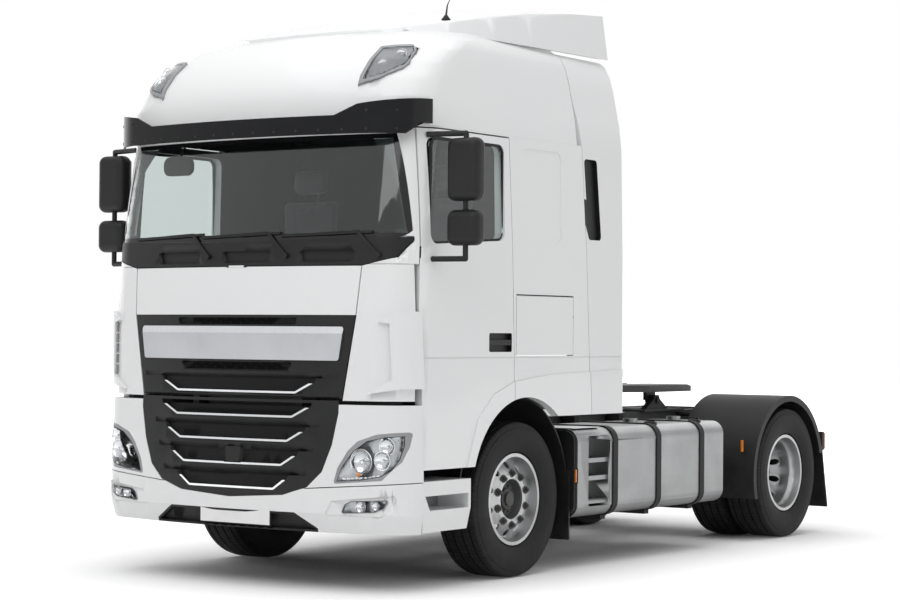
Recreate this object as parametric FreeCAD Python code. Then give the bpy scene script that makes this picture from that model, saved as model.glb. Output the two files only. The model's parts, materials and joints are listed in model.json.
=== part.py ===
import FreeCAD, Part
import functools
import math
import os

# Two-axle forward-control tractor unit with a high-roof sleeper cab.
# Millimetres, +Z up, the front faces -Y, +X is the left-hand side, z = 0 is the ground.
# While it is modelled, y = 0 is the front axle. Each piece is moved along Y as it is
# written, so that the origin lies on the ground under the middle of the whole truck.

Vector = FreeCAD.Vector

# Overall sizes
WHEELBASE = 3800.0
CAB_HALF_WIDTH = 1235.0
FRONT_Y = -1505.0
TAIL_Y = 4495.0
CAB_NOSE_Y = -1475.0
FAIRING_BACK_Y = 1190.0

# Clearances shared by all pieces
PANEL_GAP = 6.0
SEAT_GAP = 0.3
PIN_GAP = 0.7
GROOVE_WIDTH = 5.0
GROOVE_DEPTH = 6.0
OVERRUN = 50.0
LAP = 1.0
FAR = 6000.0

# Wheels and tyres
TYRE_RADIUS = 506.0
TYRE_WIDTH = 315.0
TYRE_BEAD_RADIUS = 286.0
RIM_FLANGE_RADIUS = 298.0
RIM_WIDTH = 250.0
RIM_SHELL = 10.0
RIM_WELL_RADIUS = 255.0
FRONT_WHEEL_X = 1012.0
REAR_OUTER_X = 1060.0
REAR_TWIN_PITCH = 340.0
FRONT_DISC_OUT = 105.0
DISC_THICKNESS = 12.0
HUB_FACE_RADIUS = 170.0
HUB_BORE_RADIUS = 100.0
HUB_DEPTH = 60.0
HUB_RADIUS = 130.0
HUB_CAP_PROUD = 20.0
HUB_CAP_DRAFT = 15.0
REAR_HUB_PROUD = 120.0
TREAD_FALL = 8.0
SHOULDER_FALL = 45.0
SIDE_BULGE_SHARE = 0.52
TREAD_SHARES = (0.5, 0.82, 0.95)
BEAD_SHARE = 0.80
CARCASS_SHARE = 0.3
HAND_HOLE_RADIUS = 24.0
HAND_HOLE_RING = 218.0
HAND_HOLES = 10

# Steering
KINGPIN_X = 870.0
KINGPIN_RADIUS = 24.0
KNUCKLE_HEIGHT = 170.0
KNUCKLE_DEPTH = 90.0
AXLE_EYE_RADIUS = 45.0
AXLE_EYE_HEIGHT = 100.0
STUB_RADIUS = 45.0
STEER_ARM_REACH = 170.0
STEER_ARM_DROP = 110.0
STEER_ARM_THICKNESS = 30.0
STEER_ARM_HALF = 28.0
TIE_ROD_RADIUS = 22.0
TIE_PIN_RADIUS = 14.0
TIE_EYE_RADIUS = 26.0
KNUCKLE_WEB = 20.0
KNUCKLE_WEB_OFFSET = 5.0

# Ladder frame
RAIL_OUTER_X = 395.0
RAIL_THICKNESS = 8.0
RAIL_FLANGE = 75.0
RAIL_TOP = 985.0
RAIL_HEIGHT = 260.0
RAIL_FRONT_Y = -1060.0
RAIL_BACK_Y = 4330.0
CROSS_HEIGHT = 120.0
CROSS_DEPTH = 80.0
CROSS_SHARES = (0.01, 0.30, 0.50, 0.66, 0.82)
END_PLATE_THICKNESS = 20.0
HITCH_SPACING_X = 160.0
HITCH_SPACING_Z = 100.0
HITCH_HOLE_RADIUS = 10.5

# Cab pivot
PIVOT_Y = -1375.0
PIVOT_Z = 1220.0
PIVOT_RADIUS = 14.0
PIVOT_EYE_RADIUS = 24.0
PIVOT_NECK_FRONT = 32.0
PIVOT_NECK_BACK = 85.0
PIVOT_SWEEP = 150.0
PIVOT_BRACKET_WIDTH = 50.0
PIVOT_BRACKET_DEPTH = 110.0
PIVOT_LUG_WIDTH = 40.0
PIVOT_LUG_DEPTH = 60.0

# Irons that carry the bumper, the lamp panels and the lower grille
IRON_HEIGHT = 50.0
IRON_LOW_Z = 520.0
IRON_BAR_Z = 905.0
IRON_REACH_X = 900.0

# Cab outer form: nose and half width at each level
HOOD_TOP_Z = 1990.0
SCREEN_LOW_Z = 2135.0
SCREEN_TOP_Z = 2795.0
CAB_LOW_Z = 700.0
STEEL_TOP_Z = 2846.0
HOOD_TOP_NOSE = -1452.0
SCREEN_LOW_NOSE = -1445.0
SCREEN_TOP_NOSE = -1325.0
STEEL_TOP_HALF = 1221.0
CORNER_RADIUS = 290.0
NOSE_SAG = 100.0
CORNER_TURN_SHARE = 0.19

# Roof moulding: it leans back and closes in as it rises to its top
ROOF_TOP_Z = 3540.0
ROOF_NOSE_Y = -1365.0
ROOF_LEAN = 805.0
ROOF_CORNER_GROWTH = 160.0
ROOF_SAG_LOSS = 30.0
# Shares of the rise, the half width, the lean, the corner's growth and the crown's loss
ROOF_SHARES = (
    (0.0, 1.0, 0.0, 0.0, 0.0),
    (0.236, 0.985, 0.004, 0.06, 0.0),
    (0.438, 0.961, 0.068, 0.25, 0.17),
    (0.597, 0.942, 0.178, 0.50, 0.33),
    (0.741, 0.919, 0.329, 0.75, 0.50),
    (0.856, 0.883, 0.516, 0.94, 0.67),
    (0.942, 0.815, 0.727, 1.0, 0.83),
    (1.0, 0.696, 1.0, 0.875, 1.0),
)
ROOF_BACK_Y = 606.0

# Cab walls and the seams between panels, as places in the side view
WALL = 50.0
DOOR_DEPTH = 80.0
ROOF_WALL = 40.0
FAIRING_WALL = 40.0
FAIRING_LUG_SHARES = (0.11, 0.365, 0.81)
DOOR_BACK_TOP_Y = -220.0
DOOR_BACK_LOW_Y = -160.0
DOOR_FRONT_TOP_Y = -1137.0
DOOR_FRONT_MID_Y = -1190.0
DOOR_FRONT_STEP_Y = -1162.0
DOOR_FRONT_LOW_Y = -1150.0
DOOR_MID_Z = 1700.0
DOOR_STEP_Z = 1182.0
DOOR_TOP_Z = 2832.0
DOOR_LOW_Z = 747.0
SILL_Z = 1430.0
QUARTER_LOW_Z = 1040.0
SEAM_TOP_Y = 612.0
SEAM_ROOF_Y = 667.0
SEAM_BELT_Y = 716.0
SEAM_LOW_Y = 785.0
SEAM_TOP_Z = 3150.0
FAIRING_TOP_Z = 3470.0
BACK_WALL_Y = 565.0
ARCH_Y = -20.0
ARCH_Z = 550.0
ARCH_RADIUS = 620.0
ARCH_TRIM_PROUD = 8.0
# Upper edge of the raised arch trim, as shares of the arch's radius from its centre
ARCH_TRIM_SHARES = (
    (-1.094, 0.292), (-0.894, 0.787), (-0.60, 1.04), (-0.224, 1.166), (0.482, 1.232), (1.952, 1.274),
)

# Blank window pressed into each side wall, and the vent in each fairing
BLANK_FRONT_Y = -55.0
BLANK_BACK_Y = 400.0
BLANK_LOW_Z = 2180.0
BLANK_TOP_Z = 2780.0
BLANK_CORNER = 55.0
BLANK_DEPTH = 5.0
VENT_OFFSET = 26.0
VENT_LENGTH = 165.0
VENT_LOW_Z = 2217.0
VENT_TOP_Z = 2761.0
VENT_CORNER = 28.0
VENT_DEPTH = 28.0

# Door window
WINDOW_FRONT_Y = -1090.0
WINDOW_BACK_Y = -280.0
WINDOW_TOP_Z = 2782.0
WINDOW_LOW_FRONT_Z = 2121.0
WINDOW_LOW_BACK_Z = 2172.0
WINDOW_CORNER = 60.0
GLASS_THICKNESS = 6.0
GLASS_INSET = 18.0

# Door hinge and range geometry
HINGE_X = 1195.0
HINGE_Y = -1105.0
HINGE_LOW_Z = 1640.0
HINGE_HIGH_Z = 2070.0
HINGE_LEVELS = (HINGE_LOW_Z, HINGE_HIGH_Z)
HINGE_PIN_RADIUS = 8.0
HINGE_EYE_RADIUS = 15.0
HINGE_ARM_HALF = 11.0
HINGE_ARM_HEIGHT = 50.0
HINGE_POCKET_HEIGHT = 70.0
HINGE_POCKET_X = 1216.0
HINGE_POCKET_BACK = 24.0
HINGE_SWEEP = 106.0
HINGE_INSET = 22.0
POST_DEPTH = 45.0
DOOR_SWING_RADIUS = 125.0
DOOR_LIP_RADIUS = 106.0

# Door handle in its pocket
HANDLE_FRONT_Y = -451.0
HANDLE_BACK_Y = -191.0
HANDLE_LOW_Z = 1463.0
HANDLE_TOP_Z = 1583.0
HANDLE_CORNER = 14.0
HANDLE_DEPTH = 30.0
HANDLE_BAR_INSET = 3.0
HANDLE_BAR_DEPTH = 16.0
HANDLE_BAR_HALF = 17.0

# Windscreen and cowl, in the front view
SCREEN_LOW_X = 1200.0
SCREEN_TOP_X = 1118.0
SCREEN_SIDE_Z = 2160.0
SCREEN_CORNER = 70.0
SCREEN_THICKNESS = 8.0
SCREEN_INSET = 6.0
SCREEN_BACK_Y = -1205.0
COWL_WALL = 45.0
COWL_END_X = 1205.0
COWL_BEND_X = 1130.0
COWL_BEND_Z = 2041.0
COWL_KNEE_X = 920.0
COWL_VENT_SHARES = (-0.42, 0.06, 0.56)
COWL_VENT_HALF = 200.0
COWL_VENT_TAPER = 22.0
COWL_VENT_LOW_Z = 2012.0
COWL_VENT_TOP_Z = 2082.0
COWL_VENT_CORNER = 14.0
COWL_VENT_DEPTH = 24.0

# Wipers
WIPER_SHARES = (-0.197, 0.322, 0.856)
WIPER_PIVOT_Z = 2050.0
WIPER_PIVOT_RADIUS = 17.0
WIPER_PIVOT_PROUD = 22.0
WIPER_ELBOW_X = 145.0
WIPER_ELBOW_Z = 2192.0
WIPER_ARM_WIDTH = 18.0
WIPER_ARM_PROUD = 13.0
WIPER_BLADE_BACK = 90.0
WIPER_BLADE_LENGTH = 640.0
WIPER_BLADE_HEIGHT = 16.0
WIPER_BLADE_FALL = 18.0
WIPER_BLADE_PROUD = 9.0

# Front flap and grilles
FLAP_TOP_X = 920.0
FLAP_MID_X = 899.0
FLAP_LOW_X = 812.0
FLAP_MID_Z = 1685.0
FLAP_LOW_Z = 1176.0
CORNER_PANEL_LOW_Z = 1165.0
FLAP_WALL = 30.0
FLAP_GAP = 8.0
FLAP_HINGE_OUT = 1.0
FLAP_BARREL_RADIUS = 6.0
FLAP_BARREL_HALF = 60.0
FLAP_BARREL_END = 20.0
FLAP_PIN_RADIUS = 3.0
GRILLE_TOP_Z = 1090.0
GRILLE_TOP_X = 797.0
GRILLE_KNEE_X = 757.0
GRILLE_KNEE_Z = 896.0
GRILLE_BEND_X = 692.0
GRILLE_BEND_Z = 731.0
GRILLE_TURN_X = 590.0
GRILLE_TURN_Z = 639.0
GRILLE_FOOT_X = 414.0
GRILLE_FOOT_Z = 583.0
GRILLE_BOTTOM_Z = 556.0
GRILLE_INSET = 1.2
GRILLE_DEPTH = 80.0
GRILLE_LIP = 12.0
GRILLE_LIP_Z = 1165.0
MESH_INSET = 34.0
MESH_THICKNESS = 6.0
FLAP_MESH_INSET = 22.0

# Louvre openings: level, pitch and half width of the first, the uppermost one
LOUVRE_PITCH = 148.5
LOUVRE_TOP_Z = 1266.0
LOUVRE_HEIGHT = 64.0
LOUVRE_RISE = 30.0
LOUVRE_HALF = 607.0
LOUVRE_FOOT_SHARE = 0.79
LOUVRE_SHARES = (1.0, 0.977, 0.911, 0.829, 0.715)
LOUVRE_CORNER = 34.0
BLADE_LIP = 16.0
BLADE_LEAN = 26.0
BLADE_REACH = 75.0
TRIM_WIDTH = 13.0
TRIM_PROUD = 3.0

# Bright band across the flap, and the pockets over and under it
BAND_TOP_Z = 1614.0
BAND_CREASE_Z = 1572.0
BAND_LOW_Z = 1407.0
BAND_HALF_TOP = 822.0
BAND_HALF_LOW = 790.0
BAND_CORNER = 18.0
BAND_PROUD = 14.0
BAND_LEAN = 8.0
POCKET_HALF = 486.0
POCKET_TAPER = 28.0
POCKET_DEPTH = 18.0
POCKET_CORNER = 9.0
HIGH_POCKET_LOW_Z = 1625.0
HIGH_POCKET_TOP_Z = 1668.0
LOW_POCKET_LOW_Z = 1346.0
LOW_POCKET_TOP_Z = 1392.0

# Distance sensor in the lower grille
SENSOR_X = 20.0
SENSOR_HALF = 62.0
SENSOR_LOW_Z = 772.0
SENSOR_TOP_Z = 866.0
SENSOR_CORNER = 10.0

# Air vanes on the corner panels, as places in the front view
VANE_PROUD = 30.0
VANE_WALL = 12.0
VANE_LIP_X = 1122.0
VANE_LIP_LOW_X = 1136.0
VANE_TAIL_X = 1045.0
VANE_TAIL_LOW_X = 982.0
VANE_TAIL_Z = 1652.0
VANE_TAIL_LOW_Z = 1206.0
VANE_LIP_Z = 1634.0
VANE_LIP_LOW_Z = 1296.0
VANE_TOP_Z = 1708.0
VANE_BOTTOM_Z = 1240.0
VANE_FOOT_X = 1180.0
VANE_RIM = 10.0
VANE_RIB_SHARES = (0.2, 0.4, 0.6, 0.8)

# Bumper and lamp panels
BUMPER_LOW_Z = 362.0
BUMPER_KNEE_Z = 480.0
BUMPER_SEAM_IN_Z = 628.0
BUMPER_SEAM_OUT_Z = 675.0
BUMPER_TOP_Z = 1141.0
BUMPER_HALF = 1258.0
BUMPER_HALF_TOP = 1248.0
BUMPER_LOW_NOSE = -1470.0
BUMPER_TOP_NOSE = -1492.0
BUMPER_TUCK = 12.0
BUMPER_WALL = 60.0
BUMPER_BACK_Y = -1172.0
INTAKE_HALF_LOW = 652.0
INTAKE_HALF_TOP = 500.0
INTAKE_TOP_Z = 478.0
INTAKE_LOW_Z = 386.0
INTAKE_DEPTH = 35.0
INTAKE_RIM = 14.0

# Entry step under each door
STEP_FRONT_Y = -1166.0
STEP_BACK_Y = -655.0
STEP_BACK_LOW_Y = -700.0
STEP_LOW_Z = 371.0
STEP_TOP_Z = 678.0
STEP_TREAD_Z = 500.0
STEP_RISER_Z = 590.0
STEP_DEPTH = 300.0
STEP_TREAD_DEPTH = 230.0
STEP_WALL = 25.0
STEP_PROUD = 8.0

# Step well inside the door
WELL_INNER_X = 760.0
WELL_OUTER_X = 1140.0
WELL_FRONT_Y = -1190.0
WELL_BACK_Y = -672.0
WELL_LOW_Z = 752.0
WELL_WALL = 14.0
WELL_STEP_Z = 1080.0

# Cab floor and front wall
FLOOR_Z = 1500.0
FLOOR_THICKNESS = 55.0
FLOOR_HALF = 1150.0
FIREWALL_Y = -1235.0
FIREWALL_THICKNESS = 35.0
FIREWALL_HALF = 1040.0
PILLAR_BACK_Y = -1204.0

# Engine and radiator
ENGINE_HALF = 300.0
ENGINE_FRONT_Y = -980.0
ENGINE_BACK_Y = 420.0
ENGINE_LOW_Z = 540.0
ENGINE_TOP_Z = 1420.0
ENGINE_FOOT = 90.0
RADIATOR_HALF = 360.0
RADIATOR_Y = -1290.0
RADIATOR_DEPTH = 110.0
RADIATOR_LOW_Z = 620.0
RADIATOR_TOP_Z = 1390.0
GEARBOX_HALF = 210.0
GEARBOX_LENGTH = 800.0
GEARBOX_LOW_Z = 560.0
GEARBOX_TOP_Z = 980.0

# Axles and suspension
BEAM_HALF_HEIGHT = 50.0
BEAM_HALF_DEPTH = 55.0
BEAM_DROP = 70.0
SPRING_X = 450.0
SPRING_HALF_LENGTH = 830.0
SPRING_WIDTH = 80.0
SPRING_LEAF = 22.0
SPRING_CAMBER = 70.0
SPRING_HANGER = 40.0
REAR_TUBE_RADIUS = 78.0
REAR_BOWL_RADIUS = 225.0
REAR_BOWL_HALF = 150.0
BELLOWS_RADIUS = 120.0
BELLOWS_X = 430.0
BELLOWS_OFFSET = 420.0
BEAM_ARM_WIDTH = 80.0
BEAM_ARM_HEIGHT = 50.0
PROPSHAFT_RADIUS = 55.0
PROPSHAFT_Z = 660.0

# Side tank
TANK_FRONT_Y = 672.0
TANK_BACK_Y = 2738.0
TANK_INNER_X = 520.0
TANK_OUTER_X = 1203.0
TANK_LOW_Z = 342.0
TANK_TOP_Z = 942.0
TANK_CORNER = 95.0
TANK_STEP_FRONT_Y = 812.0
TANK_STEP_BACK_Y = 1098.0
TANK_STEP_LOW_Z = 410.0
TANK_STEP_TOP_Z = 890.0
TANK_STEP_DEPTH = 150.0
TANK_RUNG_SHARES = (0.04, 0.37, 0.62)
TANK_RUNG_HEIGHT = 30.0
STRAP_WIDTH = 62.0
STRAP_THICKNESS = 8.0
STRAP_SHARES = (0.236, 0.5276, 0.8364)
BRACKET_THICKNESS = 30.0
CAP_RADIUS = 55.0
CAP_HEIGHT = 30.0
CAP_OFFSET = 186.0
TANK_END_LOW = 20.0
TANK_END_INSET = 12.0
TANK_END_CORNER = 76.0
TANK_END_THICKNESS = 28.0
STEP_CORNER = 32.0
RUNG_SETBACK = 20.0

# Wheel housings over the front wheels
HOUSING_RADIUS = 632.0
HOUSING_WALL = 12.0
HOUSING_Z = 530.0
HOUSING_INNER_X = 590.0
HOUSING_OUTER_X = 1140.0
HOUSING_LOW_Z = 640.0
HOUSING_STAY_SHARE = 0.35
FLAP_BOTTOM_Z = 200.0
FLAP_THICKNESS = 14.0
FRONT_FLAP_INNER_X = 800.0
FRONT_FLAP_OUTER_X = 1165.0

# Rear fenders
FENDER_RADIUS = 590.0
FENDER_WALL = 16.0
FENDER_INNER_X = 555.0
FENDER_OUTER_X = 1225.0
FENDER_LIP = 60.0
FENDER_LOW_Z = 330.0
FENDER_BACK_Z = 640.0
FENDER_STAY_SHARE = 0.55

# Tail lamps
TAIL_LAMP_X = 1130.0
TAIL_LAMP_HALF_WIDTH = 95.0
TAIL_LAMP_Z = 735.0
TAIL_LAMP_HALF_HEIGHT = 75.0
TAIL_LAMP_DEPTH = 60.0

# Fifth wheel
COUPLING_Y = 3200.0
COUPLING_TOP_Z = 1190.0
COUPLING_HALF_WIDTH = 450.0
COUPLING_FRONT = 450.0
COUPLING_BACK = 545.0
COUPLING_PLATE = 32.0
COUPLING_SKIRT = 55.0
COUPLING_RIB = 22.0
LOCK_RADIUS = 25.6
LOCK_MOUTH_HALF = 180.0
LOCK_HOUSING_HALF = 95.0
LOCK_THROAT = 110.0
COUPLING_NOSE_CUT = 130.0
COUPLING_NOSE_RUN = 190.0
COUPLING_TAIL_CUT = 120.0
COUPLING_TAIL_RUN = 140.0
RAMP_DROP = 50.0
RAMP_LENGTH = 200.0
COUPLING_PIN_Z = 1068.0
COUPLING_PIN_RADIUS = 24.0
COUPLING_EAR_X = 300.0
COUPLING_EAR_WIDTH = 30.0
COUPLING_EAR_HALF = 70.0
COUPLING_EAR_RADIUS = 42.0
COUPLING_PIN_REACH = 70.0
PEDESTAL_X = 345.0
PEDESTAL_WIDTH = 50.0
PEDESTAL_HALF_LENGTH = 170.0
PEDESTAL_NECK = 45.0
PEDESTAL_HEAD = 30.0
PEDESTAL_NECK_RISE = 10.0
PEDESTAL_HEAD_RISE = 40.0
BASE_PLATE_THICKNESS = 16.0
BASE_PLATE_HALF = 440.0
BASE_PLATE_LENGTH = 620.0

# Deck plate on the rails behind the cab
DECK_FRONT_Y = 1330.0
DECK_BACK_Y = 2600.0
DECK_HALF = 430.0
DECK_THICKNESS = 8.0
DECK_SLOTS = 9
DECK_SLOT_HALF = 300.0
DECK_SLOT_WIDTH = 22.0

# Roof spoiler, from its front edge to the rear end of the fairings
SPOILER_FRONT_Y = -690.0
SPOILER_HALF = 1112.0
SPOILER_SIDE_Z = 3795.0
SPOILER_SIDE_RISE = 267.0
SPOILER_CROWN_Z = 3872.0
SPOILER_CROWN_RISE = 338.0
SPOILER_FOOT_Z = 3440.0
# Shares of the length, the half width, the side's rise and the crown's rise
SPOILER_SHARES = (
    (0.0, 0.54, 0.0, 0.0),
    (0.133, 0.836, 0.176, 0.26),
    (0.314, 0.926, 0.42, 0.49),
    (0.527, 0.955, 0.663, 0.722),
    (0.793, 0.982, 0.888, 0.923),
    (1.0, 1.0, 1.0, 1.0),
)
SPOILER_WALL = 24.0
SPOILER_LEAN = 52.0
SPOILER_LOW_Z = 3486.0

# Sun visor
VISOR_NOSE_Y = -1500.0
VISOR_HALF = 1232.0
VISOR_CORNER = 380.0
VISOR_THICKNESS = 12.0
VISOR_LOW_Z = 2785.0
VISOR_MID_Z = 2900.0
VISOR_END_Z = 3012.0
VISOR_STEP_X = 745.0
VISOR_STEP_OUT_X = 900.0
VISOR_STEP_Z = 2965.0
VISOR_BACK_Y = -1075.0
VISOR_BRACKET_SHARES = (-0.83, -0.49, 0.0, 0.49, 0.83)
VISOR_BRACKET_DROP = 40.0
VISOR_BRACKET_HEIGHT = 20.0
VISOR_END_RISE = 70.0
VISOR_TAPER_X = 1150.0
VISOR_TAPER_OUT_X = 1205.0
VISOR_BRACKET_WIDTH = 30.0

# Mirrors
MIRROR_X = 1447.0
MIRROR_Y = -1030.0
MIRROR_WIDTH = 235.0
MIRROR_DEPTH = 120.0
MIRROR_ROUND = 50.0
UPPER_MIRROR_LOW_Z = 2380.0
UPPER_MIRROR_TOP_Z = 2763.0
LOWER_MIRROR_LOW_Z = 2110.0
LOWER_MIRROR_TOP_Z = 2326.0
MIRROR_ARM_RADIUS = 17.0
MIRROR_ARM_TOP_Z = 2790.0
MIRROR_ARM_LOW_Z = 2030.0
MIRROR_ARM_Y = -1085.0

# Cab furniture
DASH_TOP_Z = 2110.0
DASH_LOW_Z = 1760.0
DASH_BACK_Y = -800.0
DASH_HALF = 1045.0
DASH_BINNACLE_X = 520.0
DASH_BINNACLE_HALF = 300.0
DASH_BINNACLE_Z = 2200.0
DASH_LIP = 120.0
DASH_FALL = 140.0
DASH_TUCK = 60.0
BINNACLE_RUN = 100.0
BINNACLE_SLOPE = 60.0
BINNACLE_LIP = 80.0
BINNACLE_FALL = 100.0
DASH_INSET = 96.0
STEERING_X = 520.0
STEERING_Y = -700.0
STEERING_Z = 2065.0
STEERING_RADIUS = 225.0
STEERING_GRIP = 17.0
STEERING_TILT = 35.0
COLUMN_RADIUS = 38.0
STEERING_BOSS = 70.0
STEERING_BOSS_DEPTH = 50.0
STEERING_DISH = 40.0
STEERING_SPOKE = 14.0
STEERING_COLUMN = 330.0
SEAT_X = 560.0
SEAT_HALF = 260.0
SEAT_FRONT_Y = -440.0
SEAT_BACK_Y = 60.0
SEAT_PAD_Z = 1960.0
SEAT_PAD = 130.0
SEAT_BACKREST_TOP_Z = 2720.0
SEAT_BACKREST = 120.0
SEAT_BASE_HALF = 190.0
SEAT_BASE_SETBACK = 80.0
SEAT_BASE_BACK = 60.0
BUNK_FRONT_Y = 130.0
BUNK_BACK_Y = 550.0
BUNK_LIP = 40.0
BUNK_TOP_Z = 2080.0
BUNK_PAD = 130.0
BUNK_HALF = 1120.0

# Storage locker lid in each quarter panel
LOCKER_FRONT_Y = -142.0
LOCKER_BACK_Y = 555.0
LOCKER_LOW_Z = 1436.0
LOCKER_TOP_Z = 1834.0
LOCKER_WALL = 30.0
LOCKER_DEPTH = 320.0
LOCKER_BOX_WALL = 12.0
LOCKER_FLOOR = 80.0
LID_HINGE_X = 1220.0
LID_HINGE_Z = 1813.0
LID_PIN_RADIUS = 5.0
LID_PIN_REACH = 16.0

# Lamps: their boxes in the front view, and outlines as shares of the boxes
HEADLAMP_INNER_X = 775.0
HEADLAMP_OUTER_X = 1222.0
HEADLAMP_LOW_Z = 662.0
HEADLAMP_TOP_Z = 981.0
HEADLAMP_SHARES = (
    (0.0, 0.0), (0.06, 0.30), (0.206, 0.63), (0.349, 0.818), (0.631, 0.956),
    (0.855, 0.991), (1.0, 1.0), (0.98, 0.718), (0.924, 0.445), (0.711, 0.088),
)
FOG_INNER_X = 826.0
FOG_OUTER_X = 1136.0
FOG_LOW_Z = 482.0
FOG_TOP_Z = 577.0
FOG_SHARES = ((0.0, 0.0), (0.087, 0.62), (0.22, 0.842), (1.0, 1.0), (0.916, 0.42), (0.735, 0.168))
FOG_FRAME_SHARES = ((-0.364, -0.137), (-0.206, 0.81), (1.11, 1.26), (1.06, 0.42), (0.83, -0.137))
FOG_FRAME_DEPTH = 6.0
ROOF_LAMP_INNER_X = 840.0
ROOF_LAMP_OUTER_X = 1022.0
ROOF_LAMP_LOW_Z = 3085.0
ROOF_LAMP_TOP_Z = 3352.0
ROOF_LAMP_SHARES = ((0.0, 0.0), (0.21, 0.393), (0.495, 0.918), (0.934, 1.0), (1.0, 0.768), (0.797, 0.393))
LAMP_DEPTH = 45.0
LAMP_CORNER = 14.0
ROOF_LAMP_DEPTH = 24.0


# Basic shapes

def box(x0, x1, y0, y1, z0, z1):
    return Part.makeBox(x1 - x0, y1 - y0, z1 - z0, Vector(x0, y0, z0))


def rod(radius, start, end):
    """Round bar from one point to another."""
    axis = end - start
    return Part.makeCylinder(radius, axis.Length, start, axis)


def mirrored(shape):
    return shape.mirror(Vector(0, 0, 0), Vector(1, 0, 0))


def fused(shapes):
    """One solid from pieces that touch or overlap."""
    whole = shapes[0].fuse(shapes[1:]) if len(shapes) > 1 else shapes[0]
    return whole.removeSplitter()


def rounded_edges(corners, radius):
    """Edges of a closed outline with every corner rounded to one radius."""
    bends = []
    for index, corner in enumerate(corners):
        back = (corners[index - 1] - corner).normalize()
        ahead = (corners[(index + 1) % len(corners)] - corner).normalize()
        half = back.getAngle(ahead) / 2
        reach = radius / math.tan(half)
        way = (back + ahead).normalize()
        middle = corner + way * (radius / math.sin(half) - radius)
        bends.append((corner + back * reach, middle, corner + ahead * reach))
    edges = []
    for index, (start, middle, end) in enumerate(bends):
        edges.append(Part.Arc(start, middle, end).toShape())
        edges.append(Part.LineSegment(end, bends[(index + 1) % len(bends)][0]).toShape())
    return edges


def prism(points, axis, low, high, corner=0):
    """Outline of (first, second) pairs, in the plane across an axis, pushed from low to high.

    The pairs are (x, z) for axis y, (y, z) for axis x and (x, y) for axis z.
    """
    places = {
        "x": lambda a, b: Vector(low, a, b),
        "y": lambda a, b: Vector(a, low, b),
        "z": lambda a, b: Vector(a, b, low),
    }[axis]
    way = {"x": Vector(1, 0, 0), "y": Vector(0, 1, 0), "z": Vector(0, 0, 1)}[axis]
    corners = [places(a, b) for a, b in points]
    turn = sum((corners[i - 1].cross(corners[i]) for i in range(len(corners))), Vector())
    if turn.dot(way) > 0:
        corners.reverse()
    if corner > 0:
        wire = Part.Wire(rounded_edges(corners, corner))
    else:
        wire = Part.makePolygon(corners + corners[:1])
    return Part.Face(wire).extrude(way * (high - low))


def drawn_in(points, gap):
    """Closed outline with every edge moved inwards by a gap, or outwards by a negative one."""
    count = len(points)
    area = sum(points[i - 1][0] * points[i][1] - points[i][0] * points[i - 1][1] for i in range(count))
    side = gap if area > 0 else -gap
    moved = []
    for index, (a, b) in enumerate(points):
        before = Vector(a - points[index - 1][0], b - points[index - 1][1], 0).normalize()
        after = points[(index + 1) % count]
        ahead = Vector(after[0] - a, after[1] - b, 0).normalize()
        first = Vector(-before.y, before.x, 0)
        second = Vector(-ahead.y, ahead.x, 0)
        step = (first + second) * (side / (1 + first.dot(second)))
        moved.append((a + step.x, b + step.y))
    return moved


def swapped(points):
    """The same outline on the other side of the truck."""
    return [(-a, b) for a, b in points]


# Cab outer form

def plan_wire(level, half, nose, back, corner, sag):
    """Plan outline of the cab at one level: crowned front, round corners, straight sides."""
    turn = math.asin(CORNER_TURN_SHARE)
    join_x = half - corner + corner * math.sin(turn)
    join_y = nose + sag
    centre_x = half - corner
    centre_y = join_y + corner * math.cos(turn)
    middle = (math.pi / 2 + turn) / 2
    mid_x = centre_x + corner * math.sin(middle)
    mid_y = centre_y - corner * math.cos(middle)

    def at(x, y):
        return Vector(x, y, level)

    edges = [
        Part.Arc(at(-join_x, join_y), at(0, nose), at(join_x, join_y)).toShape(),
        Part.Arc(at(join_x, join_y), at(mid_x, mid_y), at(half, centre_y)).toShape(),
        Part.LineSegment(at(half, centre_y), at(half, back)).toShape(),
        Part.LineSegment(at(half, back), at(-half, back)).toShape(),
        Part.LineSegment(at(-half, back), at(-half, centre_y)).toShape(),
        Part.Arc(at(-half, centre_y), at(-mid_x, mid_y), at(-join_x, join_y)).toShape(),
    ]
    return Part.Wire(edges)


def loft_of(sections, back, inset, ruled):
    """Solid through plan outlines that are all drawn in by the same inset."""
    wires = [
        plan_wire(level, half - inset, nose + inset, back, corner - inset, sag)
        for level, half, nose, corner, sag in sections
    ]
    return Part.makeLoft(wires, True, ruled)


def raised(form, proud, outline, axis, corner=0):
    """Pad that stands proud of a form, with the shape of an outline."""
    layer = form(-proud).cut(form(LAP))
    return layer.common(prism(outline, axis, -FAR, FAR, corner))


def sunk(form, depth, outline, axis, corner=0):
    """Cutter that sinks an outline into a form by a depth."""
    layer = form(-OVERRUN).cut(form(depth))
    return layer.common(prism(outline, axis, -FAR, FAR, corner))


def in_box(shares, inner, outer, low, high):
    """Outline from shares of a box in the front view."""
    return [(inner + a * (outer - inner), low + b * (high - low)) for a, b in shares]


@functools.lru_cache(maxsize=None)
def cab_form(inset):
    """Solid of the steel cab's outer form, drawn in by a wall thickness."""
    sections = [
        (CAB_LOW_Z, CAB_HALF_WIDTH, CAB_NOSE_Y, CORNER_RADIUS, NOSE_SAG),
        (DOOR_MID_Z, CAB_HALF_WIDTH, CAB_NOSE_Y, CORNER_RADIUS, NOSE_SAG),
        (HOOD_TOP_Z, CAB_HALF_WIDTH, HOOD_TOP_NOSE, CORNER_RADIUS, NOSE_SAG),
        (SCREEN_LOW_Z, CAB_HALF_WIDTH, SCREEN_LOW_NOSE, CORNER_RADIUS, NOSE_SAG),
        (STEEL_TOP_Z, STEEL_TOP_HALF, SCREEN_TOP_NOSE, CORNER_RADIUS, NOSE_SAG),
    ]
    return loft_of(sections, FAIRING_BACK_Y, inset, True)


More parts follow.
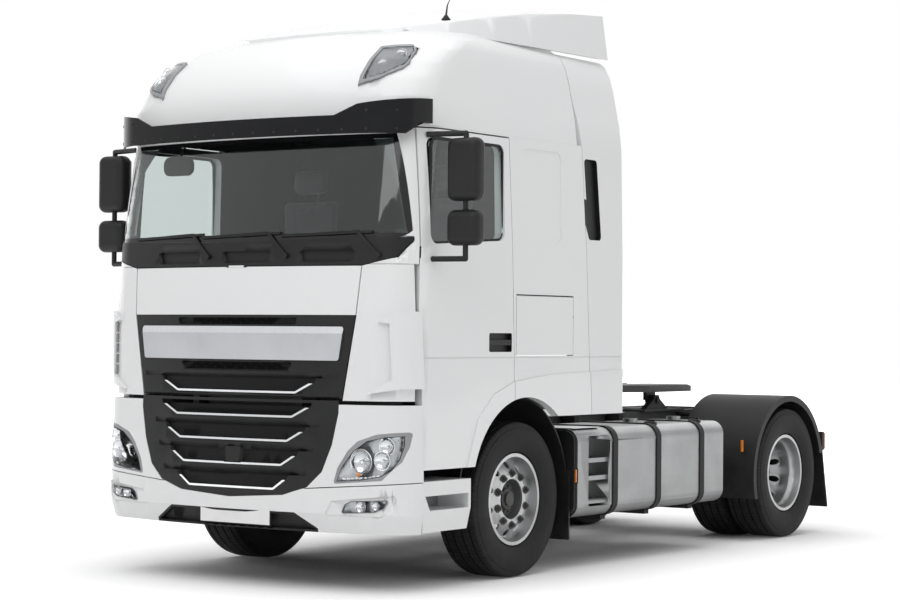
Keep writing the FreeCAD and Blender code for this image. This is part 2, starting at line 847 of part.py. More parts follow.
@functools.lru_cache(maxsize=None)
def roof_form(inset):
    """Solid of the roof moulding's outer form, drawn in by a wall thickness."""
    rise = ROOF_TOP_Z - STEEL_TOP_Z - max(inset, 0)
    sections = []
    for level, width, lean, growth, loss in ROOF_SHARES:
        sections.append((
            STEEL_TOP_Z + level * rise,
            STEEL_TOP_HALF * width,
            ROOF_NOSE_Y + lean * ROOF_LEAN,
            CORNER_RADIUS + growth * ROOF_CORNER_GROWTH,
            NOSE_SAG - loss * ROOF_SAG_LOSS,
        ))
    return loft_of(sections, FAIRING_BACK_Y, inset, True)


@functools.lru_cache(maxsize=None)
def bumper_form(inset):
    """Solid of the bumper's outer form, drawn in by a wall thickness."""
    sections = [
        (BUMPER_LOW_Z, BUMPER_HALF - BUMPER_TUCK, BUMPER_LOW_NOSE, CORNER_RADIUS, NOSE_SAG),
        (BUMPER_KNEE_Z, BUMPER_HALF, FRONT_Y, CORNER_RADIUS, NOSE_SAG),
        (BUMPER_SEAM_OUT_Z, BUMPER_HALF, FRONT_Y, CORNER_RADIUS, NOSE_SAG),
        (BUMPER_TOP_Z, BUMPER_HALF_TOP, BUMPER_TOP_NOSE, CORNER_RADIUS, NOSE_SAG),
        (GRILLE_LIP_Z, BUMPER_HALF_TOP, BUMPER_TOP_NOSE, CORNER_RADIUS, NOSE_SAG),
    ]
    return loft_of(sections, FAIRING_BACK_Y, inset, True)


def skin(form, outer, inner, low, high):
    """Wall between two insets of a form, from one level to another."""
    slab = box(-FAR, FAR, -FAR, FAR, low, high)
    return form(outer).common(slab).cut(form(inner))


# Outlines in the side view

def door_outline(gap):
    """Side view of a door, drawn in by a gap all round."""
    return [
        (DOOR_FRONT_TOP_Y + gap, DOOR_TOP_Z - gap),
        (DOOR_FRONT_MID_Y + gap, DOOR_MID_Z),
        (DOOR_FRONT_STEP_Y + gap, DOOR_STEP_Z),
        (DOOR_FRONT_LOW_Y + gap, DOOR_LOW_Z),
        (DOOR_BACK_LOW_Y - gap, DOOR_LOW_Z),
        (DOOR_BACK_LOW_Y - gap, SILL_Z),
        (DOOR_BACK_TOP_Y - gap, DOOR_TOP_Z - gap),
    ]


def window_outline(gap):
    return [
        (WINDOW_FRONT_Y + gap, WINDOW_TOP_Z - gap),
        (WINDOW_FRONT_Y + gap, WINDOW_LOW_FRONT_Z + gap),
        (WINDOW_BACK_Y - gap, WINDOW_LOW_BACK_Z + gap),
        (WINDOW_BACK_Y - gap, WINDOW_TOP_Z - gap),
    ]


def seam_outline(gap, side):
    """Area behind (side 1) or ahead of (side -1) the slanted seam of the rear fairing."""
    far_y = side * FAR
    return [
        (SEAM_TOP_Y + gap, FAR + FAR),
        (SEAM_TOP_Y + gap, SEAM_TOP_Z),
        (SEAM_ROOF_Y + gap, STEEL_TOP_Z),
        (SEAM_BELT_Y + gap, SCREEN_LOW_Z),
        (SEAM_LOW_Y + gap, QUARTER_LOW_Z),
        (SEAM_LOW_Y + gap, -FAR),
        (far_y, -FAR),
        (far_y, FAR + FAR),
    ]


def arch_cut(low_x, high_x):
    """Round cut over the front wheel."""
    way = Vector(1, 0, 0)
    return Part.makeCylinder(ARCH_RADIUS, high_x - low_x, Vector(low_x, ARCH_Y, ARCH_Z), way)


# Outlines in the front view

def screen_outline(gap):
    return [
        (-SCREEN_LOW_X + gap, SCREEN_SIDE_Z + gap),
        (0, SCREEN_LOW_Z + gap),
        (SCREEN_LOW_X - gap, SCREEN_SIDE_Z + gap),
        (SCREEN_TOP_X - gap, SCREEN_TOP_Z - gap),
        (-SCREEN_TOP_X + gap, SCREEN_TOP_Z - gap),
    ]


def cowl_outline(gap):
    """Black panel between the windscreen and the front flap."""
    right = [
        (COWL_KNEE_X, HOOD_TOP_Z), (COWL_BEND_X, COWL_BEND_Z), (COWL_END_X, SCREEN_SIDE_Z),
    ]
    return drawn_in(right + [(0, SCREEN_LOW_Z)] + swapped(right)[::-1], gap)


def flap_outline(gap, low, high):
    """Front flap between two levels: its sides lean in towards the bottom."""
    def half_at(level):
        if level >= FLAP_MID_Z:
            share = (level - FLAP_MID_Z) / (HOOD_TOP_Z - FLAP_MID_Z)
            return FLAP_MID_X + share * (FLAP_TOP_X - FLAP_MID_X)
        share = (level - FLAP_LOW_Z) / (FLAP_MID_Z - FLAP_LOW_Z)
        return FLAP_LOW_X + share * (FLAP_MID_X - FLAP_LOW_X)
    levels = [low] + [FLAP_MID_Z] * (low < FLAP_MID_Z < high) + [high]
    right = [(half_at(level) - gap, level) for level in levels]
    return right + [(-x, z) for x, z in reversed(right)]


def grille_outline(gap):
    """Lower grille: wide at the top and rounded to its foot."""
    right = [
        (GRILLE_TOP_X - gap, GRILLE_TOP_Z),
        (GRILLE_KNEE_X - gap, GRILLE_KNEE_Z),
        (GRILLE_BEND_X - gap, GRILLE_BEND_Z),
        (GRILLE_TURN_X - gap, GRILLE_TURN_Z + gap),
        (GRILLE_FOOT_X, GRILLE_FOOT_Z + gap),
        (0, GRILLE_BOTTOM_Z + gap),
    ]
    return right + [(-x, z) for x, z in reversed(right[:-1])]


def front_block(points, back_y, corner=0.0):
    """Front-view outline pushed back from ahead of the truck to a place behind its face."""
    return prism(points, "y", FRONT_Y - OVERRUN, back_y, corner)


# Ladder frame and what it carries

def frame_rails():
    """Channel-section rails, open towards each other."""
    inner = RAIL_OUTER_X - RAIL_THICKNESS
    tip = RAIL_OUTER_X - RAIL_FLANGE
    low = RAIL_TOP - RAIL_HEIGHT
    points = [
        (RAIL_OUTER_X, low), (RAIL_OUTER_X, RAIL_TOP), (tip, RAIL_TOP),
        (tip, RAIL_TOP - RAIL_THICKNESS), (inner, RAIL_TOP - RAIL_THICKNESS),
        (inner, low + RAIL_THICKNESS), (tip, low + RAIL_THICKNESS), (tip, low),
    ]
    rail = prism(points, "y", RAIL_FRONT_Y, RAIL_BACK_Y)
    return [rail, mirrored(rail)]


def crossmembers():
    """Box-section members between the rail webs."""
    inner = RAIL_OUTER_X - RAIL_THICKNESS
    low = RAIL_TOP - RAIL_HEIGHT + RAIL_THICKNESS
    pieces = []
    for share in CROSS_SHARES:
        y = RAIL_FRONT_Y + share * (RAIL_BACK_Y - RAIL_FRONT_Y)
        outer = box(-inner, inner, y, y + CROSS_DEPTH, low, low + CROSS_HEIGHT)
        bore = box(-FAR, FAR, y + RAIL_THICKNESS, y + CROSS_DEPTH - RAIL_THICKNESS,
                   low + RAIL_THICKNESS, low + CROSS_HEIGHT - RAIL_THICKNESS)
        pieces.append(outer.cut(bore))
    return pieces


def end_plate():
    """Plate across the rails' tails, drilled for a tow hitch."""
    plate = box(-RAIL_OUTER_X, RAIL_OUTER_X, RAIL_BACK_Y, RAIL_BACK_Y + END_PLATE_THICKNESS,
                RAIL_TOP - RAIL_HEIGHT, RAIL_TOP)
    middle = RAIL_TOP - RAIL_HEIGHT / 2
    for side_x in (-1, 1):
        for side_z in (-1, 1):
            place = Vector(side_x * HITCH_SPACING_X / 2, RAIL_BACK_Y - OVERRUN,
                           middle + side_z * HITCH_SPACING_Z / 2)
            hole = Part.makeCylinder(HITCH_HOLE_RADIUS, END_PLATE_THICKNESS + 2 * OVERRUN,
                                     place, Vector(0, 1, 0))
            plate = plate.cut(hole)
    return plate


def ladder_frame():
    """Rails, crossmembers and end plate as one riveted frame."""
    return fused(frame_rails() + crossmembers() + [end_plate()])


def cab_mount():
    """Casting beside a rail's front end: a swan neck for the cab's pivot pin, and the bumper's irons."""
    x0 = RAIL_OUTER_X
    x1 = x0 + PIVOT_BRACKET_WIDTH
    low = RAIL_TOP - RAIL_HEIGHT
    points = [
        (RAIL_FRONT_Y + PIVOT_BRACKET_DEPTH, low),
        (RAIL_FRONT_Y + PIVOT_BRACKET_DEPTH, RAIL_TOP),
        (PIVOT_Y + PIVOT_NECK_BACK, PIVOT_Z),
        (PIVOT_Y + PIVOT_NECK_FRONT, PIVOT_Z + PIVOT_EYE_RADIUS),
        (PIVOT_Y, PIVOT_Z + PIVOT_EYE_RADIUS),
        (PIVOT_Y, PIVOT_Z - PIVOT_EYE_RADIUS),
        (PIVOT_Y + PIVOT_NECK_FRONT, PIVOT_Z - PIVOT_EYE_RADIUS),
        (PIVOT_Y + PIVOT_NECK_FRONT, PIVOT_Z - PIVOT_SWEEP),
        (PIVOT_Y - PIVOT_EYE_RADIUS, PIVOT_Z - PIVOT_SWEEP),
        (PIVOT_Y - PIVOT_EYE_RADIUS, low - IRON_HEIGHT),
        (PIVOT_Y + IRON_HEIGHT, low - IRON_HEIGHT),
        (PIVOT_Y + 2 * IRON_HEIGHT, low),
    ]
    arm = prism(points, "x", x0, x1)
    eye = rod(PIVOT_EYE_RADIUS, Vector(x0, PIVOT_Y, PIVOT_Z), Vector(x1, PIVOT_Y, PIVOT_Z))
    pin = rod(PIVOT_RADIUS, Vector(x1, PIVOT_Y, PIVOT_Z),
              Vector(x1 + PIVOT_LUG_WIDTH, PIVOT_Y, PIVOT_Z))
    foot = box(x0, x1, FRONT_Y, PIVOT_Y, IRON_LOW_Z, IRON_LOW_Z + IRON_HEIGHT)
    riser = box(x0, x1, PIVOT_Y - PIVOT_EYE_RADIUS, PIVOT_Y + PIVOT_EYE_RADIUS, IRON_LOW_Z, low)
    low_iron = fused([foot, riser]).common(bumper_form(BUMPER_WALL + SEAT_GAP))
    bar = box(x0, IRON_REACH_X, FRONT_Y, PIVOT_Y + PIVOT_EYE_RADIUS,
              IRON_BAR_Z, IRON_BAR_Z + IRON_HEIGHT)
    pad = box(GRILLE_TOP_X + PANEL_GAP, IRON_REACH_X, FRONT_Y, PIVOT_Y + PIVOT_EYE_RADIUS,
              IRON_BAR_Z, IRON_BAR_Z + IRON_HEIGHT)
    high_iron = fused([bar.common(bumper_form(GRILLE_DEPTH + SEAT_GAP)),
                       pad.common(bumper_form(BUMPER_WALL + SEAT_GAP))])
    shell = skin(bumper_form, -OVERRUN, GRILLE_DEPTH + SEAT_GAP, IRON_HEIGHT + IRON_LOW_Z, BUMPER_TOP_Z)
    inside = shell.common(box(-GRILLE_TOP_X, GRILLE_TOP_X, FRONT_Y - OVERRUN, FAR, -FAR, FAR))
    return fused([fused([arm, eye, pin]).cut(inside), low_iron, high_iron])


def cab_mounts():
    bracket = cab_mount()
    return [bracket, mirrored(bracket)]


def engine_block():
    block = box(-ENGINE_HALF, ENGINE_HALF, ENGINE_FRONT_Y, ENGINE_BACK_Y,
                ENGINE_LOW_Z, ENGINE_TOP_Z)
    feet = []
    low = RAIL_TOP - RAIL_HEIGHT + RAIL_THICKNESS
    for y in (ENGINE_FRONT_Y + ENGINE_FOOT, ENGINE_BACK_Y - 2 * ENGINE_FOOT):
        feet.append(box(-RAIL_OUTER_X, RAIL_OUTER_X, y, y + ENGINE_FOOT,
                        RAIL_TOP, RAIL_TOP + ENGINE_FOOT))
    tail = box(-GEARBOX_HALF, GEARBOX_HALF, ENGINE_BACK_Y, ENGINE_BACK_Y + GEARBOX_LENGTH,
               GEARBOX_LOW_Z, GEARBOX_TOP_Z)
    whole = fused([block, tail] + feet)
    for share in CROSS_SHARES:
        y = RAIL_FRONT_Y + share * (RAIL_BACK_Y - RAIL_FRONT_Y)
        whole = whole.cut(box(-FAR, FAR, y - SEAT_GAP, y + CROSS_DEPTH + SEAT_GAP,
                              low - SEAT_GAP, low + CROSS_HEIGHT + SEAT_GAP))
    return [whole]


def radiator():
    core = box(-RADIATOR_HALF, RADIATOR_HALF, RADIATOR_Y, RADIATOR_Y + RADIATOR_DEPTH,
               RADIATOR_LOW_Z, RADIATOR_TOP_Z)
    foot = box(-RAIL_OUTER_X, RAIL_OUTER_X, RADIATOR_Y, RADIATOR_Y + RADIATOR_DEPTH,
               RAIL_TOP - RAIL_HEIGHT, RAIL_TOP - RAIL_HEIGHT + RAIL_FLANGE)
    return [fused([core, foot])]


# Bumper, lamps and lower grille

def bumper_back():
    return box(-FAR, FAR, BUMPER_BACK_Y, FAR, -FAR, FAR)


def ahead_of_back():
    return box(-FAR, FAR, -FAR, BUMPER_BACK_Y, -FAR, FAR)


def intake_outline(gap):
    """Lower air intake, open at the bumper's lower edge."""
    right = [
        (INTAKE_HALF_TOP, INTAKE_TOP_Z), (INTAKE_HALF_LOW, INTAKE_LOW_Z),
        (INTAKE_HALF_LOW, BUMPER_LOW_Z - OVERRUN),
    ]
    return drawn_in(right + swapped(right)[::-1], gap)


def seam_block(gap, top):
    """Everything under (or with top set, over) the seam between bumper and lamp panels."""
    edge = FAR if top else -FAR
    points = [
        (-FAR, BUMPER_SEAM_OUT_Z + gap), (-BUMPER_HALF_TOP, BUMPER_SEAM_OUT_Z + gap),
        (-GRILLE_TURN_X, BUMPER_SEAM_IN_Z + gap), (GRILLE_TURN_X, BUMPER_SEAM_IN_Z + gap),
        (BUMPER_HALF_TOP, BUMPER_SEAM_OUT_Z + gap), (FAR, BUMPER_SEAM_OUT_Z + gap),
        (FAR, edge), (-FAR, edge),
    ]
    return prism(points, "y", -FAR, FAR)


def headlamp_outline():
    return in_box(HEADLAMP_SHARES, HEADLAMP_INNER_X, HEADLAMP_OUTER_X, HEADLAMP_LOW_Z, HEADLAMP_TOP_Z)


def fog_outline():
    return in_box(FOG_SHARES, FOG_INNER_X, FOG_OUTER_X, FOG_LOW_Z, FOG_TOP_Z)


def lamp_block(outline, side, depth_y, gap=0):
    """Block of a lamp's outline on one side of the truck, from ahead of it to a depth."""
    points = outline if side > 0 else swapped(outline)
    return prism(drawn_in(points, gap), "y", FRONT_Y - OVERRUN, depth_y, LAMP_CORNER)


def front_bumper():
    wall = skin(bumper_form, 0, BUMPER_WALL, BUMPER_LOW_Z, BUMPER_TOP_Z)
    wall = wall.cut(bumper_back()).common(seam_block(-PANEL_GAP / 2, False))
    wall = wall.cut(front_block(grille_outline(-PANEL_GAP / 2), BUMPER_BACK_Y))
    wall = wall.cut(front_block(intake_outline(0), BUMPER_BACK_Y))
    for side in (-1, 1):
        wall = wall.cut(lamp_block(fog_outline(), side, BUMPER_BACK_Y))
        frame = in_box(FOG_FRAME_SHARES, FOG_INNER_X, FOG_OUTER_X, FOG_LOW_Z, FOG_TOP_Z)
        frame = frame if side > 0 else swapped(frame)
        wall = wall.cut(sunk(bumper_form, FOG_FRAME_DEPTH, frame, "y", LAMP_CORNER).common(ahead_of_back()))
    return [wall]


def bumper_intake():
    """Black insert under the bumper's middle: a rim round a sunk back."""
    shell = skin(bumper_form, GRILLE_INSET, BUMPER_WALL, BUMPER_LOW_Z, BUMPER_TOP_Z)
    insert = shell.common(front_block(intake_outline(SEAT_GAP), BUMPER_BACK_Y))
    room = skin(bumper_form, -OVERRUN, INTAKE_DEPTH, BUMPER_LOW_Z + INTAKE_RIM, BUMPER_TOP_Z)
    return [insert.cut(room.common(front_block(intake_outline(INTAKE_RIM), BUMPER_BACK_Y)))]


def lamp_panels():
    wall = skin(bumper_form, 0, BUMPER_WALL, BUMPER_LOW_Z, BUMPER_TOP_Z)
    wall = wall.cut(bumper_back()).common(seam_block(PANEL_GAP / 2, True))
    wall = wall.cut(front_block(grille_outline(-PANEL_GAP / 2), BUMPER_BACK_Y))
    wall = wall.cut(box(-GRILLE_TOP_X - PANEL_GAP / 2, GRILLE_TOP_X + PANEL_GAP / 2, -FAR,
                        BUMPER_BACK_Y, GRILLE_TOP_Z - SEAT_GAP, FAR))
    for side in (-1, 1):
        wall = wall.cut(lamp_block(headlamp_outline(), side, BUMPER_BACK_Y))
    return wall.Solids


def front_lamps():
    """Head lamps and fog lamps as closed units that fill their openings."""
    shell = skin(bumper_form, 0, LAMP_DEPTH, BUMPER_LOW_Z, BUMPER_TOP_Z)
    lamps = []
    for side in (-1, 1):
        for outline in (headlamp_outline(), fog_outline()):
            lamps += shell.common(lamp_block(outline, side, BUMPER_BACK_Y, SEAT_GAP)).Solids
    return lamps


def louvre_block(index, gap, rise):
    """Opening of one louvre: slanted ends, round lower corners and a straight top."""
    top = LOUVRE_TOP_Z - index * LOUVRE_PITCH
    half = LOUVRE_HALF * LOUVRE_SHARES[index]
    foot = half * LOUVRE_FOOT_SHARE
    points = [
        (2 * half - foot, top + LOUVRE_HEIGHT), (foot, top - LOUVRE_HEIGHT),
        (-foot, top - LOUVRE_HEIGHT), (foot - 2 * half, top + LOUVRE_HEIGHT),
    ]
    block = front_block(drawn_in(points, gap), BUMPER_BACK_Y, LOUVRE_CORNER - gap)
    return block.common(box(-FAR, FAR, -FAR, FAR, -FAR, top + rise - gap))


def crown_radius(half):
    """Radius of the front's plan curve for a form of a half width."""
    join = half - CORNER_RADIUS * (1 - CORNER_TURN_SHARE)
    return (join ** 2 + NOSE_SAG ** 2) / (2 * NOSE_SAG)


def bumper_nose(level):
    """Place of the bumper's face on the centre line, at a level over its lower seam."""
    share = (level - BUMPER_SEAM_OUT_Z) / (BUMPER_TOP_Z - BUMPER_SEAM_OUT_Z)
    return FRONT_Y + min(max(share, 0), 1) * (BUMPER_TOP_NOSE - FRONT_Y)


def lean_cutter(nose, form_half, reach, level, other, lean):
    """Wedge swept along the front's curve: no depth at one level, a depth at the other."""
    radius = crown_radius(form_half)
    corners = [
        Vector(0, nose - OVERRUN, level), Vector(0, nose, level),
        Vector(0, nose + lean, other), Vector(0, nose - OVERRUN, other),
    ]
    profile = Part.Face(Part.makePolygon(corners + corners[:1]))
    turn = math.degrees(math.asin(reach / radius))
    axis = Vector(0, nose + radius, 0)
    profile.rotate(axis, Vector(0, 0, 1), -turn)
    return profile.revolve(axis, Vector(0, 0, 1), 2 * turn)


def louvre_trim(index, form, depth):
    """Bright strip along the foot and the two ends of a louvre, open at the top."""
    strip = louvre_block(index, SEAT_GAP, 0).cut(louvre_block(index, TRIM_WIDTH, OVERRUN))
    return strip.common(form(-TRIM_PROUD).cut(form(depth - SEAT_GAP)))


def lower_grille():
    """Rounded frame with four louvres over a mesh, and the blades between them."""
    outline = front_block(grille_outline(0), BUMPER_BACK_Y)
    wall = skin(bumper_form, GRILLE_INSET, GRILLE_DEPTH, BUMPER_LOW_Z, GRILLE_TOP_Z).common(outline)
    above = box(-GRILLE_TOP_X, GRILLE_TOP_X, -FAR, BUMPER_BACK_Y, GRILLE_TOP_Z - LAP, GRILLE_LIP_Z)
    lip = skin(bumper_form, GRILLE_INSET, GRILLE_LIP, GRILLE_TOP_Z - LAP, GRILLE_LIP_Z).common(above)
    wall = fused([wall, lip])
    for index in range(1, len(LOUVRE_SHARES)):
        wall = wall.cut(louvre_block(index, 0, LOUVRE_RISE))
        half = LOUVRE_HALF * LOUVRE_SHARES[index]
        level = LOUVRE_TOP_Z - index * LOUVRE_PITCH - LOUVRE_HEIGHT - BLADE_LIP
        low = LOUVRE_TOP_Z - (index + 1) * LOUVRE_PITCH + LOUVRE_RISE
        low = max(low, GRILLE_BOTTOM_Z + GRILLE_INSET)
        wedge = lean_cutter(bumper_nose(level), BUMPER_HALF_TOP, half + BLADE_REACH, level, low, BLADE_LEAN)
        wall = wall.cut(wedge.common(front_block(grille_outline(LOUVRE_CORNER), BUMPER_BACK_Y)))
    top = LOUVRE_TOP_Z - LOUVRE_PITCH + MESH_THICKNESS
    mesh = skin(bumper_form, MESH_INSET, MESH_INSET + MESH_THICKNESS, BUMPER_LOW_Z, top)
    reach = LOUVRE_HALF * LOUVRE_SHARES[1]
    mesh = mesh.common(box(-reach, reach, -FAR, BUMPER_BACK_Y, GRILLE_TURN_Z - LOUVRE_RISE, top))
    mesh = mesh.common(front_block(grille_outline(LOUVRE_RISE), BUMPER_BACK_Y)
                       .fuse(box(-reach, reach, -FAR, BUMPER_BACK_Y, GRILLE_TOP_Z - LAP, top)))
    sensor = [
        (SENSOR_X - SENSOR_HALF, SENSOR_TOP_Z), (SENSOR_X + SENSOR_HALF, SENSOR_TOP_Z),
        (SENSOR_X + SENSOR_HALF - SENSOR_CORNER, SENSOR_LOW_Z),
        (SENSOR_X - SENSOR_HALF + SENSOR_CORNER, SENSOR_LOW_Z),
    ]
    cover = skin(bumper_form, GRILLE_INSET, MESH_INSET + LAP, BUMPER_LOW_Z, GRILLE_TOP_Z)
    cover = cover.common(front_block(sensor, BUMPER_BACK_Y, SENSOR_CORNER))
    return [fused([wall, mesh, cover])]


def grille_trims():
    """Bright strips in the four louvres of the lower grille."""
    trims = []
    flush = TRIM_PROUD + GRILLE_INSET
    for index in range(1, len(LOUVRE_SHARES)):
        strip = louvre_trim(index, lambda inset: bumper_form(inset + flush), MESH_INSET - flush)
        clear = front_block([
            (SENSOR_X - SENSOR_HALF - PANEL_GAP, SENSOR_TOP_Z + PANEL_GAP),
            (SENSOR_X + SENSOR_HALF + PANEL_GAP, SENSOR_TOP_Z + PANEL_GAP),
            (SENSOR_X + SENSOR_HALF + PANEL_GAP, SENSOR_LOW_Z - PANEL_GAP),
            (SENSOR_X - SENSOR_HALF - PANEL_GAP, SENSOR_LOW_Z - PANEL_GAP),
        ], BUMPER_BACK_Y)
        trims += strip.cut(clear).Solids
    return trims


def entry_steps():
    """Lowest step under each door: a box with an open tread pocket, in line with the bumper."""
    outer = CAB_HALF_WIDTH + STEP_PROUD
    points = [
        (STEP_FRONT_Y, STEP_LOW_Z), (STEP_FRONT_Y, STEP_TOP_Z),
        (STEP_BACK_Y, STEP_TOP_Z), (STEP_BACK_Y, STEP_TREAD_Z), (STEP_BACK_LOW_Y, STEP_LOW_Z),
    ]
    body = prism(points, "x", outer - STEP_DEPTH, outer)
    pocket = [
        (STEP_FRONT_Y + STEP_WALL, STEP_RISER_Z), (STEP_BACK_Y - STEP_WALL, STEP_RISER_Z),
        (STEP_BACK_Y - STEP_WALL, STEP_TREAD_Z), (STEP_FRONT_Y + 3 * STEP_WALL, STEP_TREAD_Z),
    ]
    body = body.cut(prism(pocket, "x", outer - STEP_TREAD_DEPTH, outer + OVERRUN))
    inner = RAIL_OUTER_X + PIVOT_BRACKET_WIDTH
    arm = box(inner, outer - STEP_DEPTH, STEP_FRONT_Y, STEP_FRONT_Y + IRON_HEIGHT,
              STEP_TOP_Z - IRON_HEIGHT, STEP_TOP_Z)
    hook = box(inner, inner + IRON_HEIGHT, STEP_FRONT_Y, STEP_FRONT_Y + IRON_HEIGHT,
               STEP_TOP_Z - IRON_HEIGHT, RAIL_TOP - IRON_HEIGHT)
    step = fused([body, arm, hook])
    return [step, mirrored(step)]


# Axles, springs and drive line

def front_axle():
    """Dropped beam with an eye at each end for the kingpin."""
    low = TYRE_RADIUS - BEAM_DROP - BEAM_HALF_HEIGHT
    top = TYRE_RADIUS + BEAM_HALF_HEIGHT - BEAM_DROP
    eye_top = TYRE_RADIUS + AXLE_EYE_HEIGHT / 2
    eye_low = TYRE_RADIUS - AXLE_EYE_HEIGHT / 2
    reach = KINGPIN_X - AXLE_EYE_RADIUS
    knee = SPRING_X + SPRING_WIDTH
    points = [
        (-KINGPIN_X, eye_low), (-reach, eye_low), (-knee, low), (knee, low), (reach, eye_low),
        (KINGPIN_X, eye_low), (KINGPIN_X, eye_top), (reach, eye_top), (knee, top),
        (-knee, top), (-reach, eye_top), (-KINGPIN_X, eye_top),
    ]
    beam = prism(points, "y", -BEAM_HALF_DEPTH, BEAM_HALF_DEPTH)
    for side in (-1, 1):
        centre = Vector(side * KINGPIN_X, 0, eye_low)
        beam = beam.cut(box(side * KINGPIN_X - AXLE_EYE_RADIUS, side * KINGPIN_X + AXLE_EYE_RADIUS,
                            -BEAM_HALF_DEPTH - LAP, BEAM_HALF_DEPTH + LAP, eye_low - LAP, eye_top + LAP))
        eye = Part.makeCylinder(AXLE_EYE_RADIUS, AXLE_EYE_HEIGHT, centre)
        neck = box(side * KINGPIN_X - AXLE_EYE_RADIUS, side * KINGPIN_X, -AXLE_EYE_RADIUS,
                   AXLE_EYE_RADIUS, eye_low, eye_top)
        if side < 0:
            neck = box(-KINGPIN_X, -KINGPIN_X + AXLE_EYE_RADIUS, -AXLE_EYE_RADIUS,
                       AXLE_EYE_RADIUS, eye_low, eye_top)
        beam = beam.fuse(eye).fuse(neck)
        bore = Part.makeCylinder(KINGPIN_RADIUS + PIN_GAP, AXLE_EYE_HEIGHT + 2 * OVERRUN,
                                 centre - Vector(0, 0, OVERRUN))
        beam = beam.cut(bore)
    return [beam.removeSplitter()]


def front_springs():
    """Cambered leaf on each side, from hangers on the rail down to the axle."""
    pad = TYRE_RADIUS + BEAM_HALF_HEIGHT - BEAM_DROP
    middle_z = pad + SPRING_LEAF
    end_z = middle_z + SPRING_CAMBER

    def at(y, z):
        return Vector(0, y, z)

    low = Part.Arc(at(-SPRING_HALF_LENGTH, end_z - SPRING_LEAF), at(0, pad + SEAT_GAP),
                   at(SPRING_HALF_LENGTH, end_z - SPRING_LEAF)).toShape()
    top = Part.Arc(at(SPRING_HALF_LENGTH, end_z), at(0, middle_z + SPRING_LEAF),
                   at(-SPRING_HALF_LENGTH, end_z)).toShape()
    ends = [
        Part.LineSegment(at(SPRING_HALF_LENGTH, end_z - SPRING_LEAF),
                         at(SPRING_HALF_LENGTH, end_z)).toShape(),
        Part.LineSegment(at(-SPRING_HALF_LENGTH, end_z),
                         at(-SPRING_HALF_LENGTH, end_z - SPRING_LEAF)).toShape(),
    ]
    face = Part.Face(Part.Wire([low, ends[0], top, ends[1]]))
    leaf = face.extrude(Vector(SPRING_WIDTH, 0, 0))
    leaf.translate(Vector(SPRING_X - SPRING_WIDTH / 2, 0, 0))
    hangers = []
    for side in (-1, 1):
        y = side * (SPRING_HALF_LENGTH - SPRING_HANGER)
        hangers.append(box(RAIL_OUTER_X, SPRING_X + SPRING_WIDTH / 2,
                           y - SPRING_HANGER / 2, y + SPRING_HANGER / 2,
                           end_z - SPRING_LEAF, RAIL_TOP - RAIL_HEIGHT + RAIL_FLANGE))
    spring = fused([leaf] + hangers)
    return [spring, mirrored(spring)]


def rear_axle():
    """Banjo casing with a round bowl, the hub flanges and the drive shaft to the gearbox."""
    x = REAR_OUTER_X - REAR_TWIN_PITCH / 2 - HUB_DEPTH
    start = Vector(-x, WHEELBASE, TYRE_RADIUS)
    end = Vector(x, WHEELBASE, TYRE_RADIUS)
    tube = rod(REAR_TUBE_RADIUS, start, end)
    bowl = rod(REAR_BOWL_RADIUS, Vector(0, WHEELBASE - REAR_BOWL_HALF, TYRE_RADIUS),
               Vector(0, WHEELBASE + REAR_BOWL_HALF, TYRE_RADIUS))
    nose = rod(REAR_TUBE_RADIUS, Vector(0, WHEELBASE - 2 * REAR_BOWL_HALF, TYRE_RADIUS),
               Vector(0, WHEELBASE, TYRE_RADIUS))
    shaft_start = ENGINE_BACK_Y + GEARBOX_LENGTH + SEAT_GAP
    shaft = rod(PROPSHAFT_RADIUS, Vector(0, shaft_start - OVERRUN, PROPSHAFT_Z),
                Vector(0, WHEELBASE - 2 * REAR_BOWL_HALF, TYRE_RADIUS))
    shaft = shaft.common(box(-FAR, FAR, shaft_start, FAR, -FAR, FAR))
    return [fused([tube, bowl, nose, shaft])]


def rear_suspension():
    """Trailing beams under the rails, each with an air bellows ahead of and behind the axle."""
    rail_low = RAIL_TOP - RAIL_HEIGHT
    beam_top = TYRE_RADIUS - REAR_TUBE_RADIUS - SEAT_GAP
    pieces = []
    for side in (-1, 1):
        x = side * BELLOWS_X
        beam = box(x - BEAM_ARM_WIDTH / 2, x + BEAM_ARM_WIDTH / 2,
                   WHEELBASE - BELLOWS_OFFSET - BELLOWS_RADIUS,
                   WHEELBASE + BELLOWS_OFFSET + BELLOWS_RADIUS,
                   beam_top - BEAM_ARM_HEIGHT, beam_top)
        parts = [beam]
        for way in (-1, 1):
            y = WHEELBASE + way * BELLOWS_OFFSET
            foot = Vector(x, y, beam_top)
            parts.append(Part.makeCylinder(BELLOWS_RADIUS, rail_low - SEAT_GAP - beam_top, foot))
        pieces.append(fused(parts))
    return pieces


def suspension():
    """Leaf springs in front, air bellows behind."""
    return front_springs() + rear_suspension()


# Tanks on the chassis sides

def tank_body(front, back):
    points = [
        (TANK_INNER_X, TANK_LOW_Z), (TANK_OUTER_X, TANK_LOW_Z),
        (TANK_OUTER_X, TANK_TOP_Z), (TANK_INNER_X, TANK_TOP_Z),
    ]
    return prism(points, "y", front, back, TANK_CORNER)


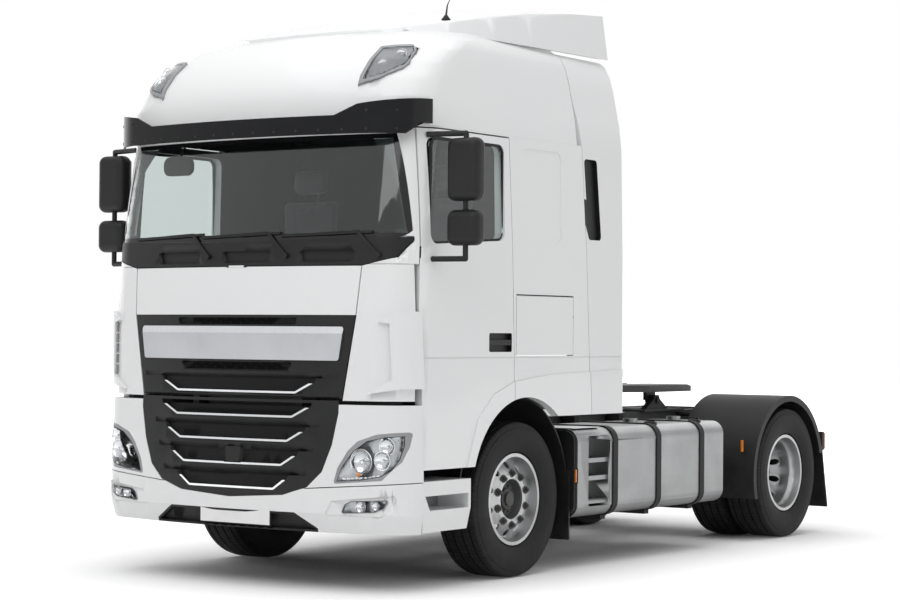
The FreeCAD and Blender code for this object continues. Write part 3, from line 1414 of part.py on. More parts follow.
def fuel_tank():
    """Alloy tank with a step recess and rungs at its front, and filler caps on top."""
    tank = tank_body(TANK_FRONT_Y, TANK_BACK_Y)
    points = [
        (TANK_STEP_FRONT_Y, TANK_STEP_LOW_Z), (TANK_STEP_BACK_Y, TANK_STEP_LOW_Z),
        (TANK_STEP_BACK_Y, TANK_STEP_TOP_Z), (TANK_STEP_FRONT_Y, TANK_STEP_TOP_Z),
    ]
    inner = TANK_OUTER_X - TANK_STEP_DEPTH
    tank = tank.cut(prism(points, "x", inner, TANK_OUTER_X + OVERRUN, STEP_CORNER))
    height = TANK_STEP_TOP_Z - TANK_STEP_LOW_Z
    rungs = []
    for share in TANK_RUNG_SHARES:
        z = TANK_STEP_LOW_Z + share * height
        rungs.append(box(inner - LAP, TANK_OUTER_X - RUNG_SETBACK,
                         TANK_STEP_FRONT_Y - LAP, TANK_STEP_BACK_Y + LAP, z, z + TANK_RUNG_HEIGHT))
    middle = (TANK_INNER_X + TANK_OUTER_X) / 2
    caps = []
    for strap_y in strap_places()[1:]:
        foot = Vector(middle, strap_y + CAP_OFFSET, TANK_TOP_Z - LAP)
        caps.append(Part.makeCylinder(CAP_RADIUS, CAP_HEIGHT + LAP, foot))
    return fused([tank] + rungs + caps)


def fuel_tanks():
    tank = fuel_tank()
    return [tank, mirrored(tank)]


def strap_places():
    return [TANK_FRONT_Y + share * (TANK_BACK_Y - TANK_FRONT_Y) for share in STRAP_SHARES]


def tank_straps():
    """Bands round each tank, and the brackets from the rail that it rests on."""
    straps = [strap_at(y) for y in strap_places()]
    return straps + [mirrored(strap) for strap in straps]


def strap_at(y):
    lo = y - STRAP_WIDTH / 2
    hi = y + STRAP_WIDTH / 2
    grown = SEAT_GAP + STRAP_THICKNESS
    points = [
        (TANK_INNER_X - grown, TANK_LOW_Z - grown), (TANK_OUTER_X + grown, TANK_LOW_Z - grown),
        (TANK_OUTER_X + grown, TANK_TOP_Z + grown), (TANK_INNER_X - grown, TANK_TOP_Z + grown),
    ]
    band = prism(points, "y", lo, hi, TANK_CORNER + grown)
    hollow = [
        (TANK_INNER_X - SEAT_GAP, TANK_LOW_Z - SEAT_GAP),
        (TANK_OUTER_X + SEAT_GAP, TANK_LOW_Z - SEAT_GAP),
        (TANK_OUTER_X + SEAT_GAP, TANK_TOP_Z + SEAT_GAP),
        (TANK_INNER_X - SEAT_GAP, TANK_TOP_Z + SEAT_GAP),
    ]
    band = band.cut(prism(hollow, "y", lo - LAP, hi + LAP, TANK_CORNER + SEAT_GAP))
    post = box(RAIL_OUTER_X, TANK_INNER_X - SEAT_GAP, lo, hi,
               TANK_LOW_Z + TANK_CORNER, RAIL_TOP)
    foot = box(RAIL_OUTER_X, TANK_OUTER_X - TANK_CORNER, lo, hi,
               TANK_LOW_Z - grown - BRACKET_THICKNESS, TANK_LOW_Z - SEAT_GAP)
    heel = box(RAIL_OUTER_X, TANK_INNER_X - grown, lo, hi,
               TANK_LOW_Z - grown - BRACKET_THICKNESS, TANK_LOW_Z + TANK_CORNER + LAP)
    return fused([band, post, foot, heel])


def tank_end():
    """Dark end piece ahead of each tank, with the side marker in it."""
    inner = TANK_INNER_X + SEAT_GAP
    outer = TANK_OUTER_X - TANK_END_INSET
    points = [
        (inner, TANK_LOW_Z + TANK_END_LOW), (outer, TANK_LOW_Z + TANK_END_LOW),
        (outer, TANK_TOP_Z - TANK_END_INSET), (inner, TANK_TOP_Z - TANK_END_INSET),
    ]
    return prism(points, "y", TANK_FRONT_Y - TANK_END_THICKNESS, TANK_FRONT_Y - SEAT_GAP, TANK_END_CORNER)


def tank_ends():
    end = tank_end()
    return [end, mirrored(end)]


# Wheel housings, fenders and flaps

def ring_sector(radius, wall, centre_y, centre_z, x0, x1, low_front, low_back):
    """Bent sheet over a wheel, cut off level at the front and at the back."""
    centre = Vector(x0, centre_y, centre_z)
    way = Vector(1, 0, 0)
    ring = Part.makeCylinder(radius + wall, x1 - x0, centre, way)
    ring = ring.cut(Part.makeCylinder(radius, x1 - x0, centre, way))
    ring = ring.cut(box(x0 - LAP, x1 + LAP, centre_y - FAR, centre_y, -FAR, low_front))
    return ring.cut(box(x0 - LAP, x1 + LAP, centre_y, centre_y + FAR, -FAR, low_back))


def wheel_housings():
    """Black inner arch over each front wheel, with the flap behind it and its stay."""
    arch = ring_sector(HOUSING_RADIUS, HOUSING_WALL, 0, HOUSING_Z, HOUSING_INNER_X,
                       HOUSING_OUTER_X, HOUSING_LOW_Z, HOUSING_LOW_Z)
    back = math.sqrt(HOUSING_RADIUS ** 2 - (HOUSING_LOW_Z - HOUSING_Z) ** 2)
    flap = box(FRONT_FLAP_INNER_X, FRONT_FLAP_OUTER_X, back, back + FLAP_THICKNESS,
               FLAP_BOTTOM_Z, HOUSING_LOW_Z + OVERRUN / 2)
    stays = []
    for side in (-1, 1):
        y = side * HOUSING_STAY_SHARE * HOUSING_RADIUS
        z = HOUSING_Z + math.sqrt(HOUSING_RADIUS ** 2 - y ** 2)
        stays.append(box(RAIL_OUTER_X, HOUSING_INNER_X + 2 * HOUSING_WALL,
                         y - HOUSING_WALL, y + HOUSING_WALL, z - 3 * HOUSING_WALL, z + HOUSING_WALL / 2))
        stays.append(box(RAIL_OUTER_X, RAIL_OUTER_X + 2 * HOUSING_WALL,
                         y - HOUSING_WALL, y + HOUSING_WALL, RAIL_TOP - RAIL_FLANGE, z))
    housing = fused([arch, flap] + stays)
    return [housing, mirrored(housing)]


def rear_fenders():
    """Three-piece cover over each twin wheel, with the flap and its stays to the rail."""
    top = ring_sector(FENDER_RADIUS, FENDER_WALL, WHEELBASE, TYRE_RADIUS, FENDER_INNER_X,
                      FENDER_OUTER_X, FENDER_LOW_Z, FENDER_BACK_Z)
    lip = ring_sector(FENDER_RADIUS - FENDER_LIP / 2, FENDER_LIP / 2 + FENDER_WALL, WHEELBASE,
                      TYRE_RADIUS, FENDER_OUTER_X - FENDER_WALL, FENDER_OUTER_X,
                      FENDER_LOW_Z, FENDER_BACK_Z)
    back = math.sqrt(FENDER_RADIUS ** 2 - (FENDER_BACK_Z - TYRE_RADIUS) ** 2)
    y = WHEELBASE + back
    points = [
        (y, FENDER_BACK_Z + OVERRUN), (y + FENDER_WALL, FENDER_BACK_Z + OVERRUN),
        (TAIL_Y, FLAP_BOTTOM_Z), (TAIL_Y - FENDER_WALL, FLAP_BOTTOM_Z),
    ]
    flap = prism(points, "x", FENDER_INNER_X, FENDER_OUTER_X)
    stays = []
    for side in (-1, 1):
        place = WHEELBASE + side * FENDER_STAY_SHARE * FENDER_RADIUS
        z = TYRE_RADIUS + math.sqrt(1 - FENDER_STAY_SHARE ** 2) * FENDER_RADIUS
        knee = Vector(FENDER_INNER_X + FENDER_LIP, place, RAIL_TOP - 2 * FENDER_WALL)
        stays.append(rod(FENDER_WALL, Vector(RAIL_OUTER_X, place, knee.z), knee))
        stays.append(rod(FENDER_WALL, knee, Vector(knee.x, place, z + FENDER_WALL / 2)))
        stays.append(Part.makeSphere(FENDER_WALL, knee))
    fender = fused([top, lip, flap] + stays)
    return [fender, mirrored(fender)]


def tail_lamps():
    back = math.sqrt(FENDER_RADIUS ** 2 - (FENDER_BACK_Z - TYRE_RADIUS) ** 2)
    y = WHEELBASE + back + 2 * FENDER_WALL
    lamp = box(TAIL_LAMP_X - TAIL_LAMP_HALF_WIDTH, TAIL_LAMP_X + TAIL_LAMP_HALF_WIDTH,
               y - FENDER_WALL, y + TAIL_LAMP_DEPTH,
               TAIL_LAMP_Z - TAIL_LAMP_HALF_HEIGHT, TAIL_LAMP_Z + TAIL_LAMP_HALF_HEIGHT)
    for solid in rear_fenders():
        lamp = lamp.cut(solid)
    lamp = max(lamp.Solids, key=lambda s: s.Volume)
    return [lamp, mirrored(lamp)]


# Fifth wheel

def coupling_plate():
    """Greased top plate with an entry throat, sloping ramps and ears for its pivot pins."""
    y = COUPLING_Y
    w = COUPLING_HALF_WIDTH
    front = y - COUPLING_FRONT
    back = y + COUPLING_BACK
    points = [
        (COUPLING_NOSE_CUT - w, front), (w - COUPLING_NOSE_CUT, front),
        (w, front + COUPLING_NOSE_RUN), (w, back - COUPLING_TAIL_RUN),
        (w - COUPLING_TAIL_CUT, back), (LOCK_MOUTH_HALF, back), (LOCK_RADIUS, y + LOCK_THROAT),
        (LOCK_RADIUS, y), (-LOCK_RADIUS, y), (-LOCK_RADIUS, y + LOCK_THROAT),
        (-LOCK_MOUTH_HALF, back), (COUPLING_TAIL_CUT - w, back),
        (-w, back - COUPLING_TAIL_RUN), (-w, front + COUPLING_NOSE_RUN),
    ]
    low = COUPLING_TOP_Z - COUPLING_SKIRT
    block = prism(points, "z", low, COUPLING_TOP_Z)
    ramp = [
        (back - RAMP_LENGTH, COUPLING_TOP_Z), (back + OVERRUN, COUPLING_TOP_Z - RAMP_DROP),
        (back + OVERRUN, COUPLING_TOP_Z + OVERRUN), (back - RAMP_LENGTH, COUPLING_TOP_Z + OVERRUN),
    ]
    block = block.cut(prism(ramp, "x", -FAR, FAR))
    pocket = box(LOCK_HOUSING_HALF, w - COUPLING_RIB, front + COUPLING_NOSE_RUN, back - RAMP_LENGTH,
                 low - LAP, COUPLING_TOP_Z - COUPLING_PLATE)
    block = block.cut(pocket).cut(mirrored(pocket))
    block = block.cut(Part.makeCylinder(LOCK_RADIUS, COUPLING_SKIRT + 2 * LAP, Vector(0, y, low - LAP)))
    return block


def fifth_wheel():
    plate = coupling_plate()
    low = COUPLING_TOP_Z - COUPLING_PLATE
    ears = []
    for side in (-1, 1):
        x = side * COUPLING_EAR_X
        x0 = x - COUPLING_EAR_WIDTH / 2
        x1 = x + COUPLING_EAR_WIDTH / 2
        ears.append(box(x0, x1, COUPLING_Y - COUPLING_EAR_HALF, COUPLING_Y + COUPLING_EAR_HALF,
                        COUPLING_PIN_Z, low))
        ears.append(rod(COUPLING_EAR_RADIUS, Vector(x0, COUPLING_Y, COUPLING_PIN_Z),
                        Vector(x1, COUPLING_Y, COUPLING_PIN_Z)))
        pin_start = Vector(x + side * COUPLING_EAR_WIDTH / 2, COUPLING_Y, COUPLING_PIN_Z)
        pin_end = pin_start + Vector(side * COUPLING_PIN_REACH, 0, 0)
        ears.append(rod(COUPLING_PIN_RADIUS, pin_start, pin_end))
    low = COUPLING_TOP_Z - COUPLING_SKIRT
    jaw = box(-LOCK_RADIUS, LOCK_RADIUS, COUPLING_Y + LOCK_RADIUS / 2, COUPLING_Y + LOCK_MOUTH_HALF / 2,
              low, COUPLING_TOP_Z - COUPLING_PLATE)
    bore = Part.makeCylinder(LOCK_RADIUS, 2 * COUPLING_SKIRT, Vector(0, COUPLING_Y, low - COUPLING_SKIRT / 2))
    return fused([plate, jaw.cut(bore)] + ears)


def fifth_wheel_base():
    """Mounting plate on the rails with a pedestal under each pivot pin."""
    plate = box(-BASE_PLATE_HALF, BASE_PLATE_HALF, COUPLING_Y - BASE_PLATE_LENGTH / 2,
                COUPLING_Y + BASE_PLATE_LENGTH / 2, RAIL_TOP, RAIL_TOP + BASE_PLATE_THICKNESS)
    parts = [plate]
    for side in (-1, 1):
        x = side * PEDESTAL_X
        x0 = x - PEDESTAL_WIDTH / 2
        x1 = x + PEDESTAL_WIDTH / 2
        points = [
            (COUPLING_Y - PEDESTAL_HALF_LENGTH, RAIL_TOP + BASE_PLATE_THICKNESS),
            (COUPLING_Y - PEDESTAL_NECK, COUPLING_PIN_Z + PEDESTAL_NECK_RISE),
            (COUPLING_Y - PEDESTAL_HEAD, COUPLING_PIN_Z + PEDESTAL_HEAD_RISE),
            (COUPLING_Y + PEDESTAL_HEAD, COUPLING_PIN_Z + PEDESTAL_HEAD_RISE),
            (COUPLING_Y + PEDESTAL_NECK, COUPLING_PIN_Z + PEDESTAL_NECK_RISE),
            (COUPLING_Y + PEDESTAL_HALF_LENGTH, RAIL_TOP + BASE_PLATE_THICKNESS),
        ]
        parts.append(prism(points, "x", x0, x1))
    base = fused(parts)
    way = Vector(1, 0, 0)
    hole = Part.makeCylinder(COUPLING_PIN_RADIUS + PIN_GAP, 2 * FAR,
                             Vector(-FAR, COUPLING_Y, COUPLING_PIN_Z), way)
    return [base.cut(hole)]


def deck_plate():
    """Walkway on the rails behind the cab, with slots to drain it."""
    plate = box(-DECK_HALF, DECK_HALF, DECK_FRONT_Y, DECK_BACK_Y, RAIL_TOP, RAIL_TOP + DECK_THICKNESS)
    step = (DECK_BACK_Y - DECK_FRONT_Y) / DECK_SLOTS
    for index in range(DECK_SLOTS):
        y = DECK_FRONT_Y + (index + 0.5) * step - DECK_SLOT_WIDTH / 2
        plate = plate.cut(box(-DECK_SLOT_HALF, DECK_SLOT_HALF, y, y + DECK_SLOT_WIDTH,
                              RAIL_TOP - LAP, RAIL_TOP + DECK_THICKNESS + LAP))
    return [plate]


# Wheels

def revolved(points, x):
    """Ring about the wheel's axle line from (offset along the axle, radius) pairs."""
    corners = [Vector(x + a, 0, r) for a, r in points]
    profile = Part.Face(Part.makePolygon(corners + corners[:1]))
    ring = profile.revolve(Vector(x, 0, 0), Vector(1, 0, 0), 360)
    ring.translate(Vector(0, 0, TYRE_RADIUS))
    return ring


def tyre(x, y):
    """Radial tyre: flat tread, round shoulders, bulged sides and beads on the rim."""
    w = TYRE_WIDTH / 2
    r = TYRE_RADIUS
    b = TYRE_BEAD_RADIUS
    crown, edge, shoulder = (share * w for share in TREAD_SHARES)
    side = [
        (crown, r - CARCASS_SHARE * (r - b)), (RIM_WIDTH / 2 - 2 * RIM_SHELL, b),
        (BEAD_SHARE * w, RIM_FLANGE_RADIUS + 2 * RIM_SHELL), (w, b + SIDE_BULGE_SHARE * (r - b)),
        (shoulder, r - SHOULDER_FALL), (edge, r - TREAD_FALL), (crown, r),
    ]
    ring = revolved(side + swapped(side)[::-1], x)
    ring.translate(Vector(0, y, 0))
    return ring


def rim_points():
    """Drop-centre rim shell as one closed outline."""
    h = RIM_WIDTH / 2
    outer = [
        (-h, RIM_FLANGE_RADIUS), (-h + RIM_SHELL, RIM_FLANGE_RADIUS),
        (-h + RIM_SHELL, TYRE_BEAD_RADIUS - SEAT_GAP), (-h + 4 * RIM_SHELL, TYRE_BEAD_RADIUS - SEAT_GAP),
        (-h + 8 * RIM_SHELL, RIM_WELL_RADIUS), (h - 8 * RIM_SHELL, RIM_WELL_RADIUS),
        (h - 4 * RIM_SHELL, TYRE_BEAD_RADIUS - SEAT_GAP), (h - RIM_SHELL, TYRE_BEAD_RADIUS - SEAT_GAP),
        (h - RIM_SHELL, RIM_FLANGE_RADIUS), (h, RIM_FLANGE_RADIUS),
    ]
    inner = [
        (h, TYRE_BEAD_RADIUS - RIM_SHELL), (h - 6 * RIM_SHELL, TYRE_BEAD_RADIUS - 2 * RIM_SHELL),
        (h - 9 * RIM_SHELL, RIM_WELL_RADIUS - RIM_SHELL),
        (-h + 9 * RIM_SHELL, RIM_WELL_RADIUS - RIM_SHELL),
        (-h + 6 * RIM_SHELL, TYRE_BEAD_RADIUS - 2 * RIM_SHELL), (-h, TYRE_BEAD_RADIUS - RIM_SHELL),
    ]
    return outer + inner


def wheel_disc(face, root):
    """Dished disc from the rim's well to the bolting face, with hand holes."""
    t = DISC_THICKNESS
    points = [
        (face, HUB_BORE_RADIUS), (face, HUB_FACE_RADIUS), (root, RIM_WELL_RADIUS - RIM_SHELL / 2),
        (root - t, RIM_WELL_RADIUS - RIM_SHELL / 2), (face - t, HUB_FACE_RADIUS - t / 2),
        (face - t, HUB_BORE_RADIUS),
    ]
    return points


def with_hand_holes(wheel, x, y):
    cutters = []
    for index in range(HAND_HOLES):
        angle = 2 * math.pi * (index + 0.5) / HAND_HOLES
        place = Vector(x - FAR / 10, y + HAND_HOLE_RING * math.cos(angle),
                       TYRE_RADIUS + HAND_HOLE_RING * math.sin(angle))
        cutters.append(Part.makeCylinder(HAND_HOLE_RADIUS, FAR / 5, place, Vector(1, 0, 0)))
    return wheel.cut(cutters)


def front_wheel(side):
    """Steel wheel whose disc stands out, with its hub."""
    x = FRONT_WHEEL_X
    disc = wheel_disc(FRONT_DISC_OUT, RIM_WIDTH / 2 - 9 * RIM_SHELL)
    parts = [revolved(rim_points(), x), revolved(disc, x)]
    wheel = with_hand_holes(fused(parts), x, 0)
    hub = [
        (FRONT_DISC_OUT - DISC_THICKNESS, STUB_RADIUS + PIN_GAP),
        (FRONT_DISC_OUT - DISC_THICKNESS, HUB_RADIUS),
        (FRONT_DISC_OUT - DISC_THICKNESS - HUB_DEPTH, HUB_RADIUS),
        (FRONT_DISC_OUT - DISC_THICKNESS - HUB_DEPTH, STUB_RADIUS + PIN_GAP),
    ]
    cap = [
        (FRONT_DISC_OUT - DISC_THICKNESS, 0), (FRONT_DISC_OUT - DISC_THICKNESS, HUB_BORE_RADIUS),
        (FRONT_DISC_OUT + HUB_CAP_PROUD, HUB_BORE_RADIUS - HUB_CAP_DRAFT),
        (FRONT_DISC_OUT + HUB_CAP_PROUD, 0),
    ]
    wheel = fused([wheel, revolved(hub, x), revolved(cap, x)])
    return wheel if side > 0 else mirrored(wheel)


def front_tyre(side):
    ring = tyre(FRONT_WHEEL_X, 0)
    return ring if side > 0 else mirrored(ring)


def rear_wheel(side):
    """Twin steel wheels back to back on one hub that turns on the axle tube."""
    outer_x = REAR_OUTER_X
    inner_x = REAR_OUTER_X - REAR_TWIN_PITCH
    face_x = (outer_x + inner_x) / 2
    parts = []
    for centre, sign in ((outer_x, 1), (inner_x, -1)):
        parts.append(revolved(rim_points(), centre))
        reach = abs(centre - face_x)
        root = RIM_WIDTH / 2 - 9 * RIM_SHELL
        ring = RIM_WELL_RADIUS - RIM_SHELL / 2
        disc = [
            (-sign * reach, HUB_BORE_RADIUS), (-sign * reach, HUB_FACE_RADIUS), (-sign * root, ring),
            (-sign * (root - DISC_THICKNESS), ring), (-sign * (reach - DISC_THICKNESS), HUB_FACE_RADIUS),
            (-sign * (reach - DISC_THICKNESS), HUB_BORE_RADIUS),
        ]
        parts.append(revolved(disc, centre))
    wheel = with_hand_holes(fused(parts), face_x, 0)
    hub = [
        (-HUB_DEPTH, REAR_TUBE_RADIUS + PIN_GAP), (-HUB_DEPTH, HUB_RADIUS), (DISC_THICKNESS, HUB_RADIUS),
        (4 * DISC_THICKNESS, HUB_BORE_RADIUS), (REAR_HUB_PROUD, HUB_BORE_RADIUS - HUB_CAP_DRAFT),
        (REAR_HUB_PROUD, 0), (0, 0), (0, REAR_TUBE_RADIUS + PIN_GAP),
    ]
    wheel = fused([wheel, revolved(hub, face_x)])
    wheel.translate(Vector(0, WHEELBASE, 0))
    return wheel if side > 0 else mirrored(wheel)


def rear_tyres(side):
    pair = [tyre(REAR_OUTER_X, WHEELBASE), tyre(REAR_OUTER_X - REAR_TWIN_PITCH, WHEELBASE)]
    return pair if side > 0 else [mirrored(p) for p in pair]


# Steering

def knuckle(side):
    """Fork round the axle eye, stub axle and steering arm."""
    z = TYRE_RADIUS
    x = KINGPIN_X
    half = KNUCKLE_HEIGHT / 2
    eye = AXLE_EYE_HEIGHT / 2 + PIN_GAP
    web_x = x + AXLE_EYE_RADIUS + KNUCKLE_WEB_OFFSET
    pin = Part.makeCylinder(KINGPIN_RADIUS, KNUCKLE_HEIGHT, Vector(x, 0, z - half))
    ends = []
    for low, high in ((z - half, z - eye), (z + eye, z + half)):
        ends.append(Part.makeCylinder(AXLE_EYE_RADIUS, high - low, Vector(x, 0, low)))
        ends.append(box(x, web_x + KNUCKLE_WEB, -KNUCKLE_DEPTH / 2, KNUCKLE_DEPTH / 2, low, high))
    web = box(web_x, web_x + KNUCKLE_WEB, -KNUCKLE_DEPTH / 2, KNUCKLE_DEPTH / 2, z - half, z + half)
    stub_end = FRONT_WHEEL_X + FRONT_DISC_OUT - DISC_THICKNESS - PIN_GAP
    stub = rod(STUB_RADIUS, Vector(web_x, 0, z), Vector(stub_end, 0, z))
    arm_z = z - STEER_ARM_DROP
    drop = box(x - STEER_ARM_HALF, x + STEER_ARM_HALF, -STEER_ARM_HALF, STEER_ARM_HALF,
               arm_z, z - half)
    arm = box(x - STEER_ARM_HALF, x + STEER_ARM_HALF, -STEER_ARM_HALF, STEER_ARM_REACH,
              arm_z, arm_z + STEER_ARM_THICKNESS)
    tip = Part.makeCylinder(STEER_ARM_HALF, STEER_ARM_THICKNESS, Vector(x, STEER_ARM_REACH, arm_z))
    body = fused([pin, web, stub, drop, arm, tip] + ends)
    gap = PIN_GAP if side > 0 else 4 * PIN_GAP
    hole = Part.makeCylinder(TIE_PIN_RADIUS + gap, 4 * STEER_ARM_THICKNESS,
                             Vector(x, STEER_ARM_REACH, arm_z - STEER_ARM_THICKNESS))
    body = body.cut(hole)
    return body if side > 0 else mirrored(body)


def tie_rod():
    """Rod behind the axle between the two steering arms, with a pin up through each arm."""
    top = TYRE_RADIUS - STEER_ARM_DROP - PIN_GAP
    low = top - 2 * TIE_ROD_RADIUS
    z = (top + low) / 2
    ends = [Vector(side * KINGPIN_X, STEER_ARM_REACH, z) for side in (-1, 1)]
    parts = [rod(TIE_ROD_RADIUS, *ends)]
    for side in (-1, 1):
        place = Vector(side * KINGPIN_X, STEER_ARM_REACH, low)
        parts.append(Part.makeCylinder(TIE_EYE_RADIUS, top - low, place))
        parts.append(Part.makeCylinder(TIE_PIN_RADIUS, top - low + PIN_GAP + STEER_ARM_THICKNESS, place))
    return [fused(parts)]


# Cab

def cab_floor():
    """Floor, front wall, step wells, locker boxes and the lugs on the pivot pins."""
    low = FLOOR_Z - FLOOR_THICKNESS
    floor = box(-FLOOR_HALF, FLOOR_HALF, FIREWALL_Y, DOOR_BACK_LOW_Y, low, FLOOR_Z)
    floor = floor.common(cab_form(DOOR_DEPTH + PANEL_GAP))
    rear = box(-CAB_HALF_WIDTH, CAB_HALF_WIDTH, DOOR_BACK_LOW_Y + PANEL_GAP, BACK_WALL_Y + WALL,
               low, FLOOR_Z)
    middle = box(-FLOOR_HALF, FLOOR_HALF, DOOR_BACK_LOW_Y - LAP, DOOR_BACK_LOW_Y + PANEL_GAP + LAP,
                 low, FLOOR_Z)
    rear = rear.common(cab_form(WALL + SEAT_GAP))
    wall = box(-FIREWALL_HALF, FIREWALL_HALF, FIREWALL_Y, FIREWALL_Y + FIREWALL_THICKNESS,
               FLOOR_Z - LAP, HOOD_TOP_Z + PANEL_GAP)
    wall = wall.common(cab_form(WALL + SEAT_GAP))
    parts = [floor, middle, rear, wall]
    for side in (-1, 1):
        parts.append(step_well(side))
        parts.append(pivot_lug(side))
    whole = fused(parts)
    for side in (-1, 1):
        mouth = box(WELL_INNER_X + WELL_WALL, FLOOR_HALF + LAP, WELL_FRONT_Y + WELL_WALL,
                    WELL_BACK_Y - WELL_WALL, low - LAP, FLOOR_Z + LAP)
        whole = whole.cut(mouth if side > 0 else mirrored(mouth))
    return [whole.cut(door_swing(DOOR_SWING_RADIUS))]


def door_swing(radius):
    """Room that the front edges of the doors swing through."""
    swing = Part.makeCylinder(radius, FAR, Vector(HINGE_X, HINGE_Y, 0))
    return swing.fuse(mirrored(swing))


def step_well(side):
    """Open box behind the door's lower cover, with a tread half way up."""
    top = FLOOR_Z - FLOOR_THICKNESS + LAP
    outer = box(WELL_INNER_X, WELL_OUTER_X, WELL_FRONT_Y, WELL_BACK_Y, WELL_LOW_Z, top)
    inner = box(WELL_INNER_X + WELL_WALL, WELL_OUTER_X + LAP, WELL_FRONT_Y + WELL_WALL,
                WELL_BACK_Y - WELL_WALL, WELL_LOW_Z + WELL_WALL, top + LAP)
    tread = box(WELL_INNER_X + LAP, WELL_OUTER_X, WELL_FRONT_Y + LAP, WELL_BACK_Y - LAP,
                WELL_STEP_Z, WELL_STEP_Z + 2 * WELL_WALL)
    well = outer.cut(inner).fuse(tread)
    return well if side > 0 else mirrored(well)


def pivot_lug(side):
    """Arm from the front wall down to the pivot pin outside the chassis bracket."""
    x0 = RAIL_OUTER_X + SEAT_GAP + PIVOT_BRACKET_WIDTH + PIN_GAP
    x1 = x0 + PIVOT_LUG_WIDTH - 2 * PIN_GAP
    low = FLOOR_Z - FLOOR_THICKNESS
    points = [
        (PIVOT_Y - PIVOT_EYE_RADIUS, PIVOT_Z), (PIVOT_Y + PIVOT_EYE_RADIUS, PIVOT_Z),
        (FIREWALL_Y + PIVOT_LUG_DEPTH, low + LAP), (FIREWALL_Y + PIVOT_LUG_DEPTH, FLOOR_Z - LAP),
        (FIREWALL_Y, FLOOR_Z - LAP), (FIREWALL_Y, low),
        (PIVOT_Y - PIVOT_EYE_RADIUS, PIVOT_Z + 2 * PIVOT_EYE_RADIUS),
    ]
    arm = prism(points, "x", x0, x1)
    eye = rod(PIVOT_EYE_RADIUS, Vector(x0, PIVOT_Y, PIVOT_Z), Vector(x1, PIVOT_Y, PIVOT_Z))
    lug = fused([arm, eye]).cut(rod(PIVOT_RADIUS + PIN_GAP, Vector(x0 - LAP, PIVOT_Y, PIVOT_Z),
                                    Vector(x1 + LAP, PIVOT_Y, PIVOT_Z)))
    return lug if side > 0 else mirrored(lug)


def locker_block(gap):
    """Side-view block of the storage locker in the left quarter panel."""
    points = [
        (LOCKER_FRONT_Y + gap, LOCKER_LOW_Z + gap), (LOCKER_BACK_Y - gap, LOCKER_LOW_Z + gap),
        (LOCKER_BACK_Y - gap, LOCKER_TOP_Z - gap), (LOCKER_FRONT_Y + gap, LOCKER_TOP_Z - gap),
    ]
    return prism(points, "x", 0, FAR)


def arch_trim_outline():
    """Raised trim over the front wheel, which runs back along the foot of the cab."""
    edge = [(ARCH_Y + a * ARCH_RADIUS, ARCH_Z + b * ARCH_RADIUS) for a, b in ARCH_TRIM_SHARES]
    return edge + [(edge[-1][0], ARCH_Z), (edge[0][0], ARCH_Z)]


def arch_trim(area):
    """Part of the raised trim on both sides that lies within an area."""
    trim = raised(cab_form, ARCH_TRIM_PROUD, arch_trim_outline(), "x")
    low = box(-FAR, FAR, DOOR_BACK_LOW_Y, FAR, -FAR, QUARTER_LOW_Z)
    return trim.common(area).cut(arch_cut(-FAR, FAR)).cut(low)


def sill_groove():
    """Fine groove round the cab sides where the steel meets the lower covers."""
    ring = cab_form(-OVERRUN).cut(cab_form(GROOVE_DEPTH))
    low = SILL_Z - GROOVE_WIDTH
    return ring.common(box(-FAR, FAR, DOOR_FRONT_STEP_Y - OVERRUN, FAR, low, SILL_Z))


def quarter_walls():
    """Side walls behind the doors and the back wall, as one pressing."""
    area = prism(seam_outline(-PANEL_GAP / 2, -1), "x", -FAR, FAR)
    area = area.cut(prism(door_outline(-PANEL_GAP / 2), "x", -FAR, FAR))
    area = area.cut(box(-FAR, FAR, -FAR, DOOR_BACK_LOW_Y + PANEL_GAP / 2, -FAR, SILL_Z))
    area = area.common(box(-FAR, FAR, DOOR_BACK_TOP_Y, FAR, -FAR, FAR))
    sides = skin(cab_form, 0, WALL, QUARTER_LOW_Z, STEEL_TOP_Z).common(area).cut(arch_cut(-FAR, FAR))
    blank = [
        (BLANK_FRONT_Y, BLANK_TOP_Z), (BLANK_FRONT_Y, BLANK_LOW_Z),
        (BLANK_BACK_Y, BLANK_LOW_Z), (BLANK_BACK_Y, BLANK_TOP_Z),
    ]
    sides = sides.cut(sunk(cab_form, BLANK_DEPTH, blank, "x", BLANK_CORNER)).cut(sill_groove())
    back = cab_form(WALL - LAP).common(box(-FAR, FAR, BACK_WALL_Y, BACK_WALL_Y + WALL,
                                           QUARTER_LOW_Z, STEEL_TOP_Z))
    back = back.cut(box(-FAR, FAR, BACK_WALL_Y - LAP, BACK_WALL_Y + WALL + SEAT_GAP,
                        -FAR, FLOOR_Z + SEAT_GAP))
    walls = fused([sides, back, arch_trim(area)])
    for hole in (locker_block(0), mirrored(locker_block(0))):
        walls = walls.cut(hole.common(box(-FAR, FAR, -FAR, BACK_WALL_Y - LAP, -FAR, FAR)))
    return [walls.cut(lid_pins(LID_PIN_RADIUS + PIN_GAP))]


def lid_pins(radius):
    """Hinge pins along the top edges of both locker lids."""
    start = Vector(LID_HINGE_X, LOCKER_FRONT_Y - LID_PIN_REACH, LID_HINGE_Z)
    end = Vector(LID_HINGE_X, LOCKER_BACK_Y + LID_PIN_REACH, LID_HINGE_Z)
    pin = rod(radius, start, end)
    return pin.fuse(mirrored(pin))


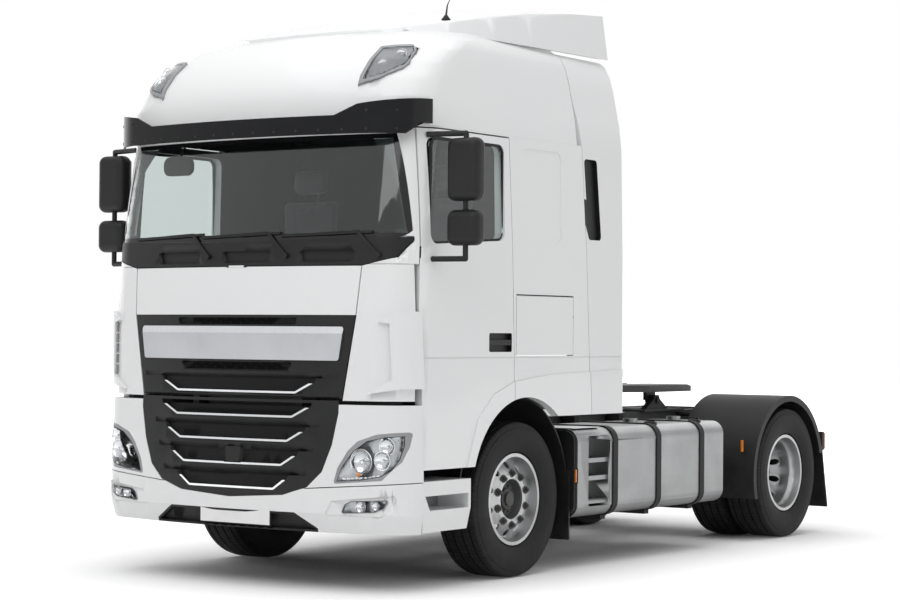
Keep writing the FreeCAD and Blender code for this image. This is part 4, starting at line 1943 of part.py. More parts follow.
def front_pillars():
    """Windscreen frame: corner pillars, header and the lower posts beside the front wall."""
    ring = skin(cab_form, 0, WALL + 2 * LAP, HOOD_TOP_Z + PANEL_GAP, STEEL_TOP_Z)
    ring = ring.common(box(-FAR, FAR, -FAR, DOOR_BACK_TOP_Y, -FAR, FAR))
    ring = ring.cut(prism(door_outline(-PANEL_GAP), "x", -FAR, FAR))
    opening = front_block(screen_outline(0), SCREEN_BACK_Y, SCREEN_CORNER)
    ring = ring.cut(opening)
    ring = ring.cut(front_block(cowl_outline(-PANEL_GAP), SCREEN_BACK_Y + SEAT_GAP))
    posts = skin(cab_form, WALL + SEAT_GAP, WALL + POST_DEPTH, FLOOR_Z, SCREEN_SIDE_Z + OVERRUN)
    posts = posts.common(box(-FAR, FAR, -FAR, DOOR_FRONT_TOP_Y, -FAR, FAR)).cut(opening)
    posts = posts.cut(prism(door_outline(-PANEL_GAP), "x", -FAR, FAR))
    posts = posts.cut(box(-FIREWALL_HALF - SEAT_GAP, FIREWALL_HALF + SEAT_GAP, -FAR, FAR, -FAR, FAR))
    arms = [hinge_arm(z) for z in HINGE_LEVELS]
    arms += [mirrored(arm) for arm in arms]
    frame = fused([ring, posts] + arms)
    return [frame.cut(hinge_bores(HINGE_PIN_RADIUS + PIN_GAP))]


def hinge_arm(z):
    """Goose-necked arm from a pillar out to a door's hinge line."""
    low = z - HINGE_ARM_HEIGHT / 2
    high = z + HINGE_ARM_HEIGHT / 2
    eye = Part.makeCylinder(HINGE_EYE_RADIUS, HINGE_ARM_HEIGHT, Vector(HINGE_X, HINGE_Y, low))
    inner = HINGE_X - HINGE_SWEEP - HINGE_EYE_RADIUS
    outer = HINGE_X - HINGE_SWEEP
    reach = box(inner, HINGE_X, HINGE_Y - HINGE_ARM_HALF, HINGE_Y + HINGE_ARM_HALF, low, high)
    leg = box(inner, outer, PILLAR_BACK_Y - HINGE_ARM_HEIGHT, HINGE_Y + HINGE_ARM_HALF, low, high)
    return fused([eye, reach, leg]).common(cab_form(HINGE_INSET))


def hinge_bores(radius):
    """Both doors' hinge pins, as two full-height rods."""
    bore = Part.makeCylinder(radius, HINGE_LEVELS[1] + OVERRUN, Vector(HINGE_X, HINGE_Y, 0))
    return bore.fuse(mirrored(bore))


def windscreen():
    glass = skin(cab_form, SCREEN_INSET, SCREEN_INSET + SCREEN_THICKNESS, HOOD_TOP_Z, STEEL_TOP_Z)
    outline = front_block(screen_outline(SEAT_GAP), SCREEN_BACK_Y - SEAT_GAP, SCREEN_CORNER)
    return [glass.common(outline)]


def cowl():
    """Black panel under the windscreen, with the outer lengths of the flap's hinge."""
    panel = skin(cab_form, 0, COWL_WALL, HOOD_TOP_Z - OVERRUN, STEEL_TOP_Z)
    panel = panel.common(front_block(cowl_outline(SEAT_GAP), SCREEN_BACK_Y - SEAT_GAP))
    panel = panel.cut(prism(door_outline(-PANEL_GAP), "x", -FAR, FAR))
    for share in COWL_VENT_SHARES:
        middle = share * COWL_END_X
        low_half = COWL_VENT_HALF - COWL_VENT_TAPER
        vent = [
            (middle - COWL_VENT_HALF, COWL_VENT_TOP_Z), (middle + COWL_VENT_HALF, COWL_VENT_TOP_Z),
            (middle + low_half, COWL_VENT_LOW_Z), (middle - low_half, COWL_VENT_LOW_Z),
        ]
        hole = sunk(cab_form, COWL_VENT_DEPTH, vent, "y", COWL_VENT_CORNER)
        panel = panel.cut(hole.common(ahead_of_back()))
    room = FLAP_BARREL_HALF + PIN_GAP
    parts = [panel.cut(barrel_of(FLAP_BARREL_RADIUS + PIN_GAP, -room, room))]
    for side in (-1, 1):
        ends = sorted((side * room, side * (room + FLAP_BARREL_END)))
        parts.append(barrel_of(FLAP_BARREL_RADIUS, *ends))
        parts.append(box(*ends, HOOD_TOP_NOSE - FLAP_HINGE_OUT, HOOD_TOP_NOSE + FLAP_BARREL_RADIUS,
                         HOOD_TOP_Z - PANEL_GAP / 2, HOOD_TOP_Z + PANEL_GAP))
    return [fused(parts).cut(flap_bore(FLAP_PIN_RADIUS + PIN_GAP / 2))]


def bar_between(start, end, width):
    """Outline of a straight bar between two (x, z) points."""
    run = Vector(end[0] - start[0], end[1] - start[1], 0)
    side = Vector(-run.y, run.x, 0).normalize() * (width / 2)
    return [
        (start[0] + side.x, start[1] + side.y), (end[0] + side.x, end[1] + side.y),
        (end[0] - side.x, end[1] - side.y), (start[0] - side.x, start[1] - side.y),
    ]


def wiper(pivot_x):
    """Pivot boss on the cowl, bent arm over the glass and the blade along its foot."""
    boss = Part.makeCylinder(WIPER_PIVOT_RADIUS, -FRONT_Y, Vector(pivot_x, FRONT_Y - OVERRUN, WIPER_PIVOT_Z),
                             Vector(0, 1, 0))
    boss = boss.common(cab_form(-WIPER_PIVOT_PROUD).cut(cab_form(-SEAT_GAP)))
    elbow = (pivot_x - WIPER_ELBOW_X, WIPER_ELBOW_Z)
    middle = (elbow[0] - WIPER_BLADE_LENGTH / 2 + WIPER_BLADE_BACK, WIPER_ELBOW_Z - WIPER_BLADE_FALL / 2)
    air = cab_form(-WIPER_ARM_PROUD).cut(cab_form(-SEAT_GAP))
    parts = [boss]
    for start, end in (((pivot_x, WIPER_PIVOT_Z), elbow), (elbow, middle)):
        parts.append(air.common(front_block(bar_between(start, end, WIPER_ARM_WIDTH), BUMPER_BACK_Y)))
    start = (elbow[0] + WIPER_BLADE_BACK, WIPER_ELBOW_Z)
    end = (start[0] - WIPER_BLADE_LENGTH, WIPER_ELBOW_Z - WIPER_BLADE_FALL)
    layer = cab_form(-WIPER_BLADE_PROUD).cut(cab_form(SCREEN_INSET - SEAT_GAP))
    blade = layer.common(front_block(bar_between(start, end, WIPER_BLADE_HEIGHT), BUMPER_BACK_Y))
    glass = front_block(screen_outline(SCREEN_THICKNESS), BUMPER_BACK_Y, SCREEN_CORNER)
    parts.append(blade.common(glass))
    return fused([Part.makeCompound([part]).Solids[0] for part in parts])


def wipers():
    return [wiper(share * COWL_END_X) for share in WIPER_SHARES]


def flap_piece(low, high):
    wall = skin(cab_form, 0, FLAP_WALL, low, high)
    return wall.common(front_block(flap_outline(FLAP_GAP - PANEL_GAP / 2, low, high), BUMPER_BACK_Y))


def barrel_of(radius, low_x, high_x):
    """Round bar on the flap's hinge line, along the seam over it."""
    y = HOOD_TOP_NOSE - FLAP_HINGE_OUT
    z = HOOD_TOP_Z - PANEL_GAP / 2
    return rod(radius, Vector(low_x, y, z), Vector(high_x, y, z))


def flap_bore(radius):
    reach = FLAP_BARREL_HALF + FLAP_BARREL_END
    return barrel_of(radius, -reach, reach)


def flap_notch(side):
    """Room in the flap's edge for the cowl's length of the hinge barrel."""
    ends = sorted((side * FLAP_BARREL_HALF, side * (FLAP_BARREL_HALF + FLAP_BARREL_END + 2 * PIN_GAP)))
    return barrel_of(FLAP_BARREL_RADIUS + PIN_GAP, *ends)


def service_flap():
    """White upper part of the front flap, with the middle length of its hinge."""
    panel = flap_piece(FLAP_MID_Z + SEAT_GAP, HOOD_TOP_Z - PANEL_GAP)
    barrel = barrel_of(FLAP_BARREL_RADIUS, -FLAP_BARREL_HALF, FLAP_BARREL_HALF)
    panel = panel.cut(flap_notch(1)).cut(flap_notch(-1))
    leaf = box(-FLAP_BARREL_HALF, FLAP_BARREL_HALF, HOOD_TOP_NOSE - FLAP_HINGE_OUT,
               HOOD_TOP_NOSE + FLAP_BARREL_RADIUS, HOOD_TOP_Z - 2 * PANEL_GAP, HOOD_TOP_Z - PANEL_GAP / 2)
    return [fused([panel, barrel, leaf, flap_bore(FLAP_PIN_RADIUS)])]


def band_outline(gap):
    right = [(BAND_HALF_TOP, BAND_TOP_Z), (BAND_HALF_LOW, BAND_LOW_Z)]
    return drawn_in(right + swapped(right)[::-1], gap)


def upper_grille():
    """Black lower part of the flap: two pockets beside the band and the uppermost louvre."""
    base = flap_piece(FLAP_LOW_Z, FLAP_MID_Z)
    slot = cab_form(-OVERRUN).cut(cab_form(FLAP_MESH_INSET))
    base = base.cut(slot.common(louvre_block(0, 0, LOUVRE_RISE)))
    for low, high in ((HIGH_POCKET_LOW_Z, HIGH_POCKET_TOP_Z), (LOW_POCKET_LOW_Z, LOW_POCKET_TOP_Z)):
        taper = POCKET_TAPER if high < BAND_LOW_Z else 0
        pocket = [(POCKET_HALF - taper, high), (POCKET_HALF - 2 * taper - POCKET_CORNER, low)]
        outline = pocket + swapped(pocket)[::-1]
        pocket = sunk(cab_form, POCKET_DEPTH, outline, "y", POCKET_CORNER)
        base = base.cut(pocket.common(ahead_of_back()))
    top = LOUVRE_TOP_Z + LOUVRE_RISE
    wedge = lean_cutter(CAB_NOSE_Y, CAB_HALF_WIDTH, BAND_HALF_LOW, LOW_POCKET_LOW_Z - BLADE_LIP, top, BAND_PROUD)
    low = LOUVRE_TOP_Z - LOUVRE_HEIGHT - BLADE_LIP
    tip = lean_cutter(CAB_NOSE_Y, CAB_HALF_WIDTH, BAND_HALF_LOW, low, FLAP_LOW_Z - LAP, BAND_LEAN)
    inner = front_block(flap_outline(GRILLE_LIP, FLAP_LOW_Z - OVERRUN, FLAP_MID_Z), BUMPER_BACK_Y)
    return [base.cut(wedge.common(inner)).cut(tip.common(inner))]


def flap_trims():
    """The blank bright band, with a crease near its top, and the strip in the louvre."""
    band = cab_form(-BAND_PROUD).cut(cab_form(-SEAT_GAP))
    band = band.common(front_block(band_outline(0), BUMPER_BACK_Y, BAND_CORNER))
    crest = lean_cutter(CAB_NOSE_Y - BAND_PROUD, CAB_HALF_WIDTH, BAND_HALF_TOP + OVERRUN,
                        BAND_CREASE_Z, BAND_TOP_Z + LAP, BAND_LEAN)
    return [band.cut(crest)] + louvre_trim(0, cab_form, FLAP_MESH_INSET).Solids


def corner_panels():
    """White panels between the flap and the doors, down to the split line, with their air vanes."""
    wall = skin(cab_form, 0, WALL, CORNER_PANEL_LOW_Z, SCREEN_SIDE_Z)
    doors = prism(door_outline(-PANEL_GAP), "x", -FAR, FAR)
    front = box(-FAR, FAR, -FAR, DOOR_FRONT_TOP_Y - PANEL_GAP, -FAR, FAR)
    wall = wall.common(front).cut(doors)
    flap = flap_outline(-PANEL_GAP / 2, CORNER_PANEL_LOW_Z - LAP, HOOD_TOP_Z + LAP)
    wall = wall.cut(front_block(flap, BUMPER_BACK_Y))
    wall = wall.cut(front_block(cowl_outline(-PANEL_GAP), BUMPER_BACK_Y))
    wall = wall.cut(box(-FLAP_TOP_X, FLAP_TOP_X, -FAR, FAR, HOOD_TOP_Z, FAR))
    above = skin(cab_form, -LAP, WALL + LAP, HOOD_TOP_Z + PANEL_GAP / 2, FAR)
    wall = wall.cut(above).cut(door_swing(DOOR_LIP_RADIUS))
    vane = air_vane().common(front).cut(doors)
    return [fused([panel, vane if panel.CenterOfMass.x > 0 else mirrored(vane)]) for panel in wall.Solids]


def air_vane():
    """Deflector round the left front corner: a shell that stands off the panel on ribs."""
    edge = CAB_HALF_WIDTH + VANE_PROUD + OVERRUN
    outline = [
        (VANE_TAIL_X, VANE_TAIL_Z), (VANE_LIP_X, VANE_LIP_Z), (VANE_LIP_LOW_X, VANE_LIP_LOW_Z),
        (VANE_TAIL_LOW_X, VANE_TAIL_LOW_Z), (VANE_FOOT_X, VANE_BOTTOM_Z), (edge, VANE_BOTTOM_Z),
        (edge, VANE_TOP_Z), (VANE_FOOT_X, VANE_TOP_Z),
    ]
    body = raised(cab_form, VANE_PROUD, outline, "y").common(box(0, FAR, -FAR, 0, -FAR, FAR))
    duct = cab_form(VANE_WALL - VANE_PROUD).cut(cab_form(0))
    mouth = box(VANE_LIP_X - OVERRUN, FAR, -FAR, 0, VANE_LIP_LOW_Z, VANE_LIP_Z)
    duct = duct.common(mouth)
    height = VANE_LIP_Z - VANE_LIP_LOW_Z
    for share in VANE_RIB_SHARES:
        z = VANE_LIP_LOW_Z + share * height
        duct = duct.cut(box(0, FAR, -FAR, FAR, z - VANE_RIM / 2, z + VANE_RIM / 2))
    return body.cut(duct)


def cab_roof():
    """High roof moulding over the steel cab, with its own back wall."""
    shell = roof_form(0).cut(roof_form(ROOF_WALL))
    shell = shell.common(prism(seam_outline(-PANEL_GAP / 2, -1), "x", -FAR, FAR))
    shell = shell.common(box(-FAR, FAR, -FAR, ROOF_BACK_Y, STEEL_TOP_Z + SEAT_GAP, FAR))
    back = roof_form(ROOF_WALL - LAP).common(box(-FAR, FAR, BACK_WALL_Y, BACK_WALL_Y + ROOF_WALL,
                                               STEEL_TOP_Z + SEAT_GAP, FAR))
    shell = fused([shell, back])
    for side in (-1, 1):
        shell = shell.cut(roof_lamp_block(side, -LAP, 0))
    return [shell]


def roof_lamp_block(side, outer, gap):
    """Lamp sunk into the roof moulding's lower corner, from an outer inset to its depth."""
    outline = in_box(ROOF_LAMP_SHARES, ROOF_LAMP_INNER_X, ROOF_LAMP_OUTER_X, ROOF_LAMP_LOW_Z, ROOF_LAMP_TOP_Z)
    layer = roof_form(outer).cut(roof_form(ROOF_LAMP_DEPTH - gap))
    lamp = layer.common(lamp_block(outline, side, -OVERRUN, gap))
    return max(lamp.Solids, key=lambda s: s.Volume)


def roof_lamps():
    return [roof_lamp_block(side, 0, SEAT_GAP) for side in (1, -1)]


def spoiler_section(y, half, low, side_z, crown_z, inset):
    """One arched section of the spoiler."""
    lean = min(SPOILER_LEAN, (half - inset) / 4)
    half = half - inset
    side_z = side_z - inset
    crown_z = crown_z - inset

    def at(x, z):
        return Vector(x, y, z)

    edges = [
        Part.LineSegment(at(-half, low), at(half, low)).toShape(),
        Part.LineSegment(at(half, low), at(half - lean, side_z)).toShape(),
        Part.Arc(at(half - lean, side_z), at(0, crown_z), at(-half + lean, side_z)).toShape(),
        Part.LineSegment(at(-half + lean, side_z), at(-half, low)).toShape(),
    ]
    return Part.Wire(edges)


def spoiler_loft(shares, inset):
    """Arched sections of the spoiler, joined from the front edge to the rear."""
    sections = []
    for run, width, side, crown in shares:
        sections.append(spoiler_section(
            SPOILER_FRONT_Y + run * (FAIRING_BACK_Y - SPOILER_FRONT_Y),
            width * SPOILER_HALF,
            SPOILER_FOOT_Z,
            SPOILER_SIDE_Z - (1 - side) * SPOILER_SIDE_RISE,
            SPOILER_CROWN_Z - (1 - crown) * SPOILER_CROWN_RISE,
            inset,
        ))
    return Part.makeLoft(sections, True, True)


def roof_spoiler():
    """Hollow wedge on the roof, open below and behind."""
    outer = spoiler_loft(SPOILER_SHARES, 0)
    inner = spoiler_loft(SPOILER_SHARES[1:], SPOILER_WALL)
    tail = inner.copy()
    tail.translate(Vector(0, SPOILER_WALL, 0))
    shell = outer.cut(inner).cut(tail)
    shell = shell.common(box(-FAR, FAR, -FAR, FAR, SPOILER_LOW_Z, FAR))
    shell = shell.cut(roof_form(-2 * SEAT_GAP))
    return [max(shell.Solids, key=lambda s: s.Volume)]


def side_fairings():
    """Panels that carry the cab sides back past the back wall, each with a sunk air vent."""
    behind = prism(seam_outline(PANEL_GAP / 2, 1), "x", -FAR, FAR)
    low = skin(cab_form, 0, FAIRING_WALL, QUARTER_LOW_Z, STEEL_TOP_Z)
    high = roof_form(0).cut(roof_form(FAIRING_WALL))
    high = high.common(box(-FAR, FAR, -FAR, FAR, STEEL_TOP_Z, FAIRING_TOP_Z))
    front = [(SEAM_ROOF_Y + VENT_OFFSET, VENT_TOP_Z), (SEAM_BELT_Y + VENT_OFFSET, VENT_LOW_Z)]
    vent = front + [(y + VENT_LENGTH, z) for y, z in front[::-1]]
    low = low.cut(sunk(cab_form, VENT_DEPTH, vent, "x", VENT_CORNER)).cut(sill_groove())
    lugs = [fairing_lug(share) for share in FAIRING_LUG_SHARES]
    both = fused([low.common(behind), high.common(behind), arch_trim(behind)] + lugs)
    return both.Solids


def fairing_lug(share):
    """Lugs that carry both fairings on the inside of the side walls' rear edges."""
    z = QUARTER_LOW_Z + share * (STEEL_TOP_Z - QUARTER_LOW_Z)
    block = box(-FAR, FAR, SEAM_BELT_Y - FAIRING_WALL, SEAM_LOW_Y + 2 * FAIRING_WALL,
                z - FAIRING_WALL / 2, z + FAIRING_WALL / 2)
    lap = skin(cab_form, WALL + SEAT_GAP, WALL + FAIRING_WALL / 2, QUARTER_LOW_Z, STEEL_TOP_Z)
    root = skin(cab_form, FAIRING_WALL - LAP, WALL + FAIRING_WALL / 2, QUARTER_LOW_Z, STEEL_TOP_Z)
    root = root.common(box(-FAR, FAR, SEAM_LOW_Y + PANEL_GAP, FAR, -FAR, FAR))
    return lap.common(block).fuse(root.common(block))


def sun_visor():
    """Smoked visor ahead of the roof, wrapped round to the cab sides."""
    sections = [
        (VISOR_LOW_Z - OVERRUN, VISOR_HALF, VISOR_NOSE_Y, VISOR_CORNER, NOSE_SAG),
        (VISOR_END_Z + OVERRUN, VISOR_HALF, VISOR_NOSE_Y, VISOR_CORNER, NOSE_SAG),
    ]
    outer = loft_of(sections, FAR, 0, True)
    shield = outer.cut(loft_of(sections, FAR + LAP, VISOR_THICKNESS, True))
    right = [
        (VISOR_TAPER_X, VISOR_LOW_Z), (VISOR_TAPER_OUT_X, VISOR_LOW_Z + VISOR_END_RISE),
        (VISOR_HALF + OVERRUN, VISOR_LOW_Z + VISOR_END_RISE), (VISOR_HALF + OVERRUN, VISOR_END_Z),
        (VISOR_STEP_OUT_X, VISOR_STEP_Z), (VISOR_STEP_X, VISOR_MID_Z),
    ]
    outline = [(0, VISOR_LOW_Z)] + right + [(0, VISOR_MID_Z)] + swapped(right)[::-1]
    shield = shield.common(prism(outline, "y", -FAR, VISOR_BACK_Y))
    brackets = []
    for share in VISOR_BRACKET_SHARES:
        x = share * VISOR_HALF
        low = VISOR_MID_Z - VISOR_BRACKET_DROP
        brackets.append(box(x - VISOR_BRACKET_WIDTH / 2, x + VISOR_BRACKET_WIDTH / 2, VISOR_NOSE_Y,
                            ROOF_NOSE_Y + 2 * NOSE_SAG, low, low + VISOR_BRACKET_HEIGHT))
    whole = fused([shield] + brackets).common(outer)
    whole = whole.cut(roof_form(-SEAT_GAP)).cut(cab_form(-SEAT_GAP))
    return [max(whole.Solids, key=lambda s: s.Volume)]


# Doors

def door(side):
    """Door with its lower cover over the steps and the front half of the wheel arch."""
    area = prism(door_outline(PANEL_GAP / 2), "x", 0, FAR)
    panel = skin(cab_form, 0, DOOR_DEPTH, CAB_LOW_Z, STEEL_TOP_Z).common(area)
    panel = fused([panel, arch_trim(area)]).cut(arch_cut(0, FAR))
    panel = panel.cut(prism(window_outline(0), "x", 0, FAR, WINDOW_CORNER))
    panel = max(panel.Solids, key=lambda s: s.Volume)
    panel = panel.cut(cab_form(WALL).common(box(0, FAR, -FAR, FAR, -FAR, SILL_Z))).cut(sill_groove())
    pins = []
    for z in HINGE_LEVELS:
        low = z - HINGE_POCKET_HEIGHT / 2
        high = z + HINGE_POCKET_HEIGHT / 2
        panel = panel.cut(box(0, HINGE_POCKET_X, -FAR, HINGE_Y + HINGE_POCKET_BACK, low, high))
        pins.append(Part.makeCylinder(HINGE_PIN_RADIUS, HINGE_POCKET_HEIGHT + 2 * LAP,
                                      Vector(HINGE_X, HINGE_Y, low - LAP)))
    pocket = [
        (HANDLE_FRONT_Y, HANDLE_LOW_Z), (HANDLE_BACK_Y, HANDLE_LOW_Z),
        (HANDLE_BACK_Y, HANDLE_TOP_Z), (HANDLE_FRONT_Y, HANDLE_TOP_Z),
    ]
    panel = panel.cut(sunk(cab_form, HANDLE_DEPTH, pocket, "x", HANDLE_CORNER).common(area))
    panel = fused([panel, handle_bar()] + pins)
    return panel if side > 0 else mirrored(panel)


def handle_bar():
    """Grip across the left door's handle pocket."""
    middle = (HANDLE_LOW_Z + HANDLE_TOP_Z) / 2
    bar = cab_form(HANDLE_BAR_INSET).cut(cab_form(HANDLE_BAR_INSET + HANDLE_BAR_DEPTH))
    return bar.common(box(0, FAR, HANDLE_FRONT_Y - LAP, HANDLE_BACK_Y + LAP,
                          middle - HANDLE_BAR_HALF, middle + HANDLE_BAR_HALF))


def door_glass(side):
    pane = skin(cab_form, GLASS_INSET, GLASS_INSET + GLASS_THICKNESS, CAB_LOW_Z, STEEL_TOP_Z)
    pane = pane.common(prism(window_outline(SEAT_GAP), "x", 0, FAR, WINDOW_CORNER))
    return pane if side > 0 else mirrored(pane)


def mirror_housing(low, high):
    half = MIRROR_WIDTH / 2
    body = box(MIRROR_X - half, MIRROR_X + half, MIRROR_Y - MIRROR_DEPTH / 2,
               MIRROR_Y + MIRROR_DEPTH / 2, low, high)
    return body.makeFillet(MIRROR_ROUND, body.Edges)


def mirror(side):
    """Main and wide-angle housings on two arms from the door frame."""
    upper = mirror_housing(UPPER_MIRROR_LOW_Z, UPPER_MIRROR_TOP_Z)
    lower = mirror_housing(LOWER_MIRROR_LOW_Z, LOWER_MIRROR_TOP_Z)
    post_top = Vector(MIRROR_X, MIRROR_Y, MIRROR_ARM_TOP_Z)
    post_low = Vector(MIRROR_X, MIRROR_Y, MIRROR_ARM_LOW_Z)
    post = rod(MIRROR_ARM_RADIUS, post_low, post_top)
    arms = []
    for z in (MIRROR_ARM_TOP_Z, MIRROR_ARM_LOW_Z):
        arms.append(rod(MIRROR_ARM_RADIUS, Vector(CAB_HALF_WIDTH - DOOR_DEPTH / 2, MIRROR_ARM_Y, z),
                        Vector(MIRROR_X, MIRROR_Y, z)))
        arms.append(Part.makeSphere(MIRROR_ARM_RADIUS, Vector(MIRROR_X, MIRROR_Y, z)))
    whole = fused([upper, lower, post] + arms)
    whole = whole.cut(cab_form(-SEAT_GAP))
    whole = max(whole.Solids, key=lambda s: s.Volume)
    return whole if side > 0 else mirrored(whole)


# Storage lockers

def locker_lid(side):
    """Lid with a round top edge and a hinge pin at each end of it."""
    wall = skin(cab_form, 0, LOCKER_WALL, CAB_LOW_Z, STEEL_TOP_Z)
    lid = wall.common(locker_block(PANEL_GAP))
    lid = lid.common(box(0, FAR, -FAR, FAR, -FAR, LID_HINGE_Z))
    edge = rod(LOCKER_WALL / 2, Vector(LID_HINGE_X, LOCKER_FRONT_Y + PANEL_GAP, LID_HINGE_Z),
               Vector(LID_HINGE_X, LOCKER_BACK_Y - PANEL_GAP, LID_HINGE_Z))
    pins = lid_pins(LID_PIN_RADIUS).common(box(0, FAR, -FAR, FAR, -FAR, FAR))
    lid = fused([lid, edge, pins])
    return lid if side > 0 else mirrored(lid)


# Cab furniture

def dashboard():
    """Dashboard with its binnacle, the column and the steering wheel."""
    front = FIREWALL_Y + FIREWALL_THICKNESS + SEAT_GAP
    points = [
        (front, DASH_LOW_Z), (front, DASH_TOP_Z), (DASH_BACK_Y - DASH_LIP, DASH_TOP_Z),
        (DASH_BACK_Y, DASH_TOP_Z - DASH_FALL), (DASH_BACK_Y - DASH_TUCK, DASH_LOW_Z),
    ]
    body = prism(points, "x", -DASH_HALF, DASH_HALF)
    hood = [
        (front + BINNACLE_RUN, DASH_TOP_Z - LAP),
        (front + BINNACLE_RUN + BINNACLE_SLOPE, DASH_BINNACLE_Z),
        (DASH_BACK_Y - BINNACLE_LIP, DASH_BINNACLE_Z),
        (DASH_BACK_Y - BINNACLE_LIP / 2, DASH_TOP_Z - BINNACLE_FALL),
    ]
    binnacle = prism(hood, "x", DASH_BINNACLE_X - DASH_BINNACLE_HALF,
                     DASH_BINNACLE_X + DASH_BINNACLE_HALF)
    centre = Vector(STEERING_X, STEERING_Y, STEERING_Z)
    axis = Vector(0, math.sin(math.radians(STEERING_TILT)), math.cos(math.radians(STEERING_TILT)))
    wheel = Part.makeTorus(STEERING_RADIUS, STEERING_GRIP, centre, axis)
    boss = Part.makeCylinder(STEERING_BOSS, STEERING_BOSS_DEPTH, centre - axis * STEERING_DISH, axis)
    column = rod(COLUMN_RADIUS, centre, centre - axis * STEERING_COLUMN)
    spoke_end = Vector(STEERING_RADIUS, 0, 0)
    spoke = rod(STEERING_SPOKE, centre - spoke_end, centre + spoke_end)
    whole = fused([body, binnacle, wheel, boss, column, spoke])
    return [whole.common(cab_form(DASH_INSET))]


def seats():
    """Two suspension seats with head rests, and the bunk behind them."""
    pieces = []
    for side in (-1, 1):
        x = side * SEAT_X
        base = box(x - SEAT_BASE_HALF, x + SEAT_BASE_HALF, SEAT_FRONT_Y + SEAT_BASE_SETBACK,
                   SEAT_BACK_Y - SEAT_BASE_BACK, FLOOR_Z + SEAT_GAP, SEAT_PAD_Z - SEAT_PAD)
        pad = box(x - SEAT_HALF, x + SEAT_HALF, SEAT_FRONT_Y, SEAT_BACK_Y,
                  SEAT_PAD_Z - SEAT_PAD, SEAT_PAD_Z)
        rest = box(x - SEAT_HALF, x + SEAT_HALF, SEAT_BACK_Y - SEAT_BACKREST, SEAT_BACK_Y,
                   SEAT_PAD_Z - LAP, SEAT_BACKREST_TOP_Z)
        pieces.append(fused([base, pad, rest]))
    bunk = box(-BUNK_HALF, BUNK_HALF, BUNK_FRONT_Y, BUNK_BACK_Y, BUNK_TOP_Z - BUNK_PAD, BUNK_TOP_Z)
    chest = box(-BUNK_HALF, BUNK_HALF, BUNK_FRONT_Y + BUNK_LIP, BUNK_BACK_Y, FLOOR_Z + SEAT_GAP,
                BUNK_TOP_Z - BUNK_PAD)
    for side in (-1, 1):
        hollow = box(BUNK_HALF - LOCKER_DEPTH, BUNK_HALF + LAP, BUNK_FRONT_Y - LAP,
                     BUNK_BACK_Y - LOCKER_BOX_WALL, LOCKER_LOW_Z + LOCKER_FLOOR,
                     LOCKER_TOP_Z - LOCKER_BOX_WALL)
        chest = chest.cut(hollow if side > 0 else mirrored(hollow))
    berth = fused([bunk, chest]).common(cab_form(WALL + SEAT_GAP))
    pieces.append(max(berth.Solids, key=lambda s: s.Volume))
    return pieces


PLAIN = {
    "ladder_frame": ladder_frame,
    "cab_mounts": cab_mounts,
    "engine_block": engine_block,
    "radiator": radiator,
    "front_bumper": front_bumper,
    "bumper_intake": bumper_intake,
    "lamp_panels": lamp_panels,
    "front_lamps": front_lamps,
    "lower_grille": lower_grille,
    "grille_trims": grille_trims,
    "entry_steps": entry_steps,
    "front_axle": front_axle,
    "rear_axle": rear_axle,
    "suspension": suspension,
    "fuel_tanks": fuel_tanks,
    "tank_straps": tank_straps,
    "tank_ends": tank_ends,
    "wheel_housings": wheel_housings,
    "rear_fenders": rear_fenders,
    "tail_lamps": tail_lamps,
    "fifth_wheel_base": fifth_wheel_base,
    "deck_plate": deck_plate,
    "fifth_wheel": fifth_wheel,
    "tie_rod": tie_rod,
    "cab_floor": cab_floor,
    "quarter_walls": quarter_walls,
    "front_pillars": front_pillars,
    "windscreen": windscreen,
    "cowl": cowl,
    "wipers": wipers,
    "service_flap": service_flap,
    "upper_grille": upper_grille,
    "flap_trims": flap_trims,
    "corner_panels": corner_panels,
    "cab_roof": cab_roof,
    "roof_lamps": roof_lamps,
    "roof_spoiler": roof_spoiler,
    "side_fairings": side_fairings,
    "sun_visor": sun_visor,
    "dashboard": dashboard,
    "seats": seats,
}
SIDED = {
    "front_wheel": front_wheel,
    "front_tyre": front_tyre,
    "rear_wheel": rear_wheel,
    "rear_tyres": rear_tyres,
    "knuckle": knuckle,
    "door": door,
    "door_glass": door_glass,
    "mirror": mirror,
    "locker_lid": locker_lid,
}


def build():
    """Every piece of the truck by name, those with a left and a right one from one function."""
    nodes = {name: make() for name, make in PLAIN.items()}
    for side, word in ((1, "left"), (-1, "right")):
        for name, make in SIDED.items():
            nodes[name + "_" + word] = make(side)
    return nodes


def write(nodes):
    """One STEP file per piece, moved so that the origin is under the truck's middle."""
    os.makedirs("parts", exist_ok=True)
    shift = Vector(0, -(FRONT_Y + TAIL_Y) / 2, 0)
    for name, made in nodes.items():
        solids = made if isinstance(made, list) else [made]
        shape = solids[0] if len(solids) == 1 else Part.makeCompound(solids)
        moved = shape.copy()
        moved.translate(shift)
        moved.exportStep("parts/" + name + ".step")


write(build())
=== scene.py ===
import json
import math

import bmesh
import bpy
from mathutils import Matrix, Vector
from mathutils.bvhtree import BVHTree


